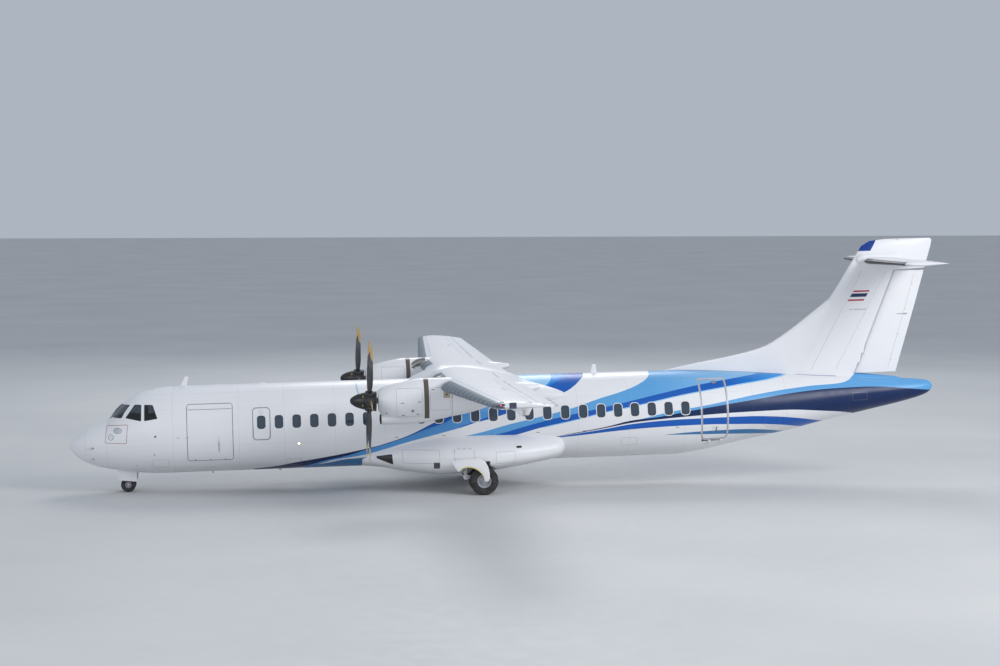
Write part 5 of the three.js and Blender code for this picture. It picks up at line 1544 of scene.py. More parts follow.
# The engines' distance from the centreline; the tables below have the fuselage's columns
ENGINE_Y = 4.05
NACELLE = Rows((
    (9.290, 1.465, 0.850, 0.308, 1.158, 2.0), (9.420, 1.535, 0.700, 0.385, 1.130, 2.1),
    (9.700, 1.620, 0.560, 0.455, 1.110, 2.2), (10.050, 1.700, 0.500, 0.475, 1.110, 2.4),
    (10.530, 1.775, 0.500, 0.480, 1.120, 2.4), (11.300, 1.775, 0.610, 0.480, 1.130, 2.4),
    (12.000, 1.680, 0.730, 0.460, 1.180, 2.3), (12.700, 1.620, 0.940, 0.400, 1.250, 2.2),
    (13.500, 1.560, 1.180, 0.260, 1.360, 2.0), (14.050, 1.480, 1.350, 0.060, 1.410, 2.0),
))
CHIN = Rows((
    (9.330, 0.745, 0.470, 0.270, 0.610, 2.4), (9.420, 0.765, 0.445, 0.300, 0.610, 2.4),
    (9.900, 0.800, 0.445, 0.330, 0.620, 2.4), (10.500, 0.800, 0.475, 0.330, 0.640, 2.4),
    (11.300, 0.850, 0.600, 0.300, 0.720, 2.4),
))
COWL_END = 11.42
DUCT = Rows(((9.250, 0.705, 0.510, 0.235, 0.608, 2.6), (9.500, 0.680, 0.522, 0.215, 0.600, 2.6),
             (9.700, 0.640, 0.530, 0.180, 0.585, 2.6)))
THRUST_S, THRUST_W, THRUST_TILT = 9.030, 1.150, math.radians(2.5)


# How finely an outline is divided before it is laid on a nacelle, and how deep its marks go in
ENGINE_STEP = 0.04
ENGINE_SUNK = -0.01


def engine_ring(rows, station, inward=0.0, count=80):
    return hull_ring(station, inward, count, rows)


def engine_point(side, s, w, out, face):
    """A point on the nacelle: face is -1 for the side next to the hull, 1 for the outer side."""
    s2, y, w2 = on_skin(1, s, w, out, NACELLE)
    return (s2, side * (ENGINE_Y + face * y), w2)


def engine_band(shape, side, outline, face):
    """The thin raised edge of a cowl door."""
    profile = band_profile(refined(outline, ENGINE_STEP), 0.005, 0.0012, ENGINE_SUNK)
    rings = [[engine_point(side, s, w, level, face) for s, w in line] for line, level in profile]
    return shape.loft(rings, closed=True)


def engine_plate(shape, side, outline, out, face, paint):
    outline = refined(outline, ENGINE_STEP)
    rings = []
    for share, level in ((0.1, ENGINE_SUNK), (1.0, ENGINE_SUNK), (1.0, out), (0.6, out), (0.1, out)):
        rings.append([engine_point(side, s, w, level, face) for s, w in drawn_in(outline, share)])
    return shape.loft(rings, paint)


def shifted(shape, side):
    shape.points = [(s, y + side * ENGINE_Y, w) for s, y, w in shape.points]
    return shape


def make_nacelles():
    for side, hand in SIDES:
        cowl = shifted(Shape().loft([engine_ring(NACELLE, s) for s in
                                     [9.29, 9.31, 9.34, 9.38] + spaced(9.42, COWL_END, 0.1)]), side)
        cowl = cowl.object("cowl_" + hand, "white dark", sharp=40)
        chin_rings = [engine_ring(CHIN, 9.33 + step, inward) for step, inward in
                      ((0.0, 0.022), (0.004, 0.012), (0.014, 0.004), (0.032, 0.0))]
        chin_rings += [engine_ring(CHIN, s) for s in spaced(9.42, 11.30, 0.1)]
        chin = shifted(Shape().loft(chin_rings), side).object("chin", "white", sharp=40)
        combined(cowl, [chin], "UNION", sharp=40)
        duct = shifted(Shape().loft([engine_ring(DUCT, s, 0.0, 48) for s in spaced(9.25, 9.70, 0.05)]), side)
        combined(cowl, [duct.object("duct", "dark")], sharp=40)
        settle(cowl, "airframe", "nacelle_paint", "nacelle_cowl_" + hand)
        aft = shifted(Shape().loft([engine_ring(NACELLE, s) for s in spaced(COWL_END + 0.002, 14.05, 0.1)]),
                      side)
        settle(aft.object("nacelle_tail_" + hand, "white", sharp=60), "airframe", "nacelle_paint",
               "nacelle_aft_" + hand)
        make_nacelle_trim(side, hand)
        make_exhaust(side, hand)
        make_propeller(side, hand)


def make_nacelle_trim(side, hand):
    trim = Shape()
    for start, end, out, paint in ((10.61, 10.75, 0.002, 1), (11.412, 11.424, 0.0008, 0)):
        profile = ((start, ENGINE_SUNK), (start, out), (end, out), (end, ENGINE_SUNK))
        hoop = shifted(Shape().loft([engine_ring(NACELLE, s, -level) for s, level in profile], closed=True),
                       side)
        trim.add(hoop.points, hoop.faces, paint)
    # The intake's inner lip takes the near-black paint: painted shade inside the intake.
    lip = []
    for step, inward in ((0.03, -0.0015), (0.0, 0.0), (-0.004, 0.03), (0.0, 0.045), (0.03, 0.052)):
        ring = engine_ring(CHIN, 9.33 + max(step, 0.0), inward)
        lip.append([(s + min(step, 0.0), y, w) for s, y, w in ring])
    mouth = shifted(Shape().loft(lip, caps=False), side)
    trim.add(mouth.points, mouth.faces, 2)
    for face in (-1, 1):
        engine_band(trim, side, rounded(9.80, 10.56, 0.70, 1.52, 0.03), face)
        engine_band(trim, side, rounded(10.79, 11.36, 0.86, 1.52, 0.03), face)
        # The small slots and round ports below are near-black plates: painted shade inside them.
        for s, w in ((9.97, 1.10), (10.47, 1.12), (9.99, 0.74), (10.42, 0.76), (10.87, 1.46), (11.28, 1.46)):
            engine_plate(trim, side, rounded(s - 0.045, s + 0.045, w - 0.008, w + 0.008, 0.006), 0.002, face,
                         2)
        engine_plate(trim, side, circle(10.26, 0.86, 0.036, 20), 0.006, face, 2)
        engine_plate(trim, side, circle(10.26, 0.86, 0.020, 16), 0.010, face, 3)
        for s, w, r in ((11.52, 1.33, 0.028), (11.43, 1.24, 0.016)):
            engine_plate(trim, side, circle(s, w, r, 18), 0.0015, face, 2)
        scoop = [(11.17, 1.22), (11.36, 1.22), (11.345, 1.44), (11.185, 1.44)]
        engine_plate(trim, side, softened(scoop, 0.02), 0.018, face, 4)
        engine_plate(trim, side, circle(11.265, 1.31, 0.026, 18), 0.020, face, 2)
    settle(trim.object("nacelle_trim_" + hand,
                       "line band dark steel tan", sharp=40),
           "airframe", "nacelle_paint")


def make_exhaust(side, hand):
    """The exhaust pipe that leaves the upper side of the nacelle next to the hull, and its bore."""
    y = side * (ENGINE_Y - 0.26)
    flat = 0.86
    route = [(10.80, y, 1.50, 0.15), (10.95, y - side * 0.03, 1.60, 0.155),
             (11.10, y - side * 0.05, 1.655, 0.15),
             (11.24, y - side * 0.06, 1.68, 0.145)]
    end_s, end_y, end_w, _ = route[-1]
    route += [(end_s + depth, end_y, end_w, r) for depth, r in ((0.0, 0.137), (-0.05, 0.132), (-0.18, 0.125))]
    pipe = Shape().loft([[(s, y + r * math.cos(a), w + r * flat * math.sin(a)) for a in angles(32)]
                         for s, y, w, r in route])
    settle(pipe.object("exhaust_" + hand, "exhaust", sharp=50), "airframe", "engine_block")


# A propeller blade: distance from the shaft, chord, thickness, pitch in degrees
BLADE_COUNT, BLADE_SIDES, FIRST_BLADE = 6, 40, 30
BLADE_TIP_PAINT = 1.51
BLADE = Rows((
    (0.060, 0.120, 0.118, 40.0), (0.200, 0.125, 0.110, 39.0), (0.430, 0.150, 0.090, 36.0),
    (0.650, 0.250, 0.062, 29.0), (0.900, 0.320, 0.046, 22.0), (1.300, 0.335, 0.034, 15.0),
    (1.600, 0.325, 0.024, 10.0), (1.800, 0.285, 0.017, 7.5), (1.900, 0.235, 0.013, 6.5),
    (1.945, 0.160, 0.009, 6.0), (1.965, 0.070, 0.005, 6.0),
))
# The spinner: radius, distance behind its tip
SPINNER = ((0.0, 0.0), (0.030, 0.004), (0.062, 0.018), (0.095, 0.045), (0.135, 0.100), (0.175, 0.170),
           (0.212, 0.270), (0.240, 0.375), (0.264, 0.500), (0.284, 0.640), (0.296, 0.775))


def blade_ring(radius, grow=0.0):
    chord, thickness, pitch = BLADE.at(radius)
    turn = math.radians(pitch)
    ring = []
    for a in angles(BLADE_SIDES):
        across = math.cos(a) * chord / 2
        through = math.sin(a) * thickness / 2 * (1 - 0.45 * math.cos(a) if chord > 0.2 else 1.0)
        across += math.copysign(grow, across)
        through += math.copysign(grow, through) if through else 0
        ring.append((-across * math.sin(turn) + through * math.cos(turn),
                     across * math.cos(turn) + through * math.sin(turn), radius))
    return ring


def blade_turn(number):
    """The turn about the shaft that takes a blade from upright to its place."""
    return Matrix.Rotation(math.radians(FIRST_BLADE + 360 / BLADE_COUNT * number), 4, "X")


def thrust_frame(side):
    """From propeller coordinates (aft along the shaft, across, up) to airframe coordinates."""
    return Matrix.Translation((THRUST_S, side * ENGINE_Y, THRUST_W)) @ Matrix.Rotation(THRUST_TILT, 4, "Y")


def make_propeller(side, hand):
    make_blades(side, hand)
    make_spinner(side, hand)


def make_blades(side, hand):
    body = "propeller_" + hand
    blades = Shape()
    for i in range(BLADE_COUNT):
        spans = [0.06, 0.13] + spaced(0.2, 1.6, 0.0875) + [1.66, 1.72, 1.78, 1.83, 1.87, 1.90, 1.925, 1.945,
                                                           1.957, 1.965]
        main = Shape().loft([blade_ring(r) for r in spans])
        for k in range(len(main.faces) - 2):
            main.paints[k] = 1 if spans[k // BLADE_SIDES] >= BLADE_TIP_PAINT else 0
        boot = Shape().loft([blade_ring(r, 0.0022) for r in (0.42, 0.6, 0.8, 1.0, 1.15)])
        main.add(boot.points, boot.faces, 2)
        collar = Shape().lathe([(0.085, 0.24), (0.105, 0.25), (0.105, 0.285), (0.085, 0.295), (0.07, 0.28)],
                               (0, 0, 0), (0, 0, 1), 32)
        main.add(collar.points, collar.faces, 2)
        main.moved(blade_turn(i))
        blades.add(main.points, main.faces)
        blades.paints[-len(main.paints):] = main.paints
    blades.lathe([(0.10, -0.14), (0.15, -0.12), (0.16, 0.0), (0.15, 0.17), (0.12, 0.197), (0.06, 0.197),
                  (0.06, -0.14)], (0, 0, 0), (1, 0, 0), 48, paint=3)
    blades.moved(thrust_frame(side))
    settle(blades.object("propeller_blades_" + hand,
                         "black blade_tip seal steel", sharp=40),
           body, "blade", body)


def make_spinner(side, hand):
    """The cone and its inside, its back ring, a cuff round each blade's root and a pair of small marks."""
    base = 0.205
    cone = Shape()
    profile = [(r, x - SPINNER[-1][1] + base) for r, x in SPINNER]
    profile += [(0.290, base), (0.284, base - 0.01), (0.10, base - 0.01), (0.10, base - 0.02),
                (0.275, base - 0.03), (0.20, -0.35), (0.05, -0.50)]
    cone.lathe(profile, (0, 0, 0), (1, 0, 0), 96, loop=False)
    cone.lathe([(0.2965, base - 0.030), (0.2985, base - 0.026), (0.2985, base - 0.012),
                (0.2965, base - 0.008),
                (0.290, base - 0.02)], (0, 0, 0), (1, 0, 0), 96, paint=1)
    for i in range(BLADE_COUNT):
        cuff = Shape().loft([[(0.125 * math.cos(a), 0.098 * math.sin(a), level) for a in angles(32)]
                             for level in (0.262, 0.2975)])
        cuff.moved(blade_turn(i))
        cone.add(cuff.points, cuff.faces, 1)
        mark = Shape()
        for k in range(2):
            across = math.radians(60 * i + 8 * k)
            at = Vector((-0.20, 0.259 * math.sin(across), 0.259 * math.cos(across)))
            mark.lathe([(0.0, 0.0), (0.013, 0.0), (0.013, 0.003), (0.0, 0.003)], at,
                       (-0.13, math.sin(across), math.cos(across)), 14, loop=False)
        cone.add(mark.points, mark.faces, 2)
    cone.moved(thrust_frame(side))
    settle(cone.object("spinner_cone_" + hand, "black seal yellow", sharp=40),
           "propeller_" + hand, "spinner_paint", "spinner_" + hand)


# Tail surfaces. The fin is given by height: leading edge, trailing edge, thickness
FIN = (
    (0.700, 22.250, 25.860, 0.120), (3.600, 23.900, 26.740, 0.115), (3.960, 24.150, 26.840, 0.115),
    (5.200, 24.930, 27.205, 0.100), (5.340, 25.180, 27.225, 0.060), (5.395, 25.700, 27.170, 0.020),
)
# The dorsal fillet: station, height of its crest, half thickness
DORSAL = Rows((
    (18.450, 1.425, 0.012), (19.520, 1.630, 0.034), (20.700, 1.830, 0.052), (21.710, 2.080, 0.070),
    (22.300, 2.400, 0.084), (23.900, 3.560, 0.110),
))
RUDDER = {"bottom": 1.170, "top": 4.380, "low_hinge": 24.760, "high_hinge": 26.060, "head": 0.034}
# The stabilizer in the wing's columns, without washout
STABILIZER = ((0.000, 24.860, 1.860, 4.720, 0.130), (3.560, 25.310, 1.330, 4.700, 0.110),
              (3.655, 25.430, 1.190, 4.700, 0.050))
# The elevators, in the columns of the wing's controls
ELEVATOR = (0.330, 3.570, 0.64, 0.008)
FIN_SUNK = -0.004


def fin_point(w, x, sign):
    """A point of the fin's surface, as (station, distance from the middle plane)."""
    _, leading, trailing, thickness = straight(FIN, w)
    chord = trailing - leading
    return (leading + chord * x, sign * half_thickness(x, chord, thickness))


def tail_point(y, x, sign, grow=0.0):
    """A point of the stabilizer's upper or lower side, as (station, height)."""
    _, leading, chord, height, thickness = straight(STABILIZER, abs(y))
    return (leading + chord * x - (grow if x == 0 else 0),
            height + sign * (half_thickness(x, chord, thickness) + grow))


def upright(ring):
    """Turns a section laid out with its height in the middle place into one of the fin."""
    return [(s, offset, w) for s, w, offset in ring]


def rudder_hinge(w):
    part = (w - RUDDER["bottom"]) / (RUDDER["top"] - RUDDER["bottom"])
    return RUDDER["low_hinge"] + (RUDDER["high_hinge"] - RUDDER["low_hinge"]) * part


def rudder_share(w):
    """The rudder's hinge as a share of the fin's chord."""
    _, leading, trailing, _ = straight(FIN, w)
    return (rudder_hinge(w) - leading) / (trailing - leading)


def rudder_front(w):
    s, _, radius = hinge_place(w, rudder_share(w), fin_point)
    return s - radius - HINGE_GAP


def make_fin():
    heights = spaced(0.70, 5.20, 0.3) + [5.25, 5.30, 5.34, 5.365, 5.385, 5.395]
    fin = Shape().loft([upright(foil_ring(w, 1, point=fin_point)) for w in heights])
    fin = fin.object("fin_shell", "tail", sharp=50)
    rings = []
    for s in spaced(18.45, 23.9, 0.12):
        crest, half = DORSAL.at(s)
        ring = [(s, -half * 1.6, 0.7), (s, half * 1.6, 0.7)]
        ring += [(s, half * math.cos(a), crest - 2 * half + 2 * half * math.sin(a))
                 for a in (math.radians(10 * i) for i in range(19))]
        rings.append(ring)
    dorsal = Shape().loft(rings).object("dorsal", "tail", sharp=50)
    combined(fin, [dorsal], "UNION", sharp=50)
    low, high = RUDDER["bottom"], RUDDER["top"]
    behind, head = TAIL_CUT["behind"], high + RUDDER["head"]
    pocket = [(rudder_front(low), low), (rudder_front(low), low - 0.4), (behind, low - 0.4),
              (behind, head + 0.09), (rudder_front(high), head)]
    combined(fin, [Shape().prism(pocket, -0.5, 0.5, "y").object("pocket")], sharp=45)
    settle(fin, "airframe", "tail_paint", "fin")
    rudder = Shape()
    rudder.loft([upright(control_ring(w, 1, rudder_share(w), fin_point)) for w in spaced(low, high, 0.3)])
    settle(rudder.object("rudder_surface", "tail", sharp=50), "rudder", "tail_paint", "rudder")
    make_fin_details()


def fin_plate(shape, outline, side, out, paint):
    """A thin plate on the fin: its outline is in (station, height)."""
    rings = []
    for share, level in ((0.15, FIN_SUNK), (1.0, FIN_SUNK), (1.0, out), (0.6, out), (0.15, out)):
        ring = []
        for s, w in drawn_in(outline, share):
            _, leading, trailing, _ = straight(FIN, w)
            x = min(max((s - leading) / (trailing - leading), 0.0), 1.0)
            ring.append((s, side * (fin_point(w, x, 1)[1] + level), w))
        rings.append(ring)
    return shape.loft(rings, paint)


def slanted(s0, s1, w0, w1, lean):
    """A parallelogram that leans with the fin's leading edge."""
    return [(s0, w0), (s1, w0), (s1 + lean, w1), (s0 + lean, w1)]


def make_fin_details():
    trim, moving = Shape(), Shape()
    for side, _ in SIDES:
        for low, paint in ((3.46, 2), (3.585, 3), (3.74, 2)):
            height = 0.11 if paint == 3 else 0.05
            start = 24.43 + (low - 3.46) * 0.62
            fin_plate(trim, refined(slanted(start, start + 0.52, low, low + height, height * 0.62), 0.05),
                      side,
                      0.0008, paint)
        trim.block((24.47, side * 0.168 - 0.014, 3.185), (25.03, side * 0.168 + 0.014, 3.20), 0.004, paint=1)
        moving.block((26.02, side * 0.055 - 0.016, 3.00), (26.40, side * 0.055 + 0.016, 3.02), 0.004, paint=1)
        for w in (1.55, 2.35, 3.15, 3.95):
            s = straight(FIN, w)[2] - 0.27
            moving.lathe([(0.0, -0.004), (0.012, -0.004), (0.012, 0.006), (0.0, 0.007)],
                         (s, side * abs(fin_point(w, 0.90, 1)[1]), w), (0, side, 0), 12, paint=2, loop=False)
        tab = [(straight(FIN, w)[2] - 0.30, w) for w in spaced(1.30, 4.25, 0.25)]
        for here, after in zip(tab, tab[1:]):
            line = [(here[0] - 0.003, here[1]), (here[0] + 0.003, here[1]), (after[0] + 0.003, after[1]),
                    (after[0] - 0.003, after[1])]
            fin_plate(moving, line, side, 0.0008, paint=2)
        for w in (1.62, 1.92):
            s = rudder_front(w) + 0.01
            fin_plate(trim,
                      [(s - 0.30, w - 0.12), (s, w - 0.12), (s + 0.04, w + 0.12), (s - 0.22, w + 0.12)], side,
                      0.0012, paint=0)
        for start in (23.2, 24.0):
            for w0, w1 in ((1.3, 2.7), (2.75, 4.4)):
                s0 = start + (w0 - 1.3) * 0.55
                s1 = start + (w1 - 1.3) * 0.55
                fin_plate(trim, [(s0 - 0.003, w0), (s0 + 0.003, w0), (s1 + 0.003, w1), (s1 - 0.003, w1)],
                          side,
                          0.0007, paint=4)
    settle(trim.object("fin_details", "tail steel flag_red navy line", sharp=40), "airframe", "tail_paint")
    settle(moving.object("rudder_details", "tail steel line", sharp=40), "rudder", "tail_paint")
    lamp = Shape()
    lamp.lathe([(0.0, 0.06), (0.03, 0.055), (0.045, 0.035), (0.05, 0.0), (0.05, -0.02)], (26.1, 0, 5.33),
               (0, 0, 1), 28,
               loop=False)
    settle(lamp.object("fin_beacon", "lens"), "airframe", "cockpit_glass")
    tail_lamp = Shape()
    tail_lamp.lathe([(0.045, -0.06), (0.052, -0.03), (0.050, -0.012), (0.040, -0.004), (0.020, 0.0),
                     (0.0, 0.001)],
                    (27.180, 0.0, 0.670), (1, 0, 0), 28, loop=False)
    settle(tail_lamp.object("tail_lamp", "lens"), "airframe", "cockpit_glass")


# The body on the stabilizer's middle and the fairing at the fin's foot, in the fuselage's columns
BULLET = Rows((
    (24.700, 4.760, 4.700, 0.020, 4.730, 2.0), (24.760, 4.860, 4.640, 0.110, 4.740, 2.0),
    (24.920, 4.975, 4.590, 0.200, 4.750, 2.2), (25.300, 4.990, 4.560, 0.235, 4.750, 2.4),
    (26.020, 4.985, 4.560, 0.230, 4.740, 2.4), (26.120, 4.940, 4.580, 0.200, 4.740, 2.2),
    (26.240, 4.840, 4.620, 0.110, 4.730, 2.0), (26.280, 4.780, 4.670, 0.030, 4.720, 2.0),
))
FIN_FOOT_FAIRING = Rows((
    (23.900, 1.180, 0.80, 0.050, 1.000, 2.0), (24.300, 1.190, 0.80, 0.200, 1.000, 2.0),
    (24.760, 1.165, 0.80, 0.250, 0.980, 2.0), (25.300, 1.100, 0.75, 0.230, 0.950, 2.0),
    (25.900, 1.030, 0.70, 0.140, 0.920, 2.0), (26.150, 0.975, 0.70, 0.030, 0.900, 2.0),
))


def make_stabilizer():
    ys = [0.0, 0.3, 0.33, 1.0, 1.8, 2.6, 3.3, 3.56, 3.585, 3.61, 3.635, 3.655]
    places = [-y for y in reversed(ys[1:])] + ys
    tail = Shape().loft([foil_ring(abs(y), -1 if y < 0 else 1, point=tail_point) for y in places])
    tail = tail.object("stabilizer_shell", "tail", sharp=50)
    start, end, share, _ = ELEVATOR
    combined(tail, [control_cutter(side, *ELEVATOR, TAIL_CUT, tail_point) for side, _ in SIDES], sharp=40)
    settle(tail, "airframe", "tail_paint", "stabilizer")
    for side, hand in SIDES:
        surface = Shape().loft([control_ring(y, side, share, tail_point) for y in spaced(start, end, 0.7)])
        for y in (0.9, 2.0, 3.1):
            s, w = tail_point(y, 1.0, 1)
            surface.bar((s - 0.05, side * y, w), (s + 0.07, side * y, w - 0.003), 0.004, 8, 0.002, paint=1)
        settle(surface.object("elevator_surface_" + hand, "tail black", sharp=50),
               "elevator_" + hand, "tail_paint", "elevator_" + hand)
        ends = (0.42, 3.50)
        boot = Shape().loft([boot_ring(y, side, 0.0 if y in ends else BOOT_PROUD, tail_point, 0.075, 0.10)
                             for y in [ends[0], 0.424] + spaced(0.8, 3.1, 0.4) + [3.496, ends[1]]])
        settle(boot.object("stabilizer_boot_" + hand, "dark_boot", sharp=60), "airframe", "cockpit_trim")
    stations = [24.70, 24.72, 24.76, 24.82, 24.90] + spaced(25.0, 26.0, 0.2)
    stations += [26.06, 26.12, 26.18, 26.24, 26.27, 26.28]
    shape = Shape().loft([hull_ring(s, 0.0, 40, BULLET) for s in stations])
    settle(shape.object("stabilizer_root_fairing", "tail", sharp=60), "airframe", "tail_paint")
    shape = Shape().loft([hull_ring(s, 0.0, 48, FIN_FOOT_FAIRING) for s in spaced(23.9, 26.15, 0.09)])
    settle(shape.object("fin_foot_fairing", "hull", sharp=60), "airframe", "tail_paint")
    make_fin_foot_seal()


# Where the fin itself takes over from the dorsal fillet, and the height of its foot
DORSAL_END, FIN_FOOT = 22.3, 1.25


def make_fin_foot_seal():
    """The blue seal along both sides of the fin's foot, lying on the crown; its dark blue is partly the
    seal's paint and partly painted shade in the joint between fin and crown.
    """
    seal = Shape()
    for side, _ in SIDES:
        rings = []
        for s in spaced(18.62, 24.0, 0.15):
            if s < DORSAL_END:
                near = DORSAL.at(s)[1] * 1.25
            else:
                leading, trailing = straight(FIN, FIN_FOOT)[1:3]
                near = fin_point(FIN_FOOT, max((s - leading) / (trailing - leading), 0.0), 1)[1]
            ring = []
            for y, level in ((near - 0.02, -0.006), (near - 0.02, 0.006), (near + 0.030, 0.003),
                             (near + 0.034, -0.006)):
                ring.append((s, side * y, crown_height(s, y) + level))
            rings.append(ring)
        seal.loft(rings)
    settle(seal.object("fin_foot_seal", "seal_blue_and_shade", sharp=60), "airframe", "tail_paint")


# Landing gear: the middle of the nose wheels' axle, and the sizes of the wheels
NOSE_S, NOSE_W = 1.7456, -1.5437
WHEELS = {
    "main": {"radius": 0.432, "width": 0.254, "spacing": 0.446, "rim": 0.205, "bolts": 9},
    "nose": {"radius": 0.225, "width": 0.180, "spacing": 0.350, "rim": 0.095, "bolts": 6},
}
RIM_PAINTS = "rim steel dark"


def tyre(kind, centre):
    """A tyre with a grooved tread, from a profile of one half."""
    size = WHEELS[kind]
    r, half, rim = size["radius"], size["width"] / 2, size["rim"]
    wall = r - rim
    outer = [
        (rim + 0.001, half * 0.66), (rim + wall * 0.06, half * 0.80), (rim + wall * 0.20, half * 0.93),
        (rim + wall * 0.40, half * 0.995), (rim + wall * 0.50, half * 1.0), (rim + wall * 0.62, half * 0.985),
        (r - wall * 0.22, half * 0.93), (r - wall * 0.12, half * 0.84), (r - wall * 0.05, half * 0.70),
        (r - wall * 0.02, half * 0.56),
    ]
    tread = []
    depth, slot = wall * 0.035, half * 0.035
    for at in (0.42, 0.14):
        crown = r - wall * 0.012 * at
        tread += [(crown, half * at + slot), (crown - depth, half * at + slot * 0.7),
                  (crown - depth, half * at - slot * 0.7), (crown, half * at - slot)]
    side = outer + tread
    profile = side + [(a, -x) for a, x in reversed(side)]
    return Shape().lathe(profile, centre, (0, 1, 0), 96)


def rim(kind, bore, facing, name):
    """One wheel half: a dished disc with holes, its flanges, a hub cap and a ring of bolts."""
    size = WHEELS[kind]
    r, half = size["rim"], size["width"] / 2
    profile = [
        (bore, -half * 0.50), (r * 0.55, -half * 0.42), (r * 0.84, -half * 0.40), (r * 0.90, -half * 0.66),
        (r * 0.965, -half * 0.74), (r - 0.0005, -half * 0.70), (r - 0.0005, half * 0.64),
        (r * 1.03, half * 0.70),
        (r * 1.025, half * 0.75), (r * 0.95, half * 0.745), (r * 0.90, half * 0.66), (r * 0.86, half * 0.30),
        (r * 0.78, half * 0.20), (r * 0.55, half * 0.26), (r * 0.46, half * 0.34), (r * 0.42, half * 0.58),
        (r * 0.38, half * 0.64), (bore, half * 0.64),
    ]
    made = Shape().lathe([(a, x * facing) for a, x in profile], (0, 0, 0), (0, 1, 0), 72)
    made = made.object(name, RIM_PAINTS, place=Matrix.Identity(4))
    holes = Shape()
    for a in angles(size["bolts"], 0.2):
        x, z = r * 0.68 * math.cos(a), r * 0.68 * math.sin(a)
        holes.bar((x, -half * 1.2, z), (x, half * 1.2, z), r * 0.085, 20)
    combined(made, [holes.object("holes", place=Matrix.Identity(4))], sharp=35)
    extra = Shape()
    for a in angles(size["bolts"], 0.2 + math.pi / size["bolts"]):
        x, z = r * 0.68 * math.cos(a), r * 0.68 * math.sin(a)
        face = facing * half * 0.22
        extra.bar((x, face - facing * 0.01, z), (x, face + facing * half * 0.09, z), r * 0.045, 6, paint=1)
        extra.bar((x, face, z), (x, face + facing * half * 0.02, z), r * 0.062, 16, paint=1)
    for a in angles(8):
        x, z = r * 0.30 * math.cos(a), r * 0.30 * math.sin(a)
        extra.bar((x, facing * half * 0.6, z), (x, facing * half * 0.68, z), r * 0.028, 6, paint=1)
    cap = [(0.0005, half * 0.80), (r * 0.12, half * 0.79), (r * 0.20, half * 0.74), (r * 0.23, half * 0.62),
           (r * 0.23, half * 0.50), (0.0005, half * 0.50)]
    if bore < r * 0.3:
        extra.lathe([(a, x * facing) for a, x in cap], (0, 0, 0), (0, 1, 0), 32, paint=1, loop=False)
    return joined(made, [extra.object("bolts", RIM_PAINTS, place=Matrix.Identity(4))])


def joined(target, others):
    """Adds the meshes of other objects to one object, with the same list of materials."""
    work = bmesh.new()
    work.from_mesh(target.data)
    for other in others:
        work.from_mesh(other.data)
        bpy.data.objects.remove(other)
    work.to_mesh(target.data)
    work.free()
    return target


def at_axle(made, s, y, w):
    made.data.transform(AIRFRAME @ Matrix.Translation((s, y, w)))
    return made


def make_main_gear():
    for side, hand in SIDES:
        body = "main_wheels_" + hand
        half = WHEELS["main"]["spacing"] / 2
        for place, turn in (("outer", side), ("inner", -side)):
            y = side * MAIN_Y + turn * half
            wheel = rim("main", 0.041, turn, "main_rim_%s_%s_turned" % (hand, place))
            settle(at_axle(wheel, MAIN_S, y, MAIN_W), body, "wheel_rim", "main_rim_%s_%s" % (hand, place))
            rubber_part = tyre("main", (MAIN_S, y, MAIN_W))
            settle(rubber_part.object("main_tyre_%s_%s_turned" % (hand, place), "tyre", sharp=30), body,
                   "tyre", "main_tyre_%s_%s" % (hand, place))
        make_main_leg(side, hand)
        make_main_door(side, hand)


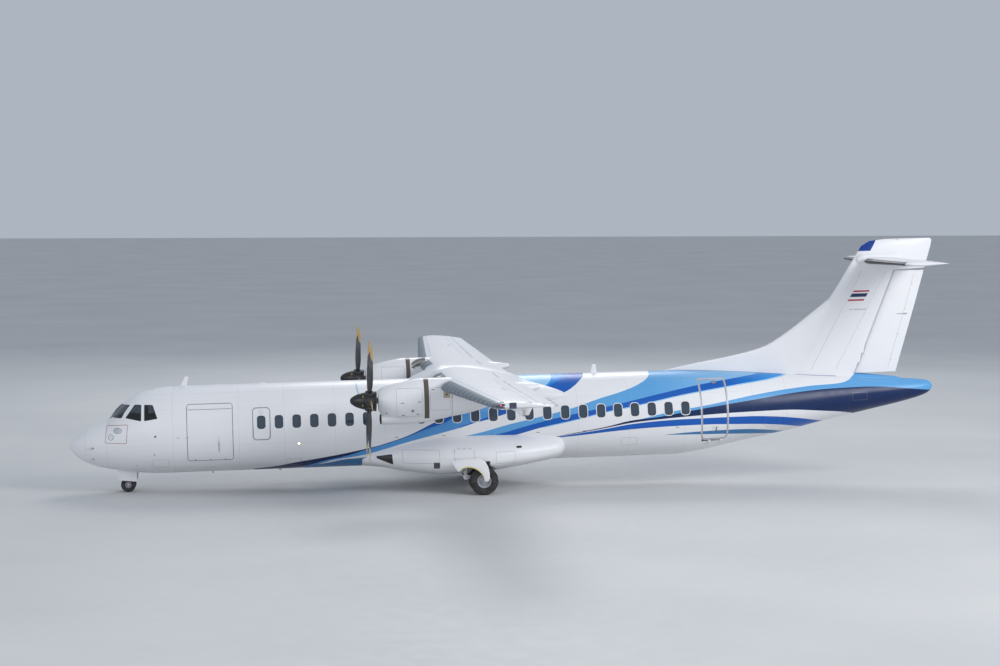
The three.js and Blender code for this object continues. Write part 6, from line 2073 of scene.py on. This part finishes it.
def make_main_leg(side, hand):
    """The leg, its trailing arm and shock strut, the axle with its brakes, and the hoses along them."""
    def at(s, y, w):
        return (s, side * y, w)

    leg_s, leg_y, leg_w, top = MAIN_S - 0.530, 1.800, MAIN_W + 0.110, -0.960
    shock = MAIN_S - 0.230
    leg = Shape()
    leg.bar(at(leg_s, leg_y, top), at(leg_s, leg_y, top - 0.10), 0.090, 40)
    leg.bar(at(leg_s, leg_y, top - 0.06), at(leg_s, MAIN_Y, leg_w), 0.072, 40, 0.062)
    leg.bar(at(leg_s, leg_y - 0.09, top - 0.055), at(leg_s, leg_y + 0.09, top - 0.055), 0.058, 32)
    leg.bar(at(leg_s, MAIN_Y - 0.090, leg_w), at(leg_s, MAIN_Y + 0.090, leg_w), 0.080, 40)
    leg.bar(at(leg_s, MAIN_Y - 0.106, leg_w), at(leg_s, MAIN_Y + 0.106, leg_w), 0.040, 8, paint=1)
    arm = [(leg_s - 0.02, leg_w + 0.062), (leg_s + 0.10, leg_w + 0.055), (MAIN_S - 0.02, MAIN_W + 0.058),
           (MAIN_S + 0.052, MAIN_W + 0.02), (MAIN_S + 0.045, MAIN_W - 0.045), (MAIN_S - 0.05, MAIN_W - 0.058),
           (leg_s + 0.12, leg_w - 0.075), (leg_s - 0.03, leg_w - 0.055)]
    blade_plate(leg, softened(arm, 0.03, 4), side * MAIN_Y, 0.115)
    leg.bar(at(MAIN_S - 0.02, MAIN_Y, MAIN_W + 0.02), at(shock, MAIN_Y, top - 0.20), 0.028, 32, paint=2)
    leg.bar(at(shock + 0.10, MAIN_Y, top - 0.36), at(shock, MAIN_Y, top - 0.06), 0.046, 36)
    leg.bar(at(shock + 0.105, MAIN_Y, top - 0.375), at(shock + 0.095, MAIN_Y, top - 0.345), 0.052, 36,
            paint=1)
    leg.bar(at(shock, MAIN_Y, top - 0.10), at(shock, MAIN_Y, top), 0.055, 32)
    leg.bar(at(shock, MAIN_Y - 0.075, top - 0.075), at(shock, MAIN_Y + 0.075, top - 0.075), 0.030, 24,
            paint=1)
    leg.bar(at(MAIN_S, MAIN_Y - 0.340, MAIN_W), at(MAIN_S, MAIN_Y + 0.340, MAIN_W), 0.039, 32, paint=1)
    for turn in (-1, 1):
        y = MAIN_Y + turn * 0.105
        leg.lathe([(0.045, -0.025), (0.150, -0.025), (0.155, -0.015), (0.155, 0.015), (0.150, 0.025),
                   (0.045, 0.025)],
                  at(MAIN_S, y - turn * 0.025, MAIN_W), (0, 1, 0), 40, paint=3)
        leg.bar(at(MAIN_S, y - turn * 0.03, MAIN_W), at(MAIN_S, MAIN_Y + turn * 0.335, MAIN_W), 0.0395, 32,
                paint=1)
    stay_w = -1.085
    leg.bar(at(leg_s, leg_y + 0.03, stay_w), at(leg_s, 2.420, stay_w), 0.022, 24)
    leg.bar(at(leg_s, 2.395, stay_w), at(leg_s, 2.420, stay_w), 0.040, 24, paint=1)
    leg.bar(at(leg_s + 0.01, 2.30, stay_w), at(leg_s + 0.02, MAIN_Y + 0.02, leg_w + 0.05), 0.014, 16)
    leg.bar(at(leg_s - 0.02, leg_y - 0.02, top - 0.10), at(leg_s - 0.02, 1.62, -1.20), 0.034, 24)
    hose = [at(leg_s + 0.07, leg_y + 0.03, -1.02), at(leg_s + 0.085, leg_y + 0.09, -1.14),
            at(leg_s + 0.09, MAIN_Y - 0.07, -1.30), at(leg_s + 0.16, MAIN_Y + 0.072, -1.40),
            at(leg_s + 0.32, MAIN_Y + 0.078, -1.455), at(MAIN_S - 0.10, MAIN_Y + 0.075, -1.50)]
    leg.tube(smooth_route(hose, 6), 0.008, 10, paint=4)
    other = [(s, side * (2 * MAIN_Y - abs(y)) if i > 2 else y, w + 0.012) for i, (s, y, w) in enumerate(hose)]
    leg.tube(smooth_route(other, 6), 0.006, 10, paint=4)
    for w in (-1.06, -1.16, -1.27):
        share = (w - (top - 0.06)) / (leg_w - (top - 0.06))
        y = leg_y + (MAIN_Y - leg_y) * share
        leg.bar(at(leg_s, y, w + 0.008), at(leg_s, y + 0.004, w - 0.008), 0.078, 32, paint=1)
    leg.block(*on_side(side, (leg_s - 0.12, 1.70, -1.34), (leg_s - 0.02, 1.76, -1.22)), 0.006, paint=1)
    settle(leg.object("main_gear_leg_%s_detailed" % hand,
                      "strut steel chrome brake seal", sharp=35),
           "airframe", "gear_strut", "main_gear_leg_" + hand)


def smooth_route(points, each):
    """A smooth curve through points, with a number of steps between each two."""
    made = []
    count = len(points)
    for i in range(count - 1):
        p = [Vector(points[min(max(i + k, 0), count - 1)]) for k in (-1, 0, 1, 2)]
        for k in range(each):
            t = k / each
            made.append(0.5 * (2 * p[1] + (p[2] - p[0]) * t + (2 * p[0] - 5 * p[1] + 4 * p[2] - p[3]) * t**2
                               + (3 * p[1] - p[0] - 3 * p[2] + p[3]) * t**3))
    made.append(Vector(points[-1]))
    return made


def door_outline():
    """The main gear door: a straight top, a curved back edge, and an arch round the wheel."""
    back = [(12.410, -0.850), (12.560, -0.965), (12.640, -1.120), (12.675, -1.290), (12.680, -1.460),
            (12.655, -1.525), (12.590, -1.560), (12.530, -1.550), (12.505, -1.500)]
    arch = [(12.490, -1.430), (12.440, -1.330), (12.350, -1.235), (12.240, -1.165), (12.110, -1.120),
            (11.980, -1.115), (11.860, -1.150), (11.780, -1.205), (11.730, -1.230)]
    front = [(11.700, -1.200), (11.510, -0.900)]
    return back + arch + front + [(11.80, -0.882), (12.24, -0.868)]


def make_main_door(side, hand):
    outline = door_outline()
    inner = shrunk(outline, 0.012)
    levels = ((inner, 2.4205), (outline, 2.424), (outline, 2.439), (inner, 2.4445))
    door = Shape().loft([[(s, side * y, w) for s, w in line] for line, y in levels])
    arch = outline[9:17]
    rings = []
    for i, (s, w) in enumerate(arch):
        after, before = arch[min(i + 1, len(arch) - 1)], arch[max(i - 1, 0)]
        along = Vector((after[0] - before[0], after[1] - before[1]))
        off = Vector((along.y, -along.x)).normalized()
        if off.y > 0:
            off = -off
        a, b = (s - off.x * 0.034, w - off.y * 0.034), (s + off.x * 0.001, w + off.y * 0.001)
        rings.append([(p[0], side * y, p[1]) for p, y in
                      ((a, 2.4445), (a, 2.4462), (b, 2.4462), (b, 2.417), (a, 2.417), (a, 2.4208))])
    door.loft(rings, paint=1)
    for s, w in ((11.66, -0.93), (12.30, -0.91), (12.55, -1.10), (12.60, -1.38), (11.80, -1.12)):
        door.bar((s, side * 2.443, w), (s, side * 2.4463, w), 0.008, 8, paint=2)
    settle(door.object("main_gear_door_%s_plate" % hand, "white yellow_edge steel", sharp=40),
           "airframe", "airframe_paint", "main_gear_door_" + hand)
    upper = Shape()
    outline = rounded(11.66, 12.24, -0.915, -0.605, 0.02)
    rings = []
    for line, level in ((shrunk(outline, 0.01), 0.002), (outline, 0.010), (outline, 0.022),
                        (shrunk(outline, 0.006), 0.026)):
        rings.append([on_skin(side, s, w, level, BELLY_FAIRING) for s, w in line])
    upper.loft(rings)
    for s in (11.78, 11.95, 12.12):
        at = on_skin(side, s, -0.600, 0.018, BELLY_FAIRING)
        upper.bar((at[0] - 0.045, at[1], at[2]), (at[0] + 0.045, at[1], at[2]), 0.011, 14, paint=1)
    vent = rounded(11.02, 11.20, -1.16, -0.97, 0.012)
    # The vent is a near-black plate under grey louvres: painted shade inside it.
    skin_plate(upper, side, vent, 0.002, -0.01, paint=2, rows=BELLY_FAIRING)
    for w in spaced(-1.14, -0.99, 0.03):
        skin_strip(upper, side, [(11.03, w), (11.19, w)], 0.006, 0.005, 1, 0.0, BELLY_FAIRING)
    settle(upper.object("upper_gear_door_" + hand, "white grey dark", sharp=40), "airframe", "airframe_paint")


# The nose leg's station, and the height where the part that steers takes over
NOSE_LEG_S, NOSE_LEG_W = NOSE_S - 0.030, -1.180


def make_nose_gear():
    make_nose_leg()
    make_nose_fork()
    make_nose_wheels()
    for side, hand in SIDES:
        make_nose_door(side, hand)


def make_nose_leg():
    leg_s, leg_w = NOSE_LEG_S, NOSE_LEG_W
    leg = Shape()
    leg.bar((leg_s, 0, -0.620), (leg_s, 0, leg_w), 0.060, 40)
    for w, r in ((-0.70, 0.070), (-0.92, 0.068), (-1.12, 0.068)):
        leg.bar((leg_s, 0, w + 0.012), (leg_s, 0, w - 0.012), r, 40, paint=1)
    leg.bar((2.220, 0, -0.660), (leg_s, 0, leg_w + 0.13), 0.028, 28)
    leg.bar((2.220, -0.09, -0.665), (2.220, 0.09, -0.665), 0.040, 28)
    leg.bar((leg_s + 0.02, -0.06, leg_w + 0.13), (leg_s + 0.02, 0.06, leg_w + 0.13), 0.022, 24, paint=1)
    for side in (-1, 1):
        leg.bar((leg_s - 0.055, side * 0.10, -0.98), (leg_s - 0.055, side * 0.10, -1.10), 0.030, 24, 0.022)
        leg.bar((leg_s - 0.055, side * 0.02, -1.04), (leg_s - 0.055, side * 0.11, -1.04), 0.016, 16, paint=1)
    leg.bar((leg_s - 0.075, 0, -0.995), (leg_s - 0.115, 0, -0.998), 0.052, 28, 0.060, paint=1)
    leg.lathe([(0.0, 0.0), (0.052, 0.001), (0.056, -0.006), (0.0, -0.010)], (leg_s - 0.117, 0, -0.998),
              (1, 0, 0), 28,
              paint=3, loop=False)
    hose = [(leg_s + 0.062, 0.02, -0.70), (leg_s + 0.075, 0.035, -0.85), (leg_s + 0.070, 0.03, -1.0),
            (leg_s + 0.066, 0.025, -1.15)]
    leg.tube(smooth_route(hose, 6), 0.006, 10, paint=2)
    settle(leg.object("nose_leg_detailed", "strut steel seal white_lamp", sharp=35),
           "airframe", "gear_strut", "nose_leg")


def make_nose_fork():
    """What steers: the chromed stem with its boss on the axle, and the two torque links ahead of it."""
    leg_s, leg_w = NOSE_LEG_S, NOSE_LEG_W
    fork = Shape()
    fork.bar((leg_s, 0, leg_w - 0.001), (leg_s, 0, leg_w - 0.05), 0.052, 36, paint=1)
    fork.bar((leg_s, 0, leg_w - 0.04), (leg_s, 0, NOSE_W + 0.03), 0.036, 36, paint=2)
    fork.bar((leg_s, 0, NOSE_W + 0.10), (leg_s, 0, NOSE_W + 0.01), 0.044, 36)
    fork.bar((leg_s, 0, NOSE_W + 0.02), (NOSE_S, 0, NOSE_W), 0.043, 32)
    fork.bar((NOSE_S, -0.055, NOSE_W), (NOSE_S, 0.055, NOSE_W), 0.046, 36)
    upper, lower, knee = (leg_s - 0.045, leg_w - 0.045), (leg_s - 0.04, NOSE_W + 0.075), (leg_s - 0.150,
                                                                                          NOSE_W + 0.205)
    for a, b in ((upper, knee), (knee, lower)):
        along = Vector((b[0] - a[0], b[1] - a[1])).normalized()
        off = Vector((-along.y, along.x)) * 0.016
        link = [(a[0] + off.x, a[1] + off.y), (b[0] + off.x, b[1] + off.y), (b[0] - off.x, b[1] - off.y),
                (a[0] - off.x, a[1] - off.y)]
        blade_plate(fork, softened(link, 0.008, 3), 0.0, 0.055)
    for s, w in (upper, lower, knee):
        fork.bar((s, -0.038, w), (s, 0.038, w), 0.017, 20, paint=1)
    for y in (-0.018, 0.018):
        fork.bar((NOSE_S - 0.09, y, NOSE_W - 0.01), (NOSE_S - 0.03, y, NOSE_W), 0.012, 14, paint=1)
    settle(fork.object("nose_fork_detailed", "strut steel chrome", sharp=35),
           "nose_steering", "gear_strut", "nose_fork")


def make_nose_wheels():
    half = WHEELS["nose"]["spacing"] / 2
    wheels = []
    for side in (-1, 1):
        wheel = rim("nose", 0.026, side, "nose_rims_turned")
        wheels.append(at_axle(wheel, NOSE_S, side * half, NOSE_W))
    axle = Shape().bar((NOSE_S, -half - 0.055, NOSE_W), (NOSE_S, half + 0.055, NOSE_W), 0.0275, 28, paint=1)
    wheels.append(axle.object("axle", RIM_PAINTS))
    settle(joined(wheels[0], wheels[1:]), "nose_wheels", "wheel_rim", "nose_wheels")
    for side, hand in SIDES:
        rubber_part = tyre("nose", (NOSE_S, side * half, NOSE_W))
        settle(rubber_part.object("nose_tyre_%s_turned" % hand, "tyre", sharp=30), "nose_wheels", "tyre",
               "nose_tyre_" + hand)


def make_nose_door(side, hand):
    outline = softened([(1.440, -1.000), (2.050, -1.000), (2.010, -1.440), (1.450, -1.380)], 0.03, 4)
    inner = shrunk(outline, 0.008)
    levels = ((inner, 0.3460), (outline, 0.3490), (outline, 0.3600), (inner, 0.3635))
    door = Shape().loft([[(s, side * y, w) for s, w in line] for line, y in levels])
    for w in (-1.10, -1.30):
        door.block(*on_side(side, (1.50, 0.340, w - 0.012), (1.98, 0.347, w + 0.012)), 0.002, paint=1)
    for s in (1.56, 1.94):
        door.bar((s - 0.04, side * 0.350, -1.012), (s + 0.04, side * 0.350, -1.012), 0.013, 16, paint=1)
    settle(door.object("nose_gear_door_%s_plate" % hand, "white grey", sharp=40), "airframe",
           "airframe_paint", "nose_gear_door_" + hand)


# Insides that show through the glass and the open doors
LINING_DEPTH = 0.935


def line_inside(name):
    """Gives the faces of a cut shell that lie well inside the skin the finish of the lining."""
    made = bpy.data.objects[name]
    made.data.materials.append(PAINT["cabin"])
    index = len(made.data.materials) - 1
    back = AIRFRAME.inverted()
    for face in made.data.polygons:
        s, y, w = back @ face.center
        top, bottom, half, centre, full = HULL.at(s)
        reach = (top - centre) if w > centre else (centre - bottom)
        power = 2.0 if w > centre else full
        if (abs(y) / half) ** power + (abs(w - centre) / reach) ** power < LINING_DEPTH:
            face.material_index = index


def pad(low, high, name):
    """A crowned cushion: full in the middle, drawn in towards its corners, with piping at its widest line."""
    middle = [(a + b) / 2 for a, b in zip(low, high)]
    half = [(b - a) / 2 for a, b in zip(low, high)]
    thin = half.index(min(half))
    wide = [k for k in range(3) if k != thin]
    rings = []
    for t in (math.radians(-90 + 180 * i / 12) for i in range(13)):
        ring = []
        spread = max(abs(math.cos(t)) ** 0.35, 0.02)
        lift = math.copysign(abs(math.sin(t)) ** 0.8, math.sin(t))
        for a in angles(40):
            point = [0.0, 0.0, 0.0]
            pull = 1 - 0.05 * abs(math.sin(2 * a)) ** 2
            point[wide[0]] = middle[wide[0]] + half[wide[0]] * spread * pull * signed(math.cos(a), 0.42)
            point[wide[1]] = middle[wide[1]] + half[wide[1]] * spread * pull * signed(math.sin(a), 0.42)
            point[thin] = middle[thin] + half[thin] * lift
            ring.append(tuple(point))
        rings.append(ring)
    cushion = Shape().loft(rings).object(name, "seat", sharp=80)
    settle(cushion, "airframe", "cockpit_trim")
    widest = rings[len(rings) // 2]
    piping = Shape().tube(widest + widest[:1], 0.006, 8)
    settle(piping.object(name + "_piping", "panel"), "airframe", "cockpit_trim")


def signed(value, power):
    return math.copysign(abs(value) ** power, value)


SEAT_Y = 0.48
DECK_PAINTS = "panel black screen steel"


def make_flight_deck():
    line_inside("flight_deck_shell")
    deck = Shape()
    deck.block((1.30, -0.70, -0.328), (2.90, 0.70, -0.300), 0.006)
    deck.block((1.28, -0.80, -0.300), (1.50, 0.80, 0.300), 0.02)
    dash = [(1.24, 0.30), (1.30, 0.345), (1.52, 0.372), (1.565, 0.360), (1.555, 0.335), (1.50, 0.315),
            (1.50, 0.28)]
    deck.prism(dash, -0.82, 0.82, "y", paint=1)
    fitted = deck.object("flight_deck_fittings", DECK_PAINTS)
    combined(fitted, [hull_solid(1.13, 3.11, 0.08, inward=0.056).object("room")], "INTERSECT")
    extra = Shape()
    for y in (-0.60, -0.40, -0.11, 0.11, 0.40, 0.60):
        extra.block((1.498, y - 0.085, 0.06), (1.506, y + 0.085, 0.27), 0.003, paint=2)
        extra.block((1.497, y - 0.095, 0.05), (1.503, y + 0.095, 0.28), 0.002, paint=1)
    extra.block((1.50, -0.16, -0.300), (2.10, 0.16, 0.010), 0.015)
    extra.prism([(1.50, 0.01), (2.10, 0.01), (2.06, 0.05), (1.60, 0.09), (1.50, 0.16)], -0.15, 0.15, "y",
                paint=1)
    for y in (-0.06, -0.02, 0.02, 0.06):
        extra.bar((1.78, y, 0.05), (1.72, y, 0.17), 0.006, 12, paint=3)
        extra.bar((1.722, y - 0.014, 0.17), (1.722, y + 0.014, 0.17), 0.012, 16, paint=1)
    for side in (-1, 1):
        y = side * SEAT_Y
        extra.bar((1.52, y, 0.02), (1.80, y, 0.10), 0.022, 20, paint=1)
        wheel = [(1.80, y + 0.15 * math.cos(a), 0.13 + 0.11 * math.sin(a)) for a in
                 (math.radians(-215 + 250 * i / 20) for i in range(21))]
        extra.tube(wheel, 0.014, 12, paint=1)
        extra.bar((1.80, y - 0.12, 0.10), (1.80, y + 0.12, 0.10), 0.014, 14, paint=1)
        for rail in (-0.14, 0.14):
            extra.block((2.05, y + rail - 0.015, -0.300), (2.68, y + rail + 0.015, -0.275), 0.004, paint=3)
        extra.block((2.14, y - 0.19, -0.28), (2.58, y + 0.19, -0.19), 0.02)
        shell = [(2.56, -0.20), (2.60, -0.20), (2.695, 0.50), (2.69, 0.56), (2.655, 0.56), (2.62, 0.40)]
        extra.prism(softened(shell, 0.02, 4), y - 0.205, y + 0.205, "y")
        for arm in (-0.235, 0.235):
            extra.block((2.24, y + arm - 0.025, 0.00), (2.60, y + arm + 0.025, 0.04), 0.012, paint=1)
        for rest in (-0.05, 0.05):
            extra.bar((2.655, y + rest, 0.52), (2.655, y + rest, 0.60), 0.008, 12, paint=3)
    joined(fitted, [extra.object("extra", DECK_PAINTS)])
    settle(fitted, "airframe", "cockpit_trim", "cockpit_interior")
    for side, hand in SIDES:
        y = side * SEAT_Y
        pad((2.13, y - 0.20, -0.20), (2.57, y + 0.20, -0.07), "pilot_seat_cushion_" + hand)
        pad((2.50, y - 0.195, -0.05), (2.61, y + 0.195, 0.52), "pilot_back_cushion_" + hand)
        pad((2.60, y - 0.11, 0.56), (2.68, y + 0.11, 0.69), "pilot_head_cushion_" + hand)


def make_rooms():
    line_inside("cabin_shell")
    line_inside("aft_shell")
    room = Shape()
    room.block((3.36, -1.26, -0.778), (5.26, 0.56, -0.765), 0.003, paint=1)
    for y in (-0.9, -0.3, 0.3):
        room.block((3.38, y - 0.02, -0.766), (5.24, y + 0.02, -0.760), 0.002, paint=2)
    for s in (3.9, 4.7):
        room.block((s - 0.10, -0.25, 0.966), (s + 0.10, 0.15, 0.978), 0.004, paint=3)
    for s in spaced(3.5, 5.1, 0.4):
        room.block((s - 0.02, 0.575, -0.75), (s + 0.02, 0.598, 0.95), 0.004, paint=2)
    for w in (-0.4, 0.1, 0.6):
        room.block((3.40, 0.57, w - 0.02), (5.22, 0.596, w + 0.02), 0.004, paint=2)
    room.block((19.0, -0.98, -0.588), (21.06, 1.0, -0.575), 0.003, paint=1)
    room.block((19.0, -0.30, -0.575), (19.03, 1.15, 0.90), 0.01)
    room.block((20.62, -1.0, -0.575), (20.66, 1.05, 0.85), 0.01)
    room.block((20.30, 0.35, -0.575), (20.60, 1.02, 0.55), 0.015)
    room.block((20.29, 0.37, 0.05), (20.302, 1.0, 0.53), 0.003, paint=2)
    for s in (19.5, 20.3):
        room.block((s - 0.14, -0.2, 1.15), (s + 0.14, 0.2, 1.17), 0.005, paint=3)
    linings = room.object("cabin_linings", "cabin panel grey lens")
    combined(linings, [hull_solid(3.3, 21.2, 0.15, inward=0.062).object("rooms")], "INTERSECT")
    settle(linings, "airframe", "cockpit_trim")


# Small fittings on the skin
def blade_antenna(shape, s, base, height, length, lean, side_y=0.0, down=False):
    """A swept blade on a small foot."""
    sign = -1 if down else 1
    rings = []
    for part, thick, chord in ((-0.03, 0.016, 1.0), (0.0, 0.016, 1.0), (0.5, 0.012, 0.78), (0.9, 0.008, 0.62),
                               (1.0, 0.003, 0.52)):
        w = base + sign * height * part
        start = s + lean * max(part, 0.0)
        rings.append([(start + length * chord * (0.5 - 0.5 * math.cos(a)), side_y + thick * math.sin(a), w)
                      for a in angles(20)])
    shape.loft(rings)
    foot = [(s + length * (0.5 + 0.62 * math.cos(a)), side_y + 0.035 * math.sin(a)) for a in angles(28)]
    shape.loft([[(a, b, level) for a, b in foot] for level in (base - sign * 0.03, base + sign * 0.006)])


def probe(shape, side, s, w):
    """A pitot tube: a bent mast on an oval foot, pointing ahead."""
    length, steel = 0.10, 1
    root = Vector(on_skin(side, s, w, -0.004))
    out = (Vector(on_skin(side, s, w, 0.05)) - Vector(on_skin(side, s, w, 0.0))).normalized()
    foot = [(s + 0.045 * math.cos(a), w + 0.028 * math.sin(a)) for a in angles(24)]
    skin_plate(shape, side, foot, 0.003, -0.006, steel)
    knee = root + out * length * 0.7
    tip = knee + Vector((-length * 1.3, 0, 0))
    route = [root, root + out * length * 0.45, knee + Vector((-0.02, 0, 0)), tip]
    shape.tube(smooth_route(route, 5), 0.0075, 12, steel)


def crown_plate(shape, start, end, half, out):
    """A low raised plate across the crown."""
    step = 0.04
    rings = []
    for s in spaced(start, end, step):
        crown = [(s, y, crown_height(s, y)) for y in spaced(-half, half, step)]
        rings.append([(s, y, w + out) for s, y, w in crown] + [(s, y, w - 0.01) for s, y,
                                                               w in reversed(crown)])
    shape.loft(rings)


INSPECTION_LAMP = (6.98, -0.32)


def make_fittings():
    parts = "white steel dark line pale_blue seal panel_red frame"
    top = Shape()
    blade_antenna(top, 3.40, HULL.at(3.5)[0], 0.285, 0.20, 0.16)
    blade_antenna(top, 16.17, 1.430, 0.265, 0.20, 0.06)
    blade_antenna(top, 5.84, 1.430, 0.030, 0.20, 0.02)
    blade_antenna(top, 4.46, 1.430, 0.018, 0.10, 0.01)
    blade_antenna(top, 4.66, 1.430, 0.018, 0.10, 0.01)
    blade_antenna(top, 19.05, 1.425, 0.02, 0.12, 0.02, side_y=0.18)
    blade_antenna(top, 6.34, -1.222, 0.07, 0.10, 0.03, down=True)
    blade_antenna(top, 4.29, -1.222, 0.09, 0.07, 0.02, down=True)
    crown_plate(top, 2.61, 3.13, 0.26, 0.014)
    settle(top.object("antennas", parts), "airframe", "airframe_paint")
    for side, hand in SIDES:
        marks = Shape()
        nose_panel = softened([(1.175, 0.350), (1.845, 0.396), (1.796, -0.182), (1.129, -0.165)], 0.05)
        skin_band(marks, side, refined(nose_panel, 0.05), 0.016, 0.0012, -0.006, paint=6)
        oval = [(1.528 + 0.130 * math.cos(a), 0.210 + 0.087 * math.sin(a)) for a in angles(30)]
        skin_band(marks, side, oval, 0.012, 0.0016, -0.006, paint=3)
        skin_plate(marks, side, shrunk(oval, 0.010), 0.0008, -0.006, paint=7)
        skin_band(marks, side, circle(1.319, 0.008, 0.086, 30), 0.016, 0.0016, -0.006, paint=3)
        skin_plate(marks, side, circle(1.319, 0.008, 0.014, 14), 0.002, -0.004, paint=2)
        for s, w in ((0.747, -0.328), (0.741, -0.676)):
            probe(marks, side, s, w)
        # The round ports and short slots below are near-black: painted shade inside them.
        for s, w, r in ((2.666, 0.025, 0.030), (2.622, -0.537, 0.018), (2.067, -0.878, 0.012)):
            skin_plate(marks, side, circle(s, w, r, 20), 0.0015, -0.004, paint=2)
        for s, w in ((3.355, -0.030), (3.618, -0.035)):
            skin_strip(marks, side, [(s - 0.05, w), (s + 0.05, w)], 0.008, 0.0010, paint=2)
        skin_strip(marks, side, [(8.79, 1.37), (8.83, 1.16), (8.88, 0.95)], 0.035, 0.010, paint=4)
        for outline in (rounded(6.60, 7.05, -1.02, -0.80, 0.05), rounded(16.9, 17.4, -0.75, -0.50, 0.05),
                        rounded(21.5, 22.0, -0.35, -0.05, 0.05), rounded(24.4, 24.9, 0.35, 0.60, 0.04),
                        rounded(2.55, 3.05, -0.95, -0.70, 0.05)):
            skin_band(marks, side, refined(outline, 0.05), 0.005, 0.0008, -0.006, paint=3)
        for s in spaced(9.9, 18.6, 1.45):
            skin_plate(marks, side, rounded(s, s + 0.10, -0.245, -0.225, 0.008), 0.001, -0.004, paint=3)
        settle(marks.object("skin_fittings_" + hand, parts, sharp=40), "airframe", "airframe_paint")
        lamp = Shape()
        at, ahead = (Vector(on_skin(side, *INSPECTION_LAMP, out)) for out in (0.0, 1.0))
        lamp.lathe([(0.0, 0.010), (0.030, 0.008), (0.042, 0.002), (0.046, -0.006)], at, ahead - at, 28,
                   paint=1,
                   loop=False)
        skin_band(lamp, side, circle(*INSPECTION_LAMP, 0.060, 28), 0.016, 0.003, -0.006)
        settle(lamp.object("wing_inspection_lamp_" + hand, "steel white_lamp"), "airframe", "cockpit_glass")
        make_wiper(side, hand)


def make_wiper(side, hand):
    wiper = Shape()
    foot = windshield_point(side, 0.30, 0.545, 0.012)
    tip = windshield_point(side, 0.13, 0.86, 0.018)
    middle = windshield_point(side, 0.22, 0.70, 0.030)
    wiper.bar(windshield_point(side, 0.30, 0.545, -0.005), windshield_point(side, 0.30, 0.545, 0.022), 0.020,
              20)
    wiper.tube(smooth_route([foot, middle, tip], 6), 0.007, 10)
    blade = [windshield_point(side, y, w, 0.010) for y,
             w in ((0.20, 0.66), (0.17, 0.76), (0.13, 0.86), (0.09, 0.925))]
    wiper.tube(smooth_route(blade, 5), 0.006, 8, paint=1)
    settle(wiper.object("wiper_" + hand, "black seal"), "airframe", "cockpit_trim")


def paint_engines():
    """The engine blocks keep their CAD shape and take a metal finish."""
    for _, hand in SIDES:
        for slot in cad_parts["engine_" + hand].material_slots:
            slot.material = PAINT["engine"]


make_hull()
make_glass()
make_windshield_trim()
make_windows()
make_doors()
make_wings()
make_fairings()
make_nacelles()
make_fin()
make_stabilizer()
make_main_gear()
make_nose_gear()
make_flight_deck()
make_rooms()
make_fittings()
paint_engines()


# Floor, light and film. The lamps: name, place, the point they aim at, size, power
FLOOR = 500.0
LAMPS = (
    ("key", (36, -34, 26), (0, 0, 2), 24, 14500),
    ("fill", (-34, -40, 18), (-4, 0, 2), 24, 4200),
    ("rim", (4, 40, 34), (0, 0, 3), 22, 7000),
)
SKY, SKY_STRENGTH = rgb(0.76, 0.84, 0.96), 0.55


def make_stage():
    floor = Shape()
    floor.block((-FLOOR, -FLOOR, -0.2), (FLOOR, FLOOR * 2, 0.0), 0.01)
    floor.object("floor", "floor", place=Matrix.Identity(4))
    world = bpy.data.worlds.new("studio")
    bpy.context.scene.world = world
    world.use_nodes = True
    background = world.node_tree.nodes["Background"]
    background.inputs["Color"].default_value = SKY
    background.inputs["Strength"].default_value = SKY_STRENGTH
    for name, place, aim, size, power in LAMPS:
        data = bpy.data.lights.new(name, "AREA")
        data.shape = "DISK"
        data.size = size
        data.energy = power
        lamp = bpy.data.objects.new(name, data)
        lamp.location = place
        lamp.rotation_euler = (Vector(aim) - Vector(place)).to_track_quat("-Z", "Y").to_euler()
        bpy.context.scene.collection.objects.link(lamp)
    view = bpy.context.scene.view_settings
    view.view_transform = "Standard"
    view.look = "None"
    view.exposure = 0.0


make_stage()
